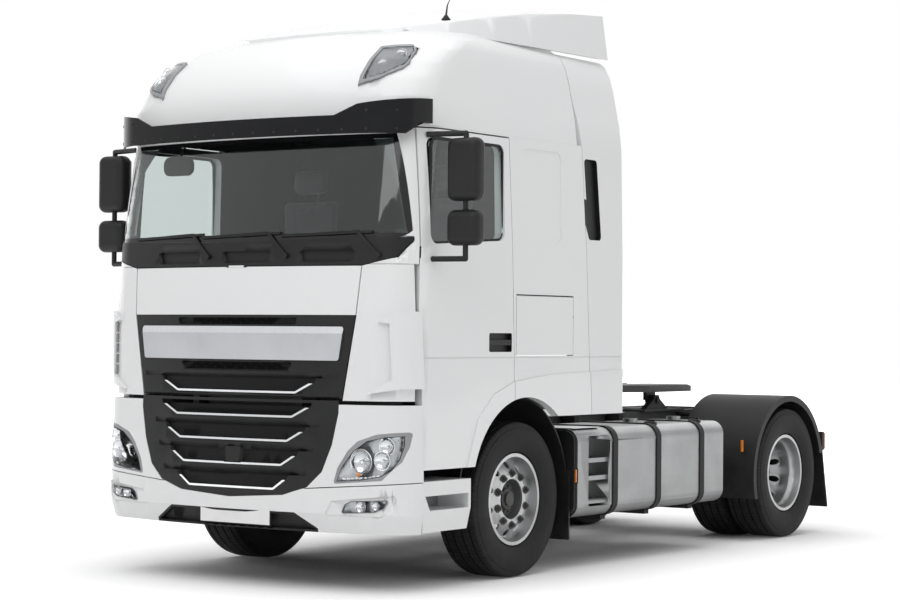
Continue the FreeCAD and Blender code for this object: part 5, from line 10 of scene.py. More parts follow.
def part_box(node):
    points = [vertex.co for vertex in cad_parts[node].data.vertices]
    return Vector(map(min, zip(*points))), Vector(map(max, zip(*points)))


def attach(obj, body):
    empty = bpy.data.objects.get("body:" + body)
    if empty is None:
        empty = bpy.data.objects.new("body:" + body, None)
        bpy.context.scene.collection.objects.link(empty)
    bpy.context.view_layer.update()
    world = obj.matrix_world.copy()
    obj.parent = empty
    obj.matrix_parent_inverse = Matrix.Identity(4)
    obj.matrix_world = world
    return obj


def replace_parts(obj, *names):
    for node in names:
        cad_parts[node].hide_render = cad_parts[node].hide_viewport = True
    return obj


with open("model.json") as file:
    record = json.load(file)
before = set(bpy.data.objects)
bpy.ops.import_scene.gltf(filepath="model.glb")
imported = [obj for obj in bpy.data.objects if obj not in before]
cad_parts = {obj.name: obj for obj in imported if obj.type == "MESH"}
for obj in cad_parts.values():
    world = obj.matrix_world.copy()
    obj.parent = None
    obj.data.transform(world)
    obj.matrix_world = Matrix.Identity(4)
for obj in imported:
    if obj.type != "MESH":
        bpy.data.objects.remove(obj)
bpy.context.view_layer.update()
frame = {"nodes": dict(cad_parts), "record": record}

# Looks of a two-axle cab-over tractor unit with a high-roof sleeper cab.
# Metres, +Z up, the front faces -Y, +X is the truck's left-hand side.

NODES = frame["nodes"]
BODY_OF = {name: body for body, names in frame["record"]["behaviour"]["bodies"].items() for name in names}
SIDES = ((1, "left"), (-1, "right"))


def middle(node):
    low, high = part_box(node)
    return (Vector(low) + Vector(high)) / 2


FRONT_AXLE = middle("front_tyre_left")
REAR_AXLE = middle("rear_tyres_left")
AXLE_Y = FRONT_AXLE.y


def at(x, y, z):
    """A place measured from the ground under the front axle."""
    return Vector((x, y + AXLE_Y, z))


# Short ways to write shader nodes

def fill(tree, node, **inputs):
    """A node's inputs, by name or as i0, i1 and so on, set to values or linked to sockets."""
    for key, value in inputs.items():
        numbered = key[0] == "i" and key[1:].isdigit()
        socket = node.inputs[int(key[1:]) if numbered else key.replace("_", " ")]
        if isinstance(value, bpy.types.NodeSocket):
            tree.links.new(value, socket)
        else:
            socket.default_value = value
    return node


def add(tree, kind, settings=None, **inputs):
    """Node of a kind, with its settings and inputs."""
    node = tree.nodes.new("ShaderNode" + kind)
    for key, value in (settings or {}).items():
        setattr(node, key, value)
    return fill(tree, node, **inputs)


def maths(tree, operation, first, second=0.0, clamp=False):
    return add(tree, "Math", {"operation": operation, "use_clamp": clamp}, i0=first, i1=second).outputs[0]


def plus(tree, first, second, clamp=False):
    return maths(tree, "ADD", first, second, clamp)


def minus(tree, first, second, clamp=False):
    return maths(tree, "SUBTRACT", first, second, clamp)


def times(tree, first, second):
    return maths(tree, "MULTIPLY", first, second)


def reach_of(tree, first, second):
    """Length of the arm with two given parts."""
    return maths(tree, "SQRT", plus(tree, maths(tree, "POWER", first, 2.0), maths(tree, "POWER", second, 2.0)))


def vectors(tree, operation, first, second=(0.0, 0.0, 0.0)):
    """Sum of vectors or other work on them: the node's outputs."""
    return add(tree, "VectorMath", {"operation": operation}, i0=first, i1=second).outputs


def noise(tree, place, scale, detail=3.0, roughness=0.55):
    return add(tree, "TexNoise", Vector=place, Scale=scale, Detail=detail, Roughness=roughness).outputs["Fac"]


def mixed(tree, share, first, second):
    return add(tree, "Mix", {"data_type": "RGBA"}, i0=share, i6=first, i7=second).outputs[2]


def ramp(tree, value, low, high):
    return add(tree, "MapRange", {"clamp": True}, Value=value, From_Min=low, From_Max=high).outputs[0]


def bumped(tree, height, strength, distance, normal=None):
    node = add(tree, "Bump", Strength=strength, Distance=distance, Height=height)
    if normal is not None:
        fill(tree, node, Normal=normal)
    return node.outputs[0]


def own_place(tree):
    return add(tree, "TexCoord").outputs["Object"]


def split(tree, vector):
    return add(tree, "SeparateXYZ", Vector=vector).outputs


# Shader groups shared by several finishes

SOCKET_KINDS = {"Color": "NodeSocketColor", "Normal": "NodeSocketVector"}


def group(name, results, **inputs):
    """Empty shader group with named sockets: its tree, its given values and its output node."""
    tree = bpy.data.node_groups.new(name, "ShaderNodeTree")
    for key, default in inputs.items():
        size = len(default) if isinstance(default, tuple) else 1
        kind = {1: "NodeSocketFloat", 3: "NodeSocketVector", 4: "NodeSocketColor"}[size]
        socket = tree.interface.new_socket(key.replace("_", " "), in_out="INPUT", socket_type=kind)
        socket.default_value = default
    for key in results:
        kind = SOCKET_KINDS.get(key, "NodeSocketFloat")
        tree.interface.new_socket(key, in_out="OUTPUT", socket_type=kind)
    return tree, tree.nodes.new("NodeGroupInput").outputs, tree.nodes.new("NodeGroupOutput")


def surface_group():
    """Colour that drifts, a film of road dust near the ground, uneven gloss and a fine grain."""
    tree, given, out = group(
        "surface", ("Color", "Roughness", "Normal"), Color=(0.8, 0.8, 0.8, 1), Drift_Color=(0.7, 0.7, 0.7, 1),
        Drift_Scale=2.0, Dust_Color=(0.33, 0.31, 0.28, 1), Dust_Top=0.9, Dust=0.2, Gloss=0.3, Gloss_Change=0.1,
        Grain_Scale=300.0, Grain=0.1)
    place = own_place(tree)
    cloud = noise(tree, place, given["Drift Scale"])
    drift = mixed(tree, ramp(tree, cloud, 0.35, 0.7), given["Color"], given["Drift Color"])
    near_ground = minus(tree, 1.0, maths(tree, "DIVIDE", split(tree, place)["Z"], given["Dust Top"]), clamp=True)
    patches = ramp(tree, noise(tree, place, 9.0, 5.0), 0.3, 0.75)
    dusty = times(tree, times(tree, near_ground, patches), given["Dust"])
    swing = times(tree, minus(tree, cloud, 0.5), given["Gloss Change"])
    gloss = plus(tree, plus(tree, given["Gloss"], swing), times(tree, dusty, 0.5), clamp=True)
    grain = noise(tree, place, given["Grain Scale"], 2.0)
    fill(tree, out, Color=mixed(tree, dusty, drift, given["Dust Color"]), Roughness=gloss,
         Normal=bumped(tree, grain, given["Grain"], 0.001))
    return tree


def brushed_group():
    """Fine drawn lines, as mask and normal."""
    tree, given, out = group("brushed", ("Mask", "Normal"), Stretch=(2.0, 2.0, 400.0), Depth=0.1)
    lines = noise(tree, vectors(tree, "MULTIPLY", own_place(tree), given["Stretch"])[0], 1.0, 2.0)
    fill(tree, out, Mask=lines, Normal=bumped(tree, lines, given["Depth"], 0.001))
    return tree


def scuff_group():
    """Scratches and rubbed patches, as a mask."""
    tree, given, out = group("scuffs", ("Mask",), Scale=12.0, Amount=0.5)
    blots = ramp(tree, noise(tree, own_place(tree), given["Scale"], 6.0, 0.7), 0.55, 0.72)
    fill(tree, out, Mask=times(tree, blots, given["Amount"]))
    return tree


def tread_group():
    """Cross grooves of a tyre's tread and fine rings on its walls, as one height."""
    tree, given, out = group("tread", ("Height",), Centre=(0, 0, 0), Radius=0.5, Lugs=96.0)
    parts = split(tree, vectors(tree, "SUBTRACT", own_place(tree), given["Centre"])[0])
    angle = maths(tree, "ARCTAN2", parts["Z"], parts["Y"])
    reach = reach_of(tree, parts["Z"], parts["Y"])
    crown = ramp(tree, maths(tree, "DIVIDE", reach, given["Radius"]), 0.93, 0.97)
    zigzag = maths(tree, "PINGPONG", parts["X"], 0.022)
    turn = plus(tree, times(tree, angle, given["Lugs"]), times(tree, zigzag, 60.0))
    lugs = ramp(tree, maths(tree, "SINE", turn), -0.85, -0.5)
    rings = times(tree, maths(tree, "SINE", times(tree, reach, 900.0)), 0.06)
    fill(tree, out, Height=plus(tree, times(tree, lugs, crown), rings))
    return tree


def holes_group():
    """Staggered round holes seen along the truck's length, as a mask that is 1 in a hole."""
    tree, given, out = group("holes", ("Mask",), Pitch=0.012, Share=0.35)
    parts = split(tree, own_place(tree))
    across = maths(tree, "DIVIDE", parts["X"], given["Pitch"])
    up = maths(tree, "DIVIDE", parts["Z"], times(tree, given["Pitch"], 0.5))
    shifted = plus(tree, across, times(tree, maths(tree, "FLOOR", up), 0.5))
    aside = minus(tree, maths(tree, "FRACT", shifted), 0.5)
    above = times(tree, minus(tree, maths(tree, "FRACT", up), 0.5), 0.5)
    fill(tree, out, Mask=maths(tree, "LESS_THAN", reach_of(tree, aside, above), given["Share"]))
    return tree


SURFACE = surface_group()
BRUSHED = brushed_group()
SCUFFS = scuff_group()
TREAD = tread_group()
HOLES = holes_group()


def use(tree, shared, **inputs):
    """One of the shared groups placed in a material: its outputs."""
    node = tree.nodes.new("ShaderNodeGroup")
    node.node_tree = shared
    return fill(tree, node, **inputs).outputs


# Finishes

def rgb(red, green, blue):
    return (red, green, blue, 1.0)


def blank_material(name):
    material = bpy.data.materials.new(name)
    material.use_nodes = True
    tree = material.node_tree
    return material, tree, tree.nodes["Principled BSDF"]


def surfaced(name, color, drift, scale=2.0, dust=0.15, gloss=0.3, change=0.1, grain_scale=300.0, grain=0.1,
             metallic=0.0, coat=0.0, specular=0.5):
    """Material whose colour, gloss and grain come from the surface group."""
    material, tree, shader = blank_material(name)
    made = use(tree, SURFACE, Color=color, Drift_Color=drift, Drift_Scale=scale, Dust=dust, Gloss=gloss,
               Gloss_Change=change, Grain_Scale=grain_scale, Grain=grain)
    fill(tree, shader, Base_Color=made["Color"], Roughness=made["Roughness"], Normal=made["Normal"],
         Metallic=metallic, Coat_Weight=coat, Coat_Roughness=0.06, Specular_IOR_Level=specular)
    return material, tree, shader, made


def plain(**basics):
    """Maker of finishes that share their basic settings."""
    return lambda name, color, drift, **changes: surfaced(name, color, drift, **{**basics, **changes})[0]


lacquer = plain()
paint = plain(scale=0.7, dust=0.10, gloss=0.32, change=0.06, grain_scale=420.0, grain=0.03, coat=0.6)
plastic = plain(scale=3.0, dust=0.08, gloss=0.5, change=0.15, grain_scale=900.0, grain=0.25, specular=0.22)
metal = plain(scale=4.0, dust=0.1, gloss=0.3, change=0.2, grain_scale=150.0, grain=0.1, metallic=1.0)


def brushed_metal(name, color, drift, stretch, gloss=0.3, depth=0.15):
    """Metal with drawn lines in its gloss and relief."""
    material, tree, shader, made = surfaced(name, color, drift, scale=3.0, dust=0.12, gloss=gloss,
                                            metallic=1.0, grain=0.0)
    lines = use(tree, BRUSHED, Stretch=stretch, Depth=depth)
    uneven = times(tree, minus(tree, lines["Mask"], 0.5), 0.25)
    fill(tree, shader, Roughness=plus(tree, made["Roughness"], uneven, clamp=True), Normal=lines["Normal"])
    return material


def worn_metal(name, color, bare, gloss=0.55, amount=0.5):
    """Dark painted iron, rubbed bright in patches."""
    material, tree, shader, made = surfaced(name, color, color, dust=0.35, gloss=gloss, grain_scale=80.0, grain=0.35)
    rubbed = use(tree, SCUFFS, Scale=7.0, Amount=amount)["Mask"]
    fill(tree, shader, Base_Color=mixed(tree, rubbed, made["Color"], bare), Metallic=rubbed)
    return material


def glass(name, tint, drift, ior=1.45):
    """Clear solid glass that lets lamp light through to what lies behind it."""
    material, tree, shader = blank_material(name)
    made = use(tree, SURFACE, Color=tint, Drift_Color=drift, Dust=0.04, Gloss=0.02, Gloss_Change=0.02, Grain=0.01)
    fill(tree, shader, Base_Color=made["Color"], Roughness=made["Roughness"], Transmission_Weight=1.0, IOR=ior)
    clear = add(tree, "BsdfTransparent", Color=tint)
    shadow = add(tree, "LightPath").outputs["Is Shadow Ray"]
    mix = add(tree, "MixShader", i0=shadow, i1=shader.outputs[0], i2=clear.outputs[0])
    fill(tree, tree.nodes["Material Output"], Surface=mix.outputs[0])
    return material


def tyre_rubber(name, centre, radius):
    """Black rubber with a lugged crown, centred on one end of an axle."""
    material, tree, shader, made = surfaced(name, rgb(0.0085, 0.0085, 0.009), rgb(0.014, 0.014, 0.0145), scale=5.0,
                                            dust=0.05, gloss=0.62, grain_scale=500.0, grain=0.3, specular=0.18)
    tread = use(tree, TREAD, Centre=tuple(centre), Radius=radius)
    fill(tree, shader, Normal=bumped(tree, tread["Height"], 0.9, 0.006, made["Normal"]))
    return material


def perforated_sheet(name, color, drift):
    """Dark sheet with staggered holes, behind the louvres; the holes are painted darker still, as painted shade seen
    through them.
    """
    material, tree, shader, made = surfaced(name, color, drift, gloss=0.5, specular=0.12)
    hole = use(tree, HOLES, Pitch=0.013, Share=0.2)["Mask"]
    # Holes painted near black: painted shade seen through them.
    fill(tree, shader, Base_Color=mixed(tree, hole, made["Color"], rgb(0.003, 0.003, 0.003)))
    return material


def chequer_plate(name, color, drift):
    """Alloy sheet with crossed raised bars."""
    material, tree, shader, made = surfaced(name, color, drift, gloss=0.3, metallic=1.0)
    parts = split(tree, own_place(tree))
    bars = []
    for sign in (1.0, -1.0):
        slanted = plus(tree, parts["X"], times(tree, parts["Y"], sign))
        wave = maths(tree, "SINE", times(tree, slanted, 210.0))
        across = minus(tree, parts["X"], times(tree, parts["Y"], sign))
        cut = maths(tree, "SINE", times(tree, across, 105.0))
        bars.append(ramp(tree, times(tree, wave, cut), 0.55, 0.8))
    fill(tree, shader, Normal=bumped(tree, maths(tree, "MAXIMUM", *bars), 0.6, 0.003, made["Normal"]))
    return material


def cloth(name, color, drift):
    """Woven seat fabric: two crossed sets of threads."""
    material, tree, shader, made = surfaced(name, color, drift, scale=6.0, dust=0.0, gloss=0.85, grain=0.2)
    parts = split(tree, own_place(tree))
    warp = maths(tree, "SINE", times(tree, parts["X"], 2600.0))
    weft = maths(tree, "SINE", times(tree, plus(tree, parts["Z"], parts["Y"]), 2600.0))
    fill(tree, shader, Normal=bumped(tree, times(tree, warp, weft), 0.5, 0.0006, made["Normal"]), Sheen_Weight=0.3)
    return material


# Each finish: its maker, its colour, the colour that it drifts or wears to, and any settings of its own

FINISHES = {
    "white paint": (paint, (0.80, 0.805, 0.81), (0.785, 0.79, 0.80)),
    "white plastic": (paint, (0.79, 0.795, 0.80), (0.775, 0.78, 0.79), dict(gloss=0.36, coat=0.4)),
    "plate": (paint, (0.84, 0.84, 0.84), (0.80, 0.80, 0.80), dict(gloss=0.3, coat=0.2)),
    "black plastic": (plastic, (0.009, 0.0092, 0.0097), (0.014, 0.0142, 0.015), dict(gloss=0.45)),
    "fender plastic": (plastic, (0.014, 0.0142, 0.0148), (0.02, 0.0202, 0.021)),
    "lamp bezel": (plastic, (0.32, 0.33, 0.34), (0.28, 0.29, 0.30), dict(gloss=0.35, grain=0.05)),
    "interior plastic": (plastic, (0.10, 0.105, 0.105), (0.13, 0.135, 0.135), dict(gloss=0.6, dust=0.0)),
    "cab lining": (plastic, (0.050, 0.056, 0.060), (0.062, 0.068, 0.072), dict(gloss=0.7, dust=0.0)),
    "steering rim": (plastic, (0.16, 0.165, 0.17), (0.20, 0.205, 0.21), dict(gloss=0.4, dust=0.0)),
    "rubber": (plastic, (0.012, 0.012, 0.012), (0.018, 0.018, 0.018), dict(gloss=0.6, grain=0.3)),
    "smoked plastic": (lacquer, (0.008, 0.0083, 0.0095), (0.012, 0.0123, 0.0135),
                       dict(dust=0.0, gloss=0.22, grain=0.02, specular=0.15)),
    "printed border": (lacquer, (0.006, 0.0062, 0.0066), (0.008, 0.0082, 0.0086),
                       dict(dust=0.0, gloss=0.12, grain=0.01, specular=0.4)),
    "red lens": (lacquer, (0.42, 0.012, 0.012), (0.5, 0.02, 0.02), dict(gloss=0.15, grain=0.05, coat=0.8)),
    "amber lens": (lacquer, (0.85, 0.25, 0.01), (0.75, 0.2, 0.01), dict(gloss=0.15, grain=0.05, coat=0.8)),
    "frame paint": (worn_metal, (0.035, 0.036, 0.038), (0.25, 0.25, 0.25), dict(amount=0.15)),
    "cast iron": (worn_metal, (0.03, 0.03, 0.031), (0.28, 0.27, 0.26), dict(amount=0.25)),
    "coupling iron": (worn_metal, (0.016, 0.016, 0.017), (0.2, 0.2, 0.2), dict(gloss=0.4, amount=0.35)),
    "hub iron": (worn_metal, (0.02, 0.02, 0.021), (0.16, 0.16, 0.16), dict(amount=0.3)),
    "nut iron": (worn_metal, (0.02, 0.02, 0.021), (0.3, 0.3, 0.3), dict(gloss=0.4)),
    "lamp inside": (metal, (0.42, 0.43, 0.44), (0.34, 0.35, 0.36), dict(grain=0.02, dust=0.0)),
    "lamp shade": (metal, (0.17, 0.175, 0.18), (0.13, 0.135, 0.14), dict(gloss=0.35, grain=0.02, dust=0.0)),
    "reflector": (metal, (0.62, 0.63, 0.64), (0.54, 0.55, 0.56), dict(gloss=0.14, grain=0.0, dust=0.0)),
    "wheel silver": (metal, (0.46, 0.465, 0.47), (0.36, 0.365, 0.37), dict(gloss=0.4, coat=0.2)),
    "chrome": (metal, (0.60, 0.61, 0.62), (0.52, 0.53, 0.55), dict(gloss=0.16, grain=0.02, dust=0.05)),
    "mirror glass": (metal, (0.75, 0.78, 0.80), (0.72, 0.75, 0.77), dict(gloss=0.03, grain=0.0, dust=0.0)),
    "tank alloy": (brushed_metal, (0.30, 0.303, 0.307), (0.25, 0.253, 0.257),
                   dict(stretch=(260.0, 1.5, 260.0), gloss=0.36, depth=0.08)),
    "band alloy": (brushed_metal, (0.40, 0.41, 0.43), (0.36, 0.37, 0.39),
                   dict(stretch=(3.0, 300.0, 300.0), gloss=0.34, depth=0.03)),
    # Lighter copy of the band alloy for the band's top strip: a painted highlight on its leaning face.
    "band painted highlight": (brushed_metal, (0.62, 0.63, 0.65), (0.58, 0.59, 0.61),
                  dict(stretch=(3.0, 300.0, 300.0), depth=0.03)),
    "step tread": (brushed_metal, (0.42, 0.43, 0.45), (0.36, 0.37, 0.39),
                   dict(stretch=(300.0, 3.0, 300.0), gloss=0.4, depth=0.1)),
    "cab glass": (glass, (0.76, 0.81, 0.80), (0.76, 0.81, 0.80)),
    "lens": (glass, (0.95, 0.96, 0.97), (0.95, 0.96, 0.97), dict(ior=1.2)),
    "perforated": (perforated_sheet, (0.006, 0.006, 0.0065), (0.009, 0.009, 0.0095)),
    "chequer": (chequer_plate, (0.62, 0.63, 0.64), (0.5, 0.51, 0.52)),
    "cloth": (cloth, (0.09, 0.095, 0.11), (0.07, 0.075, 0.085)),
}
FINISH = {}
for finish_name, (maker, color, second, *changes) in FINISHES.items():
    FINISH[finish_name] = maker(finish_name.replace(" ", "_"), rgb(*color), rgb(*second), **dict(*changes))


# CAD nodes shown through merged, smooth copies, and the finish of each

NODE_FINISH = {
    "ladder_frame": "frame paint", "cab_mounts": "cast iron", "engine_block": "cast iron", "radiator": "frame paint",
    "front_bumper": "white plastic", "bumper_intake": "black plastic", "lamp_panels": "white plastic",
    "lower_grille": "black plastic", "grille_trims": "chrome", "entry_steps": "white plastic",
    "front_axle": "cast iron", "rear_axle": "cast iron", "suspension": "frame paint", "fuel_tanks": "tank alloy",
    "tank_straps": "rubber", "tank_ends": "black plastic", "wheel_housings": "black plastic",
    "rear_fenders": "fender plastic", "fifth_wheel_base": "frame paint", "deck_plate": "chequer",
    "fifth_wheel": "coupling iron", "tie_rod": "frame paint", "cab_floor": "interior plastic",
    "quarter_walls": "white paint", "front_pillars": "white paint", "windscreen": "cab glass",
    "cowl": "black plastic", "wipers": "black plastic", "service_flap": "white paint",
    "upper_grille": "black plastic", "flap_trims": "band alloy", "corner_panels": "white plastic",
    "cab_roof": "white plastic", "roof_spoiler": "white plastic", "side_fairings": "white plastic",
    "sun_visor": "smoked plastic", "dashboard": "interior plastic",
}
PAIR_FINISH = {"front_wheel": "wheel silver", "rear_wheel": "wheel silver", "knuckle": "cast iron",
               "door": "white paint", "door_glass": "cab glass", "mirror": "black plastic",
               "locker_lid": "white paint"}
NODE_FINISH.update((pair + "_" + word, finish) for pair, finish in PAIR_FINISH.items() for _, word in SIDES)
FLAT_ANGLE = math.radians(0.35)
SMOOTH_ANGLE = math.radians(28)
ROUND_ANGLE = math.radians(40)
LENS_ANGLE = math.radians(60)
WHEEL_ANGLE = math.radians(20)
NODE_ANGLE = {"cab_roof": ROUND_ANGLE, "corner_panels": math.radians(12), "roof_spoiler": math.radians(35),
              "front_wheel_left": WHEEL_ANGLE, "front_wheel_right": WHEEL_ANGLE}
EVENLY_SMOOTH = ("roof_spoiler",)
ANYWHERE = 9.0
CAD_TOUCH = 2e-5
TOUCH = 1e-5
ON_PLANE = 1e-6


def merged_copy(node):
    """Copy of a node's mesh with its loose triangles joined, as a bmesh."""
    bm = bmesh.new()
    bm.from_mesh(NODES[node].data)
    bmesh.ops.remove_doubles(bm, verts=bm.verts, dist=CAD_TOUCH)
    return bm


def mesh_from(bm, name):
    mesh = bpy.data.meshes.new(name)
    bm.to_mesh(mesh)
    bm.free()
    return mesh


def linked(name, data):
    """Object with its data, placed in the scene."""
    made = bpy.data.objects.new(name, data)
    bpy.context.scene.collection.objects.link(made)
    return made


def fitting(bm, name, finishes, node, angle=SMOOTH_ANGLE, weighted=True):
    """Piece from a bmesh, smooth below an angle, riding with a CAD node's body."""
    mesh = mesh_from(bm, name)
    for polygon in mesh.polygons:
        polygon.use_smooth = True
    mesh.set_sharp_from_angle(angle=angle)
    for finish in (finishes,) if isinstance(finishes, str) else finishes:
        mesh.materials.append(FINISH[finish])
    piece = linked(name, mesh)
    if weighted:
        flat = piece.modifiers.new("flat_faces", "WEIGHTED_NORMAL")
        flat.weight = 100
        flat.keep_sharp = True
    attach(piece, BODY_OF[node])
    return piece


def cut(bm, place, normal, geom=None, clear_outer=False):
    """Faces cut through by a plane."""
    bmesh.ops.bisect_plane(bm, geom=geom or bm.verts[:] + bm.edges[:] + bm.faces[:], dist=ON_PLANE, plane_co=place,
                           plane_no=normal, clear_outer=clear_outer)


def carry(node, finish, regions=(), left_out=None, cuts=()):
    """Shows a CAD node through a merged copy, so that its curves shade smoothly.

    Each region is a finish with the test that picks the faces that take it. A test for
    faces left out makes room for a detailed piece. Each cut is a place and a normal.
    """
    bm = merged_copy(node)
    bm.normal_update()
    if left_out:
        bmesh.ops.delete(bm, geom=[face for face in bm.faces if left_out(face)], context="FACES")
    for place, normal in cuts:
        cut(bm, place, normal)
    for index, (_, chosen) in enumerate(regions, 1):
        for face in bm.faces:
            if chosen(face):
                face.material_index = index
    bmesh.ops.dissolve_limit(bm, angle_limit=FLAT_ANGLE, verts=bm.verts, edges=bm.edges, delimit={"MATERIAL"})
    finishes = [finish] + [region[0] for region in regions]
    piece = fitting(bm, node + "_skin", finishes, node, angle=NODE_ANGLE.get(node, SMOOTH_ANGLE),
                    weighted=node not in EVENLY_SMOOTH)
    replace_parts(piece, node)


# Tests that pick the faces of a region

def in_box(low, high, side=1):
    """Test for faces in a box on the left side of the truck, or in its mirror image."""
    if side < 0:
        low, high = (-high[0], low[1], low[2]), (-low[0], high[1], high[2])
    return lambda face: all(a <= value <= b for vert in face.verts for value, a, b in zip(vert.co, low, high))


def both_sides(finish, low, high):
    """A region in a box on the left side of the truck and its mirror image."""
    return tuple((finish, in_box(low, high, side)) for side, _ in SIDES)


def between(low_z, high_z):
    """Test for faces between two heights."""
    return in_box((-ANYWHERE, -ANYWHERE, low_z), (ANYWHERE, ANYWHERE, high_z))


def near_axle(axle, radius):
    """Test for faces near the line of an axle."""
    return lambda face: all(math.hypot(vert.co.y - axle.y, vert.co.z - axle.z) < radius for vert in face.verts)


CAB_MIDDLE_Y = -1.85
CAB_LOW_Z = 1.5
CAB_TOP_Z = 2.75
CAB_INSIDE_X = 1.21
FACES_IN = 0.3


def faces_cab(face):
    """True for the inner face of a cab panel."""
    centre = face.calc_center_median()
    if centre.z < CAB_LOW_Z:
        return False
    middle_of_cab = Vector((0.0, CAB_MIDDLE_Y, min(centre.z, CAB_TOP_Z)))
    return face.normal.dot((middle_of_cab - centre).normalized()) > FACES_IN and abs(centre.x) < CAB_INSIDE_X


STRIPE = 0.04


def behind_front(node, depth):
    """Test for faces that lie deeper than a depth behind the node's foremost surface."""
    foremost = {}
    for vert in NODES[node].data.vertices:
        stripe = round(vert.co.x / STRIPE)
        foremost[stripe] = min(foremost.get(stripe, ANYWHERE), vert.co.y)

    def chosen(face):
        centre = face.calc_center_median()
        near = min(foremost.get(round(centre.x / STRIPE) + step, ANYWHERE) for step in (-1, 0, 1))
        return face.normal.y < -0.9 and centre.y > near + depth and face.normal.z > -0.12
    return chosen


# Printed black border of the windscreen: each side from its bottom to its top, as (x, z), and its level edges
BORDER_LOW = (1.173, 2.135)
BORDER_TOP = (1.031, 2.795)
BORDER_EDGES = (2.185, 2.765)
BORDER_LEAN = BORDER_LOW[0] - BORDER_TOP[0]
BORDER_RISE = BORDER_TOP[1] - BORDER_LOW[1]
BORDER_CUTS = tuple(((side * BORDER_LOW[0], 0, BORDER_LOW[1]), (BORDER_RISE, 0, side * BORDER_LEAN))
                    for side, _ in SIDES) + tuple(((0, 0, z), (0, 0, 1)) for z in BORDER_EDGES)


def in_border(face):
    """True for a windscreen face in the printed border."""
    centre = face.calc_center_median()
    reach = BORDER_LOW[0] - BORDER_LEAN * (centre.z - BORDER_LOW[1]) / BORDER_RISE
    return abs(centre.x) > reach or not BORDER_EDGES[0] < centre.z < BORDER_EDGES[1]


def behind_glass(face):
    """True for the front of a pillar seen through the windscreen."""
    centre = face.calc_center_median()
    return face.normal.y < 0 and BORDER_LOW[1] < centre.z < BORDER_TOP[1] and not in_border(face)


LINED = ("cab lining", faces_cab)
NODE_REGIONS = {
    "lower_grille": (("perforated", behind_front("lower_grille", 0.026)),),
    "upper_grille": (("perforated", behind_front("upper_grille", 0.018)),),
    # The band's top strip takes a lighter copy of its alloy, a painted highlight.
    "flap_trims": (("chrome", between(0, 1.39)), ("band painted highlight", between(1.571, 1.63))),
    "side_fairings": both_sides("black plastic", at(1.0, 0.69, 2.21), at(1.238, 0.91, 2.77)),
    "entry_steps": both_sides("step tread", at(1.0, -1.16, 0.49), at(1.2425, -0.66, 0.592)),
    "dashboard": (("steering rim", in_box(at(0.26, -0.95, 1.86), at(0.78, -0.48, 2.30))),),
    "fuel_tanks": (("black plastic", between(0.9435, 1.0)),),
    "cab_roof": (LINED,),
    "quarter_walls": (LINED,),
    "front_pillars": (LINED, ("cab lining", behind_glass)),
    "windscreen": (("printed border", in_border),),
    "cab_floor": (LINED,),
    "service_flap": (("black plastic", lambda face: face.normal.y > 0.2),),
    "corner_panels": (("black plastic", lambda face: face.normal.y > 0.6),),
}
NODE_CUTS = {"windscreen": BORDER_CUTS, "front_pillars": BORDER_CUTS}
HANDLE_BOX = at(1.15, -0.4525, 1.461), at(1.25, -0.1895, 1.585)
FRONT_HUB_RADIUS = 0.1705
REAR_HUB_RADIUS = 0.132
LEFT_OUT = {}
for side, word in SIDES:
    NODE_REGIONS["door_" + word] = (LINED, ("black plastic", in_box(*HANDLE_BOX, side)))
    LEFT_OUT["front_wheel_" + word] = near_axle(FRONT_AXLE, FRONT_HUB_RADIUS)
    NODE_REGIONS["rear_wheel_" + word] = (("hub iron", near_axle(REAR_AXLE, REAR_HUB_RADIUS)),)

for node_name, finish_name in NODE_FINISH.items():
    carry(node_name, finish_name, NODE_REGIONS.get(node_name, ()), LEFT_OUT.get(node_name),
          NODE_CUTS.get(node_name, ()))


# Small shapes that the pieces are made from

def block(bm, low, high, bevel=0.0, segments=2, along=None):
    """Box between two corners with rounded edges, all of them or only those along one axis."""
    low, high = Vector(low), Vector(high)
    size = Vector([abs(b - a) for a, b in zip(low, high)])
    matrix = Matrix.Translation((low + high) / 2) @ Matrix.Diagonal((*size, 1.0))
    made = bmesh.ops.create_cube(bm, size=1.0, matrix=matrix)["verts"]
    if bevel:
        edges = [edge for edge in {edge for vert in made for edge in vert.link_edges}
                 if along is None or abs((edge.verts[0].co - edge.verts[1].co)[along]) > TOUCH]
        bmesh.ops.bevel(bm, geom=edges, offset=bevel, segments=segments, profile=0.5, affect="EDGES", material=-1)
    return bm


def turned(bm, profile, centre, way, steps, closed=False):
    """Profile of (along, radius) pairs turned about a line through a centre."""
    axis = Vector(way).normalized()
    across = axis.orthogonal().normalized()
    verts = [bm.verts.new(centre + axis * along + across * radius) for along, radius in profile]
    edges = [bm.edges.new((verts[i - 1], verts[i])) for i in range(0 if closed else 1, len(verts))]
    bmesh.ops.spin(bm, geom=verts + edges, cent=centre, axis=axis, angle=math.tau, steps=steps, use_merge=True)
    bmesh.ops.remove_doubles(bm, verts=bm.verts, dist=TOUCH)
    return bm


def rod_between(bm, start, end, radius, far_radius=None, segments=12):
    """Round bar between two points."""
    start, end = Vector(start), Vector(end)
    along = end - start
    turn = along.to_track_quat("Z", "Y").to_matrix().to_4x4()
    bmesh.ops.create_cone(bm, cap_ends=True, segments=segments, radius1=radius,
                          radius2=radius if far_radius is None else far_radius, depth=along.length,
                          matrix=Matrix.Translation((start + end) / 2) @ turn)


def outward(bm):
    """The same bmesh with its normals turned outwards."""
    bmesh.ops.recalc_face_normals(bm, faces=bm.faces)
    return bm


def walled(piece, thickness):
    """Thickness behind a sheet's face."""
    wall = piece.modifiers.new("wall", "SOLIDIFY")
    wall.thickness = thickness
    wall.offset = -1
    return piece


def surface_of(*nodes):
    """Search tree over the surfaces of CAD nodes."""
    whole = bmesh.new()
    for node in nodes:
        whole.from_mesh(NODES[node].data)
    tree = BVHTree.FromBMesh(whole)
    whole.free()
    return tree


FAR_ASIDE = 1.5
FAR_AHEAD = -4.0


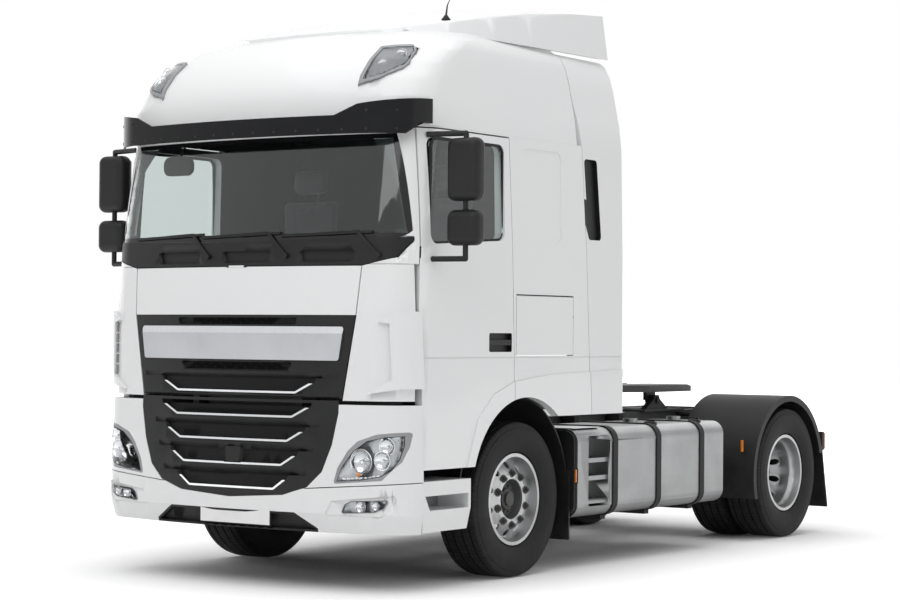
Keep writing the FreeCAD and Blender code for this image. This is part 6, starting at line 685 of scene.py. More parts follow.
def hit(tree, start, way):
    """Place and outward normal where a line first meets a surface."""
    place, normal, _, _ = tree.ray_cast(Vector(start), Vector(way).normalized())
    if normal and normal.dot(Vector(way)) > 0:
        normal = -normal
    return place, normal


def front_hit(tree, x, z):
    """Place and normal of the surface seen from the front at (x, z)."""
    return hit(tree, (x, FAR_AHEAD, z), (0, 1, 0))


def pairs(outline):
    """Each point of a closed outline with the one before it."""
    return [(outline[index - 1], point) for index, point in enumerate(outline)]


# Tyres

TYRE_HALF = 0.1575
TYRE_RADIUS = FRONT_AXLE.z
TYRE_STEPS = 96
TYRE_BEAD = 0.2985
GROOVE_WIDTH = 0.011
GROOVE_DEPTH = 0.013
GROOVE_SHARES = (-0.62, -0.22, 0.22, 0.62)
# Side wall from the bead to the shoulder: share of the half width, and height over the bead or below the crown
WALL_LOW = ((-0.70, 0.002), (-0.83, 0.012), (-0.93, 0.05), (-0.985, 0.10))
WALL_HIGH = ((-0.975, 0.075), (-0.955, 0.045), (-0.93, 0.042), (-0.91, 0.02), (-0.86, 0.008))
CARCASS = ((0.5 * TYRE_HALF, TYRE_RADIUS - 0.06), (-0.5 * TYRE_HALF, TYRE_RADIUS - 0.06))


def tyre_profile():
    """Half-round walls, shoulders and a crown with four grooves, closed through the carcass."""
    wall = [(share * TYRE_HALF, TYRE_BEAD + rise) for share, rise in WALL_LOW]
    wall += [(share * TYRE_HALF, TYRE_RADIUS - drop) for share, drop in WALL_HIGH]
    crown = []
    for share in GROOVE_SHARES:
        top = TYRE_RADIUS - 0.004 * abs(share) ** 2
        crown += [(share * TYRE_HALF + GROOVE_WIDTH * across, top - GROOVE_DEPTH * deep)
                  for across, deep in ((-1 / 2, 0), (-1 / 2.6, 1), (1 / 2.6, 1), (1 / 2, 0))]
    return wall + crown + [(-x, radius) for x, radius in wall[::-1]] + list(CARCASS)


def tyres(node, centres):
    """One or two tyres of a wheel, joined in one mesh."""
    whole = bmesh.new()
    for centre in centres:
        ring = mesh_from(outward(turned(bmesh.new(), tyre_profile(), centre, (1, 0, 0), TYRE_STEPS, True)), "ring")
        whole.from_mesh(ring)
        bpy.data.meshes.remove(ring)
    FINISH[node] = tyre_rubber(node + "_rubber", centres[0], TYRE_RADIUS)
    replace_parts(fitting(whole, node + "_tread", node, node, ROUND_ANGLE), node)


for side, word in SIDES:
    tyres("front_tyre_" + word, [middle("front_tyre_" + word)])
    low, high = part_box("rear_tyres_" + word)
    tyres("rear_tyres_" + word, [Vector((x, REAR_AXLE.y, REAR_AXLE.z))
                                 for x in (low[0] + TYRE_HALF, high[0] - TYRE_HALF)])


# Wheel nuts and the open hubs of the front wheels

NUT_COUNT = 10
NUT_RING = 0.1675
# Washer, nut and stud end: start and end along the axle, radius at each, sides
NUT_STACK = ((-0.004, 0.004, 0.0285, 0.0265, 20), (0.0, 0.021, 0.019, 0.0165, 6), (0.0, 0.029, 0.0105, 0.009, 10))
FLANGE_RADIUS = 0.171
BORE_RADIUS = 0.129
BORE_DEPTH = 0.062
FLANGE_PROFILE = ((-0.012, FLANGE_RADIUS + 0.001), (0.0, FLANGE_RADIUS - 0.003), (0.001, FLANGE_RADIUS - 0.006),
                  (0.001, BORE_RADIUS + 0.004), (-0.003, BORE_RADIUS), (-BORE_DEPTH, BORE_RADIUS - 0.004))
# Hub, as height over the floor of the bore and radius
HUB_PROFILE = ((0.0, BORE_RADIUS), (0.004, 0.105), (0.012, 0.098), (0.014, 0.074), (0.030, 0.068), (0.034, 0.058),
               (0.034, 0.0))
FLANGE_ARM = Vector((0, 0.15, 0))
HUB_BOLT_COUNT = 10
HUB_BOLT_RING = 0.086
HUB_BOLT_LENGTH = 0.012


def spokes(count, first=0.0):
    """Directions evenly spaced round an axle."""
    angles = [math.tau * (index + first) / count for index in range(count)]
    return [Vector((0, math.cos(angle), math.sin(angle))) for angle in angles]


def side_hit(skin, axle, side, arm):
    """Place where a line from the truck's side, an arm away from an axle, meets a wheel's skin."""
    return hit(skin, Vector((side * FAR_ASIDE, axle.y, axle.z)) + arm, (-side, 0, 0))[0]


def wheel_nuts(node, axle, side):
    """Ring of nuts with washers and stud ends, on the wheel's flange."""
    skin = surface_of(node)
    bm = bmesh.new()
    for spoke in spokes(NUT_COUNT, 0.5):
        place = side_hit(skin, axle, side, spoke * NUT_RING)
        for start, end, radius, far_radius, sides in NUT_STACK:
            rod_between(bm, place + Vector((side * start, 0, 0)), place + Vector((side * end, 0, 0)), radius,
                        far_radius, sides)
    fitting(outward(bm), node + "_nuts", "nut iron", node)


def open_hub(node, side):
    """Wide bore through the front wheel's flange, with the dark hub deep inside it."""
    face = side_hit(surface_of(node), FRONT_AXLE, side, FLANGE_ARM)
    centre = Vector((face.x, FRONT_AXLE.y, FRONT_AXLE.z))
    out = Vector((side, 0, 0))
    flange = turned(bmesh.new(), FLANGE_PROFILE, centre, out, 64)
    fitting(outward(flange), node + "_flange", "wheel silver", node)
    hub = turned(bmesh.new(), [(rise - BORE_DEPTH, radius) for rise, radius in HUB_PROFILE], centre, out, 48)
    for spoke in spokes(HUB_BOLT_COUNT):
        spot = centre - out * (BORE_DEPTH - HUB_BOLT_LENGTH) + spoke * HUB_BOLT_RING
        rod_between(hub, spot, spot + out * HUB_BOLT_LENGTH, 0.0075, 0.0065, 6)
    fitting(outward(hub), node + "_hub", "hub iron", node)


for side, word in SIDES:
    open_hub("front_wheel_" + word, side)
    wheel_nuts("front_wheel_" + word, FRONT_AXLE, side)
    wheel_nuts("rear_wheel_" + word, REAR_AXLE, side)


# Lamps: outlines of the front faces as (x, z), seen from the front on the left side

HEAD_LENS = ((0.803, 0.679), (0.834, 0.766), (0.909, 0.861), (0.996, 0.921), (1.103, 0.947), (1.191, 0.955),
             (1.190, 0.894), (1.173, 0.817), (1.138, 0.752), (1.082, 0.717), (0.970, 0.694))
FOG_LENS = ((0.838, 0.490), (0.862, 0.540), (0.902, 0.560), (1.120, 0.569), (1.100, 0.525), (1.046, 0.502))
ROOF_BEZEL = ((0.803, 3.361), (0.892, 3.369), (0.976, 3.372), (1.019, 3.335), (1.049, 3.238), (1.036, 3.203),
              (0.942, 3.139), (0.804, 3.099))
ROOF_LENS = ((0.828, 3.343), (0.911, 3.350), (0.986, 3.353), (1.010, 3.322), (1.030, 3.266), (1.026, 3.226),
             (0.951, 3.168), (0.832, 3.132))
GASKET = 0.005
FOG_LOW, FOG_TOP, HEAD_TOP = 0.4, 0.62, 1.1
FACES_AHEAD = -0.05


def grown(outline, gap):
    """Convex outline moved outwards by about a gap."""
    middle_x = sum(x for x, _ in outline) / len(outline)
    middle_z = sum(z for _, z in outline) / len(outline)
    made = []
    for x, z in outline:
        reach = math.hypot(x - middle_x, z - middle_z)
        made.append((x + (x - middle_x) / reach * gap, z + (z - middle_z) / reach * gap))
    return made


def within(outline, x, z):
    """True for a point inside a convex outline that runs clockwise in the front view."""
    return all((x1 - x0) * (z - z0) - (z1 - z0) * (x - x0) <= 0 for (x0, z0), (x1, z1) in pairs(outline))


def cut_along(bm, outline, side):
    """Front faces cut along an outline of (x, z) points."""
    for (x0, z0), (x1, z1) in pairs(outline):
        front = [face for face in bm.faces if face.normal.y < FACES_AHEAD]
        rest = {edge for face in front for edge in face.edges} | {vert for face in front for vert in face.verts}
        cut(bm, (side * x0, 0, z0), (side * (z1 - z0), 0, -(x1 - x0)), front + list(rest))


def front_lamp(name, side, outline, low_z, high_z):
    """Lens and housing of a headlamp or foglamp, cut from its CAD solid: the housing."""
    def seen_in(shape, face):
        centre = face.calc_center_median()
        return face.normal.y < FACES_AHEAD and within(shape, centre.x * side, centre.z)

    housing = merged_copy("front_lamps")
    middles = [(face, face.calc_center_median()) for face in housing.faces]
    far = [face for face, spot in middles if not (spot.x * side > 0 and low_z < spot.z < high_z)]
    bmesh.ops.delete(housing, geom=far, context="FACES")
    housing.normal_update()
    for shape in (outline, grown(outline, GASKET)):
        cut_along(housing, shape, side)
    housing.normal_update()
    lens = housing.copy()
    bmesh.ops.delete(lens, geom=[face for face in lens.faces if not seen_in(outline, face)], context="FACES")
    bmesh.ops.delete(housing, geom=[face for face in housing.faces if seen_in(outline, face)], context="FACES")
    for face in housing.faces:
        if seen_in(grown(outline, GASKET), face):
            face.material_index = 1
        elif face.normal.y >= FACES_AHEAD:
            face.material_index = 2
    walled(fitting(lens, name + "_lens", "lens", "front_lamps", angle=LENS_ANGLE, weighted=False), 0.003)
    return walled(fitting(housing, name + "_housing", ("lamp bezel", "rubber", "lamp inside"), "front_lamps",
                          weighted=False), 0.002)


# Reflector bowl and bulb cap, as shares of the depth along their line and of the radius
BOWL = ((0.0, 1.08), (0.0, 1.0), (-0.3, 0.93), (-0.6, 0.78), (-0.85, 0.52), (-0.97, 0.25), (-1.0, 0.02),
        (-1.06, 0.02), (-1.0, 0.30), (-0.88, 0.58), (-0.62, 0.84), (-0.3, 1.0), (-0.04, 1.08), (0.0, 1.08))
BULB = ((-0.98, 0.02), (-0.94, 0.16), (-0.45, 0.17), (-0.30, 0.13), (-0.25, 0.0))
BOWL_DEPTH = 0.42
TURNED_AHEAD = Vector((0, -2.2, 0))


def lamp_insides(node, name, side, finish, tree, kind, parts):
    """Bowls, bars or beads set behind a lens, each at a place in the front view."""
    bm = bmesh.new()
    for x, z, size, set_back in parts:
        place, normal = front_hit(tree, side * x, z)
        way = (normal + TURNED_AHEAD).normalized()
        spot = place - normal * set_back
        if kind == "bowl":
            for profile, steps in ((BOWL, 28), (BULB, 16)):
                turned(bm, [(size * BOWL_DEPTH * along, size * out) for along, out in profile], spot, way, steps)
        elif kind == "bar":
            block(bm, spot - Vector((size, 0.004, 0.005)), spot + Vector((size, 0.004, 0.005)), 0.002)
        else:
            bmesh.ops.create_icosphere(bm, subdivisions=2, radius=size, matrix=Matrix.Translation(spot))
    fitting(outward(bm), name, finish, node, angle=ROUND_ANGLE)


SHEET_CELL = 0.012
SHEET_REACH = 0.008


def sheet(tree, outline, side, lift, hole=None):
    """Sheet over the front of a skin, inside an outline of (x, z) points and clear of a hole."""
    bm = bmesh.new()
    xs, zs = zip(*outline)
    size = max(max(xs) - min(xs), max(zs) - min(zs)) / 2 + SHEET_CELL
    cells = int(2 * size / SHEET_CELL)
    centre = Matrix.Translation(((max(xs) + min(xs)) / 2, 0, (max(zs) + min(zs)) / 2))
    bmesh.ops.create_grid(bm, x_segments=cells, y_segments=cells, size=size,
                          matrix=centre @ Matrix.Rotation(math.pi / 2, 4, "X"))
    for shape, clear in ((outline, True), (hole or (), False)):
        for (x0, z0), (x1, z1) in pairs(shape):
            cut(bm, (x0, 0, z0), (-(z1 - z0), 0, x1 - x0), clear_outer=clear)
    if hole:
        middles = [(face, face.calc_center_median()) for face in bm.faces]
        bmesh.ops.delete(bm, geom=[face for face, spot in middles if within(hole, spot.x, spot.z)], context="FACES")
    for vert in bm.verts:
        rays = [front_hit(tree, side * (vert.co.x + aside), vert.co.z + above) for aside, above in (
            (0, 0), (SHEET_REACH, 0), (-SHEET_REACH, 0), (0, SHEET_REACH), (0, -SHEET_REACH))]
        vert.co.y = min(place.y for place, _ in rays if place) - lift
        vert.co.x *= side
    bmesh.ops.smooth_vert(bm, verts=bm.verts, factor=0.5, use_axis_y=True)
    outward(bm).normal_update()
    if sum(face.normal.y for face in bm.faces) > 0:
        bmesh.ops.reverse_faces(bm, faces=bm.faces)
    return bm


# Sheets of a roof lamp: name, outline, hole, height over the skin, finish, thickness
ROOF_SHEETS = (("bezel", ROOF_BEZEL, ROOF_LENS, 0.014, "lamp bezel", 0.016),
               ("lens", ROOF_LENS, None, 0.013, "lens", 0.003),
               ("back", ROOF_LENS, None, 0.001, "lamp shade", 0.002),
               ("gasket", grown(ROOF_LENS, GASKET), ROOF_LENS, 0.0142, "rubber", 0.004))
# What is inside the lamps: CAD node, name, finish, kind, and each one's x, z, size and distance behind the lens
INSIDES = (
    ("front_lamps", "headlamp_bowls", "reflector", "bowl",
     ((1.113, 0.893, 0.050, 0.016), (1.087, 0.809, 0.054, 0.016), (0.957, 0.800, 0.070, 0.014))),
    ("front_lamps", "headlamp_amber", "amber lens", "bead", ((0.938, 0.727, 0.012, 0.018),)),
    ("front_lamps", "headlamp_strip", "plate", "bar",
     tuple((0.845 + 0.028 * step, 0.698 + 0.0025 * step, 0.011, 0.014) for step in range(9))),
    ("front_lamps", "foglamp_bowls", "reflector", "bowl",
     ((0.955, 0.528, 0.034, 0.014), (1.055, 0.535, 0.024, 0.014))),
    ("roof_lamps", "rooflamp_eyes", "reflector", "bowl",
     ((0.905, 3.222, 0.034, -0.010), (0.965, 3.290, 0.034, -0.010))),
)
LAMP_TREES = {"front_lamps": surface_of("front_lamps"), "roof_lamps": surface_of("roof_lamps", "cab_roof")}
for side, word in SIDES:
    head = front_lamp("headlamp_" + word, side, HEAD_LENS, FOG_TOP, HEAD_TOP)
    front_lamp("foglamp_" + word, side, FOG_LENS, FOG_LOW, FOG_TOP)
    roof_pieces = []
    for part, outline, hole, lift, finish, thickness in ROOF_SHEETS:
        bm = sheet(LAMP_TREES["roof_lamps"], outline, side, lift, hole)
        piece = fitting(bm, "rooflamp_" + part + "_" + word, finish, "roof_lamps", weighted=False)
        roof_pieces.append(walled(piece, thickness))
    if side > 0:
        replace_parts(head, "front_lamps")
        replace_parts(roof_pieces[0], "roof_lamps")
    for node, name, finish, kind, parts in INSIDES:
        lamp_insides(node, name + "_" + word, side, finish, LAMP_TREES[node], kind, parts)


# Number plate in its holder

PLATE_LOW = Vector((-0.24, -2.9925, 0.390))
PLATE_HIGH = Vector((0.32, -2.9925, 0.502))
BRACKET_XS = (-0.12, 0.20)
plate = block(bmesh.new(), PLATE_LOW, PLATE_HIGH + Vector((0, 0.004, 0)), 0.0015, 2)
fitting(plate, "number_plate", "plate", "front_bumper")
holder = block(bmesh.new(), PLATE_LOW + Vector((-0.007, 0.0045, -0.006)), PLATE_HIGH + Vector((0.007, 0.016, 0.006)),
               0.003, 2)
for x in BRACKET_XS:
    block(holder, (x - 0.02, PLATE_LOW.y + 0.014, 0.42), (x + 0.02, PLATE_LOW.y + 0.075, 0.45))
fitting(holder, "plate_holder", "black plastic", "front_bumper")


# Roof aerial on its rubber foot

AERIAL_FOOT = ((-0.004, 0.030), (0.006, 0.030), (0.016, 0.020), (0.030, 0.012), (0.034, 0.0))
AERIAL_TIP_Z = 3.745
foot, _ = hit(surface_of("cab_roof", "roof_spoiler"), at(0.80, -0.334, 5.0), (0, 0, -1))
bend = foot + Vector((-0.004, 0.02, 0.10))
aerial = turned(bmesh.new(), AERIAL_FOOT, foot, (0, 0, 1), 24)
rod_between(aerial, foot + Vector((0, 0, 0.03)), bend, 0.007, 0.004, 12)
rod_between(aerial, bend, Vector((foot.x - 0.01, foot.y + 0.055, AERIAL_TIP_Z)), 0.004, 0.0025, 10)
fitting(outward(aerial), "roof_aerial", "rubber", "cab_roof")


# Side markers on the tank ends, in rubber seats

MARKERS = (at(1.192, 0.6675, 0.628), at(1.128, 3.192, 0.735))
markers = bmesh.new()
marker_seats = bmesh.new()
for side, _ in SIDES:
    for x, y, z in MARKERS:
        low = Vector((side * x - 0.011, y - 0.012, z - 0.045))
        block(markers, low, low + Vector((0.022, 0.012, 0.090)), 0.005, 3)
        block(marker_seats, low + Vector((-0.004, 0.009, -0.006)), low + Vector((0.026, 0.020, 0.096)), 0.003, 2)
fitting(markers, "side_markers", "amber lens", "tank_ends")
fitting(marker_seats, "marker_seats", "rubber", "tank_ends")


# Two glasses in each mirror, with rubber rims

MIRROR_X = 1.447
MIRROR_HALF = 0.1
MIRROR_HEIGHTS = ((2.400, 2.743), (2.128, 2.308))
# Inset from the mirror's edge, reach behind its back, rounding
GLASS_FIT = (0.012, 0.0006, 0.018)
RIM_FIT = (0.004, -0.0012, 0.022)
for side, word in SIDES:
    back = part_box("mirror_" + word)[1][1]
    glasses = bmesh.new()
    rims = bmesh.new()
    for low_z, top_z in MIRROR_HEIGHTS:
        for bm, (inset, proud, bevel) in ((glasses, GLASS_FIT), (rims, RIM_FIT)):
            half = MIRROR_HALF - inset
            block(bm, (side * MIRROR_X - half, back - 0.006, low_z + inset),
                  (side * MIRROR_X + half, back + proud, top_z - inset), bevel, 4, along=1)
    fitting(glasses, "mirror_glass_" + word, "mirror glass", "mirror_" + word)
    fitting(rims, "mirror_rim_" + word, "rubber", "mirror_" + word)


# Two rows of rivets on the sun visor

RIVET_PITCH = 0.16
RIVET_STEPS = 8
RIVET_ROWS = (2.812, 2.925)
RIVET = ((-0.002, 0.009), (0.001, 0.009), (0.003, 0.006), (0.0035, 0.0))
visor_skin = surface_of("sun_visor")
bm = bmesh.new()
for side, _ in SIDES:
    for step in range(0 if side > 0 else 1, RIVET_STEPS):
        for z in RIVET_ROWS:
            place, normal = front_hit(visor_skin, side * RIVET_PITCH * step, z)
            if place:
                turned(bm, RIVET, place, normal, 12)
fitting(outward(bm), "visor_rivets", "rubber", "sun_visor")


# Tail lamps: a dark base with sections on it, and a reflector in the clear one

TAIL_BASE = (1.038, 2.897, 0.661), (1.222, 2.940, 0.809)
# Finish, inner and outer x, reach in y and z, rounding, steps of the rounding
LENS_REACH = ((2.936, 2.970), (0.668, 0.802), 0.008, 4)
TAIL_SECTIONS = (("red lens", 1.173, 1.219, *LENS_REACH), ("amber lens", 1.126, 1.168, *LENS_REACH),
                 ("lens", 1.083, 1.121, *LENS_REACH), ("red lens", 1.042, 1.078, *LENS_REACH),
                 ("reflector", 1.087, 1.117, (2.938, 2.945), (0.676, 0.794), 0.002, 2))
for side, word in SIDES:
    base = block(bmesh.new(), *((side * x, y, z) for x, y, z in TAIL_BASE), 0.006, 3)
    sections = {finish: bmesh.new() for finish in ("red lens", "amber lens", "lens", "reflector")}
    for finish, near, far, ys, zs, bevel, segments in TAIL_SECTIONS:
        block(sections[finish], (side * near, ys[0], zs[0]), (side * far, ys[1], zs[1]), bevel, segments)
    base_piece = fitting(base, "tail_lamp_base_" + word, "rubber", "tail_lamps")
    for finish, bm in sections.items():
        fitting(bm, "tail_" + finish.replace(" ", "_") + "_" + word, finish, "tail_lamps")
    if side > 0:
        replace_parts(base_piece, "tail_lamps")


# Tank fittings: step plate over the front end, filler caps with locks

STEP_PLATE = (0.93, -0.80, 0.9425), (1.15, -0.46, 0.9465)
CAP_XYS = ((1.10, 0.33), (1.10, 0.98))
CAP = ((-0.01, 0.048), (0.010, 0.048), (0.016, 0.044), (0.019, 0.030), (0.024, 0.026), (0.024, 0.0))
tank_skin = surface_of("fuel_tanks")
for side, word in SIDES:
    step_plate = block(bmesh.new(), *((side * x, y, z) for x, y, z in STEP_PLATE), 0.001, 1)
    fitting(step_plate, "tank_step_plate_" + word, "chequer", "fuel_tanks")
    caps = bmesh.new()
    for x, y in CAP_XYS:
        place, normal = hit(tank_skin, (side * x, y, 2.0), (0, 0, -1))
        turned(caps, CAP, place, normal, 28)
        block(caps, place + Vector((-0.036, -0.007, 0.02)), place + Vector((0.036, 0.007, 0.032)), 0.004, 2)
    fitting(outward(caps), "filler_caps_" + word, "black plastic", "fuel_tanks")


# Rubber round the door windows

# Corners of the window opening, as (y, z) with y from the front axle
WINDOW = ((-1.090, 2.121), (-1.074, 2.782), (-0.280, 2.782), (-0.262, 2.172))
WINDOW_ROUND = 0.060
SEAL_GAP = 0.0008
SEAL_WIDTH = 0.016
SEAL_DEPTH = 0.012


def ring_between(outer, inner, deep):
    """Flat ring between two outlines of points, pushed back by a depth."""
    bm = bmesh.new()
    edges = []
    for outline in (outer, inner):
        edges += [bm.edges.new(ends) for ends in pairs([bm.verts.new(point) for point in outline])]
    made = bmesh.ops.bridge_loops(bm, edges=edges)["faces"]
    pushed = bmesh.ops.extrude_face_region(bm, geom=made)["geom"]
    bmesh.ops.translate(bm, vec=deep, verts=[item for item in pushed if isinstance(item, bmesh.types.BMVert)])
    return outward(bm)


def rounded(corners, radius, steps=6):
    """Outline of (a, b) corners with every corner turned to an arc."""
    made = []
    for index, corner in enumerate(corners):
        spot = Vector(corner)
        back = (Vector(corners[index - 1]) - spot).normalized()
        ahead = (Vector(corners[(index + 1) % len(corners)]) - spot).normalized()
        half = back.angle(ahead) / 2
        centre = spot + (back + ahead).normalized() * (radius / math.sin(half))
        start = spot + back * (radius / math.tan(half)) - centre
        end = spot + ahead * (radius / math.tan(half)) - centre
        for step in range(steps + 1):
            share = step / steps
            made.append(tuple(centre + (start * (1 - share) + end * share).normalized() * radius))
    return made


shrunk = [(y + (SEAL_WIDTH if y < -0.7 else -SEAL_WIDTH), z + (SEAL_WIDTH if z < 2.4 else -SEAL_WIDTH))
          for y, z in WINDOW]
for side, word in SIDES:
    x = side * (abs(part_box("door_glass_" + word)[1 if side > 0 else 0][0]) + SEAL_GAP)
    outer, inner = ([at(x, y, z) for y, z in rounded(outline, radius)]
                    for outline, radius in ((WINDOW, WINDOW_ROUND), (shrunk, 0.046)))
    seal = ring_between(outer, inner, Vector((-side * SEAL_DEPTH, 0, 0)))
    fitting(seal, "window_seal_" + word, "rubber", "door_" + word)


# Cab interior: padded seats and a bunk on their frames, and a kerb mirror

PUFF_PRESSURE = 4.0
PUFF_VOXEL = 0.012
PUFF_CAP = 0.022
PUFF_FRAMES = 20
CHANNEL_HALF = 0.02
LONG_EDGE = 0.10


def apply_modifiers(piece):
    """Puts the evaluated mesh of a piece in place of its own, with no modifiers left."""
    bpy.context.view_layer.update()
    evaluated = piece.evaluated_get(bpy.context.evaluated_depsgraph_get())
    mesh = bpy.data.meshes.new_from_object(evaluated)
    piece.modifiers.clear()
    piece.data = mesh


def puffed(piece):
    """Lets a cushion swell under pressure, with each point's travel capped."""
    remesh = piece.modifiers.new("remesh", "REMESH")
    remesh.mode = "VOXEL"
    remesh.voxel_size = PUFF_VOXEL
    apply_modifiers(piece)
    start = [vert.co.copy() for vert in piece.data.vertices]
    settings = piece.modifiers.new("swell", "CLOTH").settings
    settings.use_pressure = True
    settings.uniform_pressure_force = PUFF_PRESSURE
    settings.effector_weights.gravity = 0.0
    scene = bpy.context.scene
    for frame_number in range(1, PUFF_FRAMES + 1):
        scene.frame_set(frame_number)
    apply_modifiers(piece)
    scene.frame_set(1)
    for vert, before in zip(piece.data.vertices, start):
        moved = vert.co - before
        if moved.length > PUFF_CAP:
            vert.co = before + moved.normalized() * PUFF_CAP


def corners(x, half, ys, zs):
    """Corners of a box across a middle x, with its half width and its reach in y from the front axle and in z."""
    return at(x - half, ys[0], zs[0]), at(x + half, ys[1], zs[1])


def cushion(name, x, half, ys, zs, bevel, panels, dip=0.006):
    """Crowned pad with rounded sides and stitched channels between its panels."""
    low, high = corners(x, half, ys, zs)
    bm = block(bmesh.new(), low, high, bevel, 4)
    bmesh.ops.subdivide_edges(bm, edges=[edge for edge in bm.edges if edge.calc_length() > LONG_EDGE], cuts=5,
                              use_grid_fill=True)
    piece = linked(name, mesh_from(bm, name))
    puffed(piece)
    size = high - low
    thin = min(range(3), key=lambda axis: size[axis])
    spread = [axis for axis in range(3) if axis != thin]
    for vert in piece.data.vertices:
        for axis, count in zip(spread, panels):
            share = (vert.co[axis] - low[axis]) / size[axis] * count
            near = abs(share - round(share)) * size[axis] / count
            if 0 < round(share) < count and near < CHANNEL_HALF:
                pull = dip * (1 - near / CHANNEL_HALF) ** 2
                vert.co[thin] += pull if vert.co[thin] < (low[thin] + high[thin]) / 2 else -pull
    for polygon in piece.data.polygons:
        polygon.use_smooth = True
    piece.data.materials.append(FINISH["cloth"])
    fine = piece.modifiers.new("fine", "SUBSURF")
    fine.levels = fine.render_levels = 1
    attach(piece, "cab")


# Cushions of a seat: name, half width, reach in y and z, rounding, panels
SEAT_CUSHIONS = (("seat_pad_", 0.24, (-0.42, 0.02), (1.845, 1.965), 0.045, (3, 1)),
                 ("seat_back_", 0.235, (-0.055, 0.045), (1.98, 2.50), 0.045, (3, 1)),
                 ("head_rest_", 0.13, (-0.05, 0.04), (2.535, 2.70), 0.035, (1, 1)))
# Pedestal and pan of a seat: half width, reach in y and z, rounding
SEAT_BLOCKS = ((0.18, (-0.35, 0.0), (1.505, 1.72), 0.02), (0.25, (-0.43, 0.055), (1.72, 1.835), 0.03))
BUNK_BASE = (1.115, (0.135, 0.545), (1.86, 1.938))
BUNK_MATTRESS = (1.08, (0.165, 0.515), (1.95, 2.08))
HEAD_REST_STALKS = (-0.06, 0.06)
SEAT_XS = {"driver": 0.56, "passenger": -0.56}
frames = bmesh.new()
for word, x in SEAT_XS.items():
    for name, *measures in SEAT_CUSHIONS:
        cushion(name + word, x, *measures)
    for half, ys, zs, bevel in SEAT_BLOCKS:
        block(frames, *corners(x, half, ys, zs), bevel, 3)
    for stalk in HEAD_REST_STALKS:
        rod_between(frames, at(x + stalk, 0.0, 2.48), at(x + stalk, 0.0, 2.56), 0.007)
block(frames, *corners(0, *BUNK_BASE), 0.015, 3)
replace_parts(fitting(frames, "seat_frames", "interior plastic", "seats"), "seats")
cushion("bunk_mattress", 0, *BUNK_MATTRESS, 0.045, (5, 1), 0.004)

KERB_MIRROR = Vector((-0.82, -2.575, 2.665))
KERB_HALF = Vector((0.12, 0.016, 0.062))
STALK = [KERB_MIRROR + Vector(bend) for bend in ((0.0, 0.0, 0.055), (0.03, 0.02, 0.10), (0.03, 0.03, 0.17))]
bm = block(bmesh.new(), KERB_MIRROR - KERB_HALF, KERB_MIRROR + KERB_HALF, 0.05, 6, along=1)
rod_between(bm, STALK[0], STALK[1], 0.008)
rod_between(bm, STALK[1], STALK[2], 0.008)
fitting(bm, "kerb_mirror", "black plastic", "dashboard")


# Stage, light and camera

FLOOR_HALF = 60.0
SENSOR = 36.0
PHOTO_WIDTH = 900
FOCAL_PIXELS = 2236.6
CAMERA_PLACE = at(9.115, -12.152, 1.575)
AZIMUTH, ELEVATION, ROLL = math.radians(34.97), math.radians(-0.87), math.radians(0.46)


def make_camera():
    """The photo's camera, looking along an azimuth and elevation, rolled."""
    data = bpy.data.cameras.new("photo_view")
    data.sensor_width = SENSOR
    data.lens = FOCAL_PIXELS / PHOTO_WIDTH * SENSOR
    data.clip_end = 200.0
    camera = linked("photo_view", data)
    level = math.cos(ELEVATION)
    back = Vector((math.sin(AZIMUTH) * level, -math.cos(AZIMUTH) * level, math.sin(ELEVATION)))
    right = Vector((math.cos(AZIMUTH), math.sin(AZIMUTH), 0))
    up = back.cross(right)
    across = math.cos(ROLL) * right + math.sin(ROLL) * up
    along = -math.sin(ROLL) * right + math.cos(ROLL) * up
    columns = [(*vector, 0.0) for vector in (across, along, back)] + [(*CAMERA_PLACE, 1.0)]
    camera.matrix_world = Matrix(columns).transposed()
    bpy.context.scene.camera = camera


def seen_rays(tree):
    """1 for camera, glossy and transmission rays, which show the background."""
    path = add(tree, "LightPath").outputs
    some = maths(tree, "MAXIMUM", path["Is Camera Ray"], path["Is Glossy Ray"])
    return maths(tree, "MAXIMUM", some, path["Is Transmission Ray"])


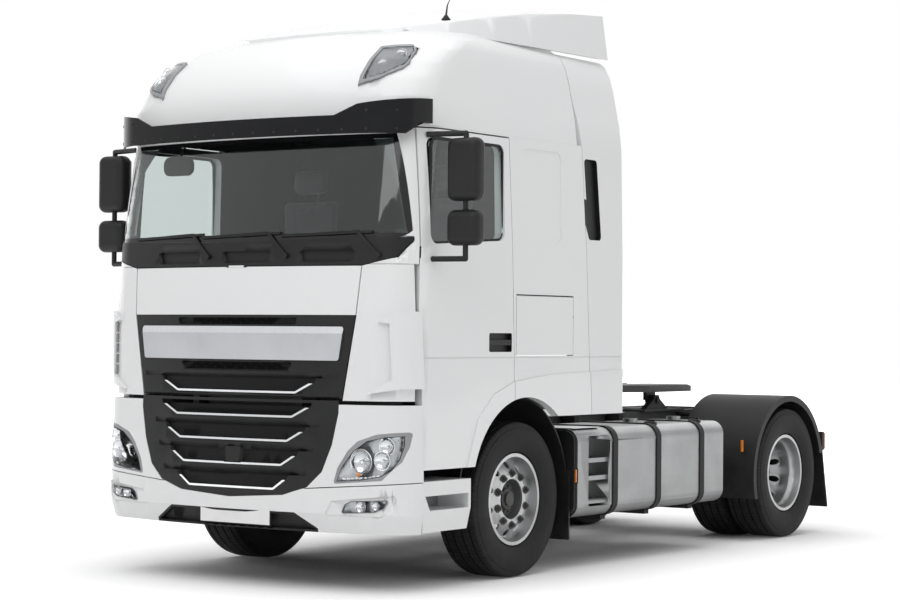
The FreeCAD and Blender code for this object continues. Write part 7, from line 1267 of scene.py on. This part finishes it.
def make_floor():
    """Pale floor that keeps the truck's shadow and glows to white away from it, with the glow held back over the
    truck's footprint as a painted shadow.
    """
    bm = bmesh.new()
    bmesh.ops.create_grid(bm, x_segments=1, y_segments=1, size=FLOOR_HALF)
    floor = linked("floor", mesh_from(bm, "floor"))
    material, tree, shader = blank_material("studio_floor")
    place = own_place(tree)
    tone = mixed(tree, noise(tree, place, 0.8), rgb(0.93, 0.93, 0.93), rgb(0.95, 0.95, 0.95))
    far = vectors(tree, "DISTANCE", place, (0.0, 0.5, 0.0))["Value"]
    # No glow over a box round the truck's footprint, rising over 1.6 m past it: a painted shadow under the truck.
    # Far off, the glow turns the floor white.
    past_shadow_box = vectors(tree, "SUBTRACT", vectors(tree, "ABSOLUTE", place)[0], (0.8, 2.5, 0.0))[0]
    painted_shadow_distance = vectors(tree, "LENGTH", vectors(tree, "MAXIMUM", past_shadow_box)[0])["Value"]
    glow_and_painted_shadow = plus(tree, times(tree, ramp(tree, painted_shadow_distance, 0.0, 1.6), 0.36), times(tree, ramp(tree, far, 4.0, 9.0), 0.8))
    fill(tree, shader, Base_Color=tone, Roughness=0.9, Specular_IOR_Level=0.1, Emission_Color=rgb(1, 1, 1),
         Emission_Strength=times(tree, seen_rays(tree), glow_and_painted_shadow))
    floor.data.materials.append(material)


def make_world():
    """White to the camera and in reflections, and a dim sky as light."""
    world = bpy.data.worlds.new("studio")
    bpy.context.scene.world = world
    world.use_nodes = True
    tree = world.node_tree
    height = maths(tree, "MAXIMUM", split(tree, add(tree, "TexCoord").outputs["Generated"])["Z"], 0.0)
    sky = plus(tree, 0.15, times(tree, maths(tree, "POWER", height, 0.7), 0.5))
    seen = seen_rays(tree)
    strength = plus(tree, seen, times(tree, minus(tree, 1.0, seen), sky))
    fill(tree, tree.nodes["Background"], Color=rgb(1, 1, 1), Strength=strength)


def soft_lamp(name, place, target, size, power):
    """Area lamp aimed at a target, unseen by the camera."""
    data = bpy.data.lights.new(name, "AREA")
    data.shape = "RECTANGLE"
    data.size, data.size_y = size
    data.energy = power
    light = linked(name, data)
    light.location = place
    light.rotation_euler = (Vector(target) - Vector(place)).to_track_quat("-Z", "Y").to_euler()
    light.visible_camera = False


# Name, place, target, size and power
SOFT_LAMPS = (("top", (0.5, -2.0, 9.0), (0, 0, 1.5), (9.0, 12.0), 340.0),
              ("front", (2.0, -10.5, 8.0), (0, -2.5, 1.5), (7.0, 5.0), 290.0),
              ("side", (11.0, 1.0, 4.5), (0, 0, 1.5), (9.0, 5.0), 118.0),
              ("far_side", (-11.0, 1.0, 4.5), (0, 0, 1.5), (9.0, 5.0), 110.0),
              ("back", (0.0, 12.0, 6.0), (0, 1.0, 1.5), (8.0, 5.0), 140.0))
make_world()
make_floor()
make_camera()
for each in SOFT_LAMPS:
    soft_lamp(*each)
bpy.context.scene.view_settings.view_transform = "Standard"
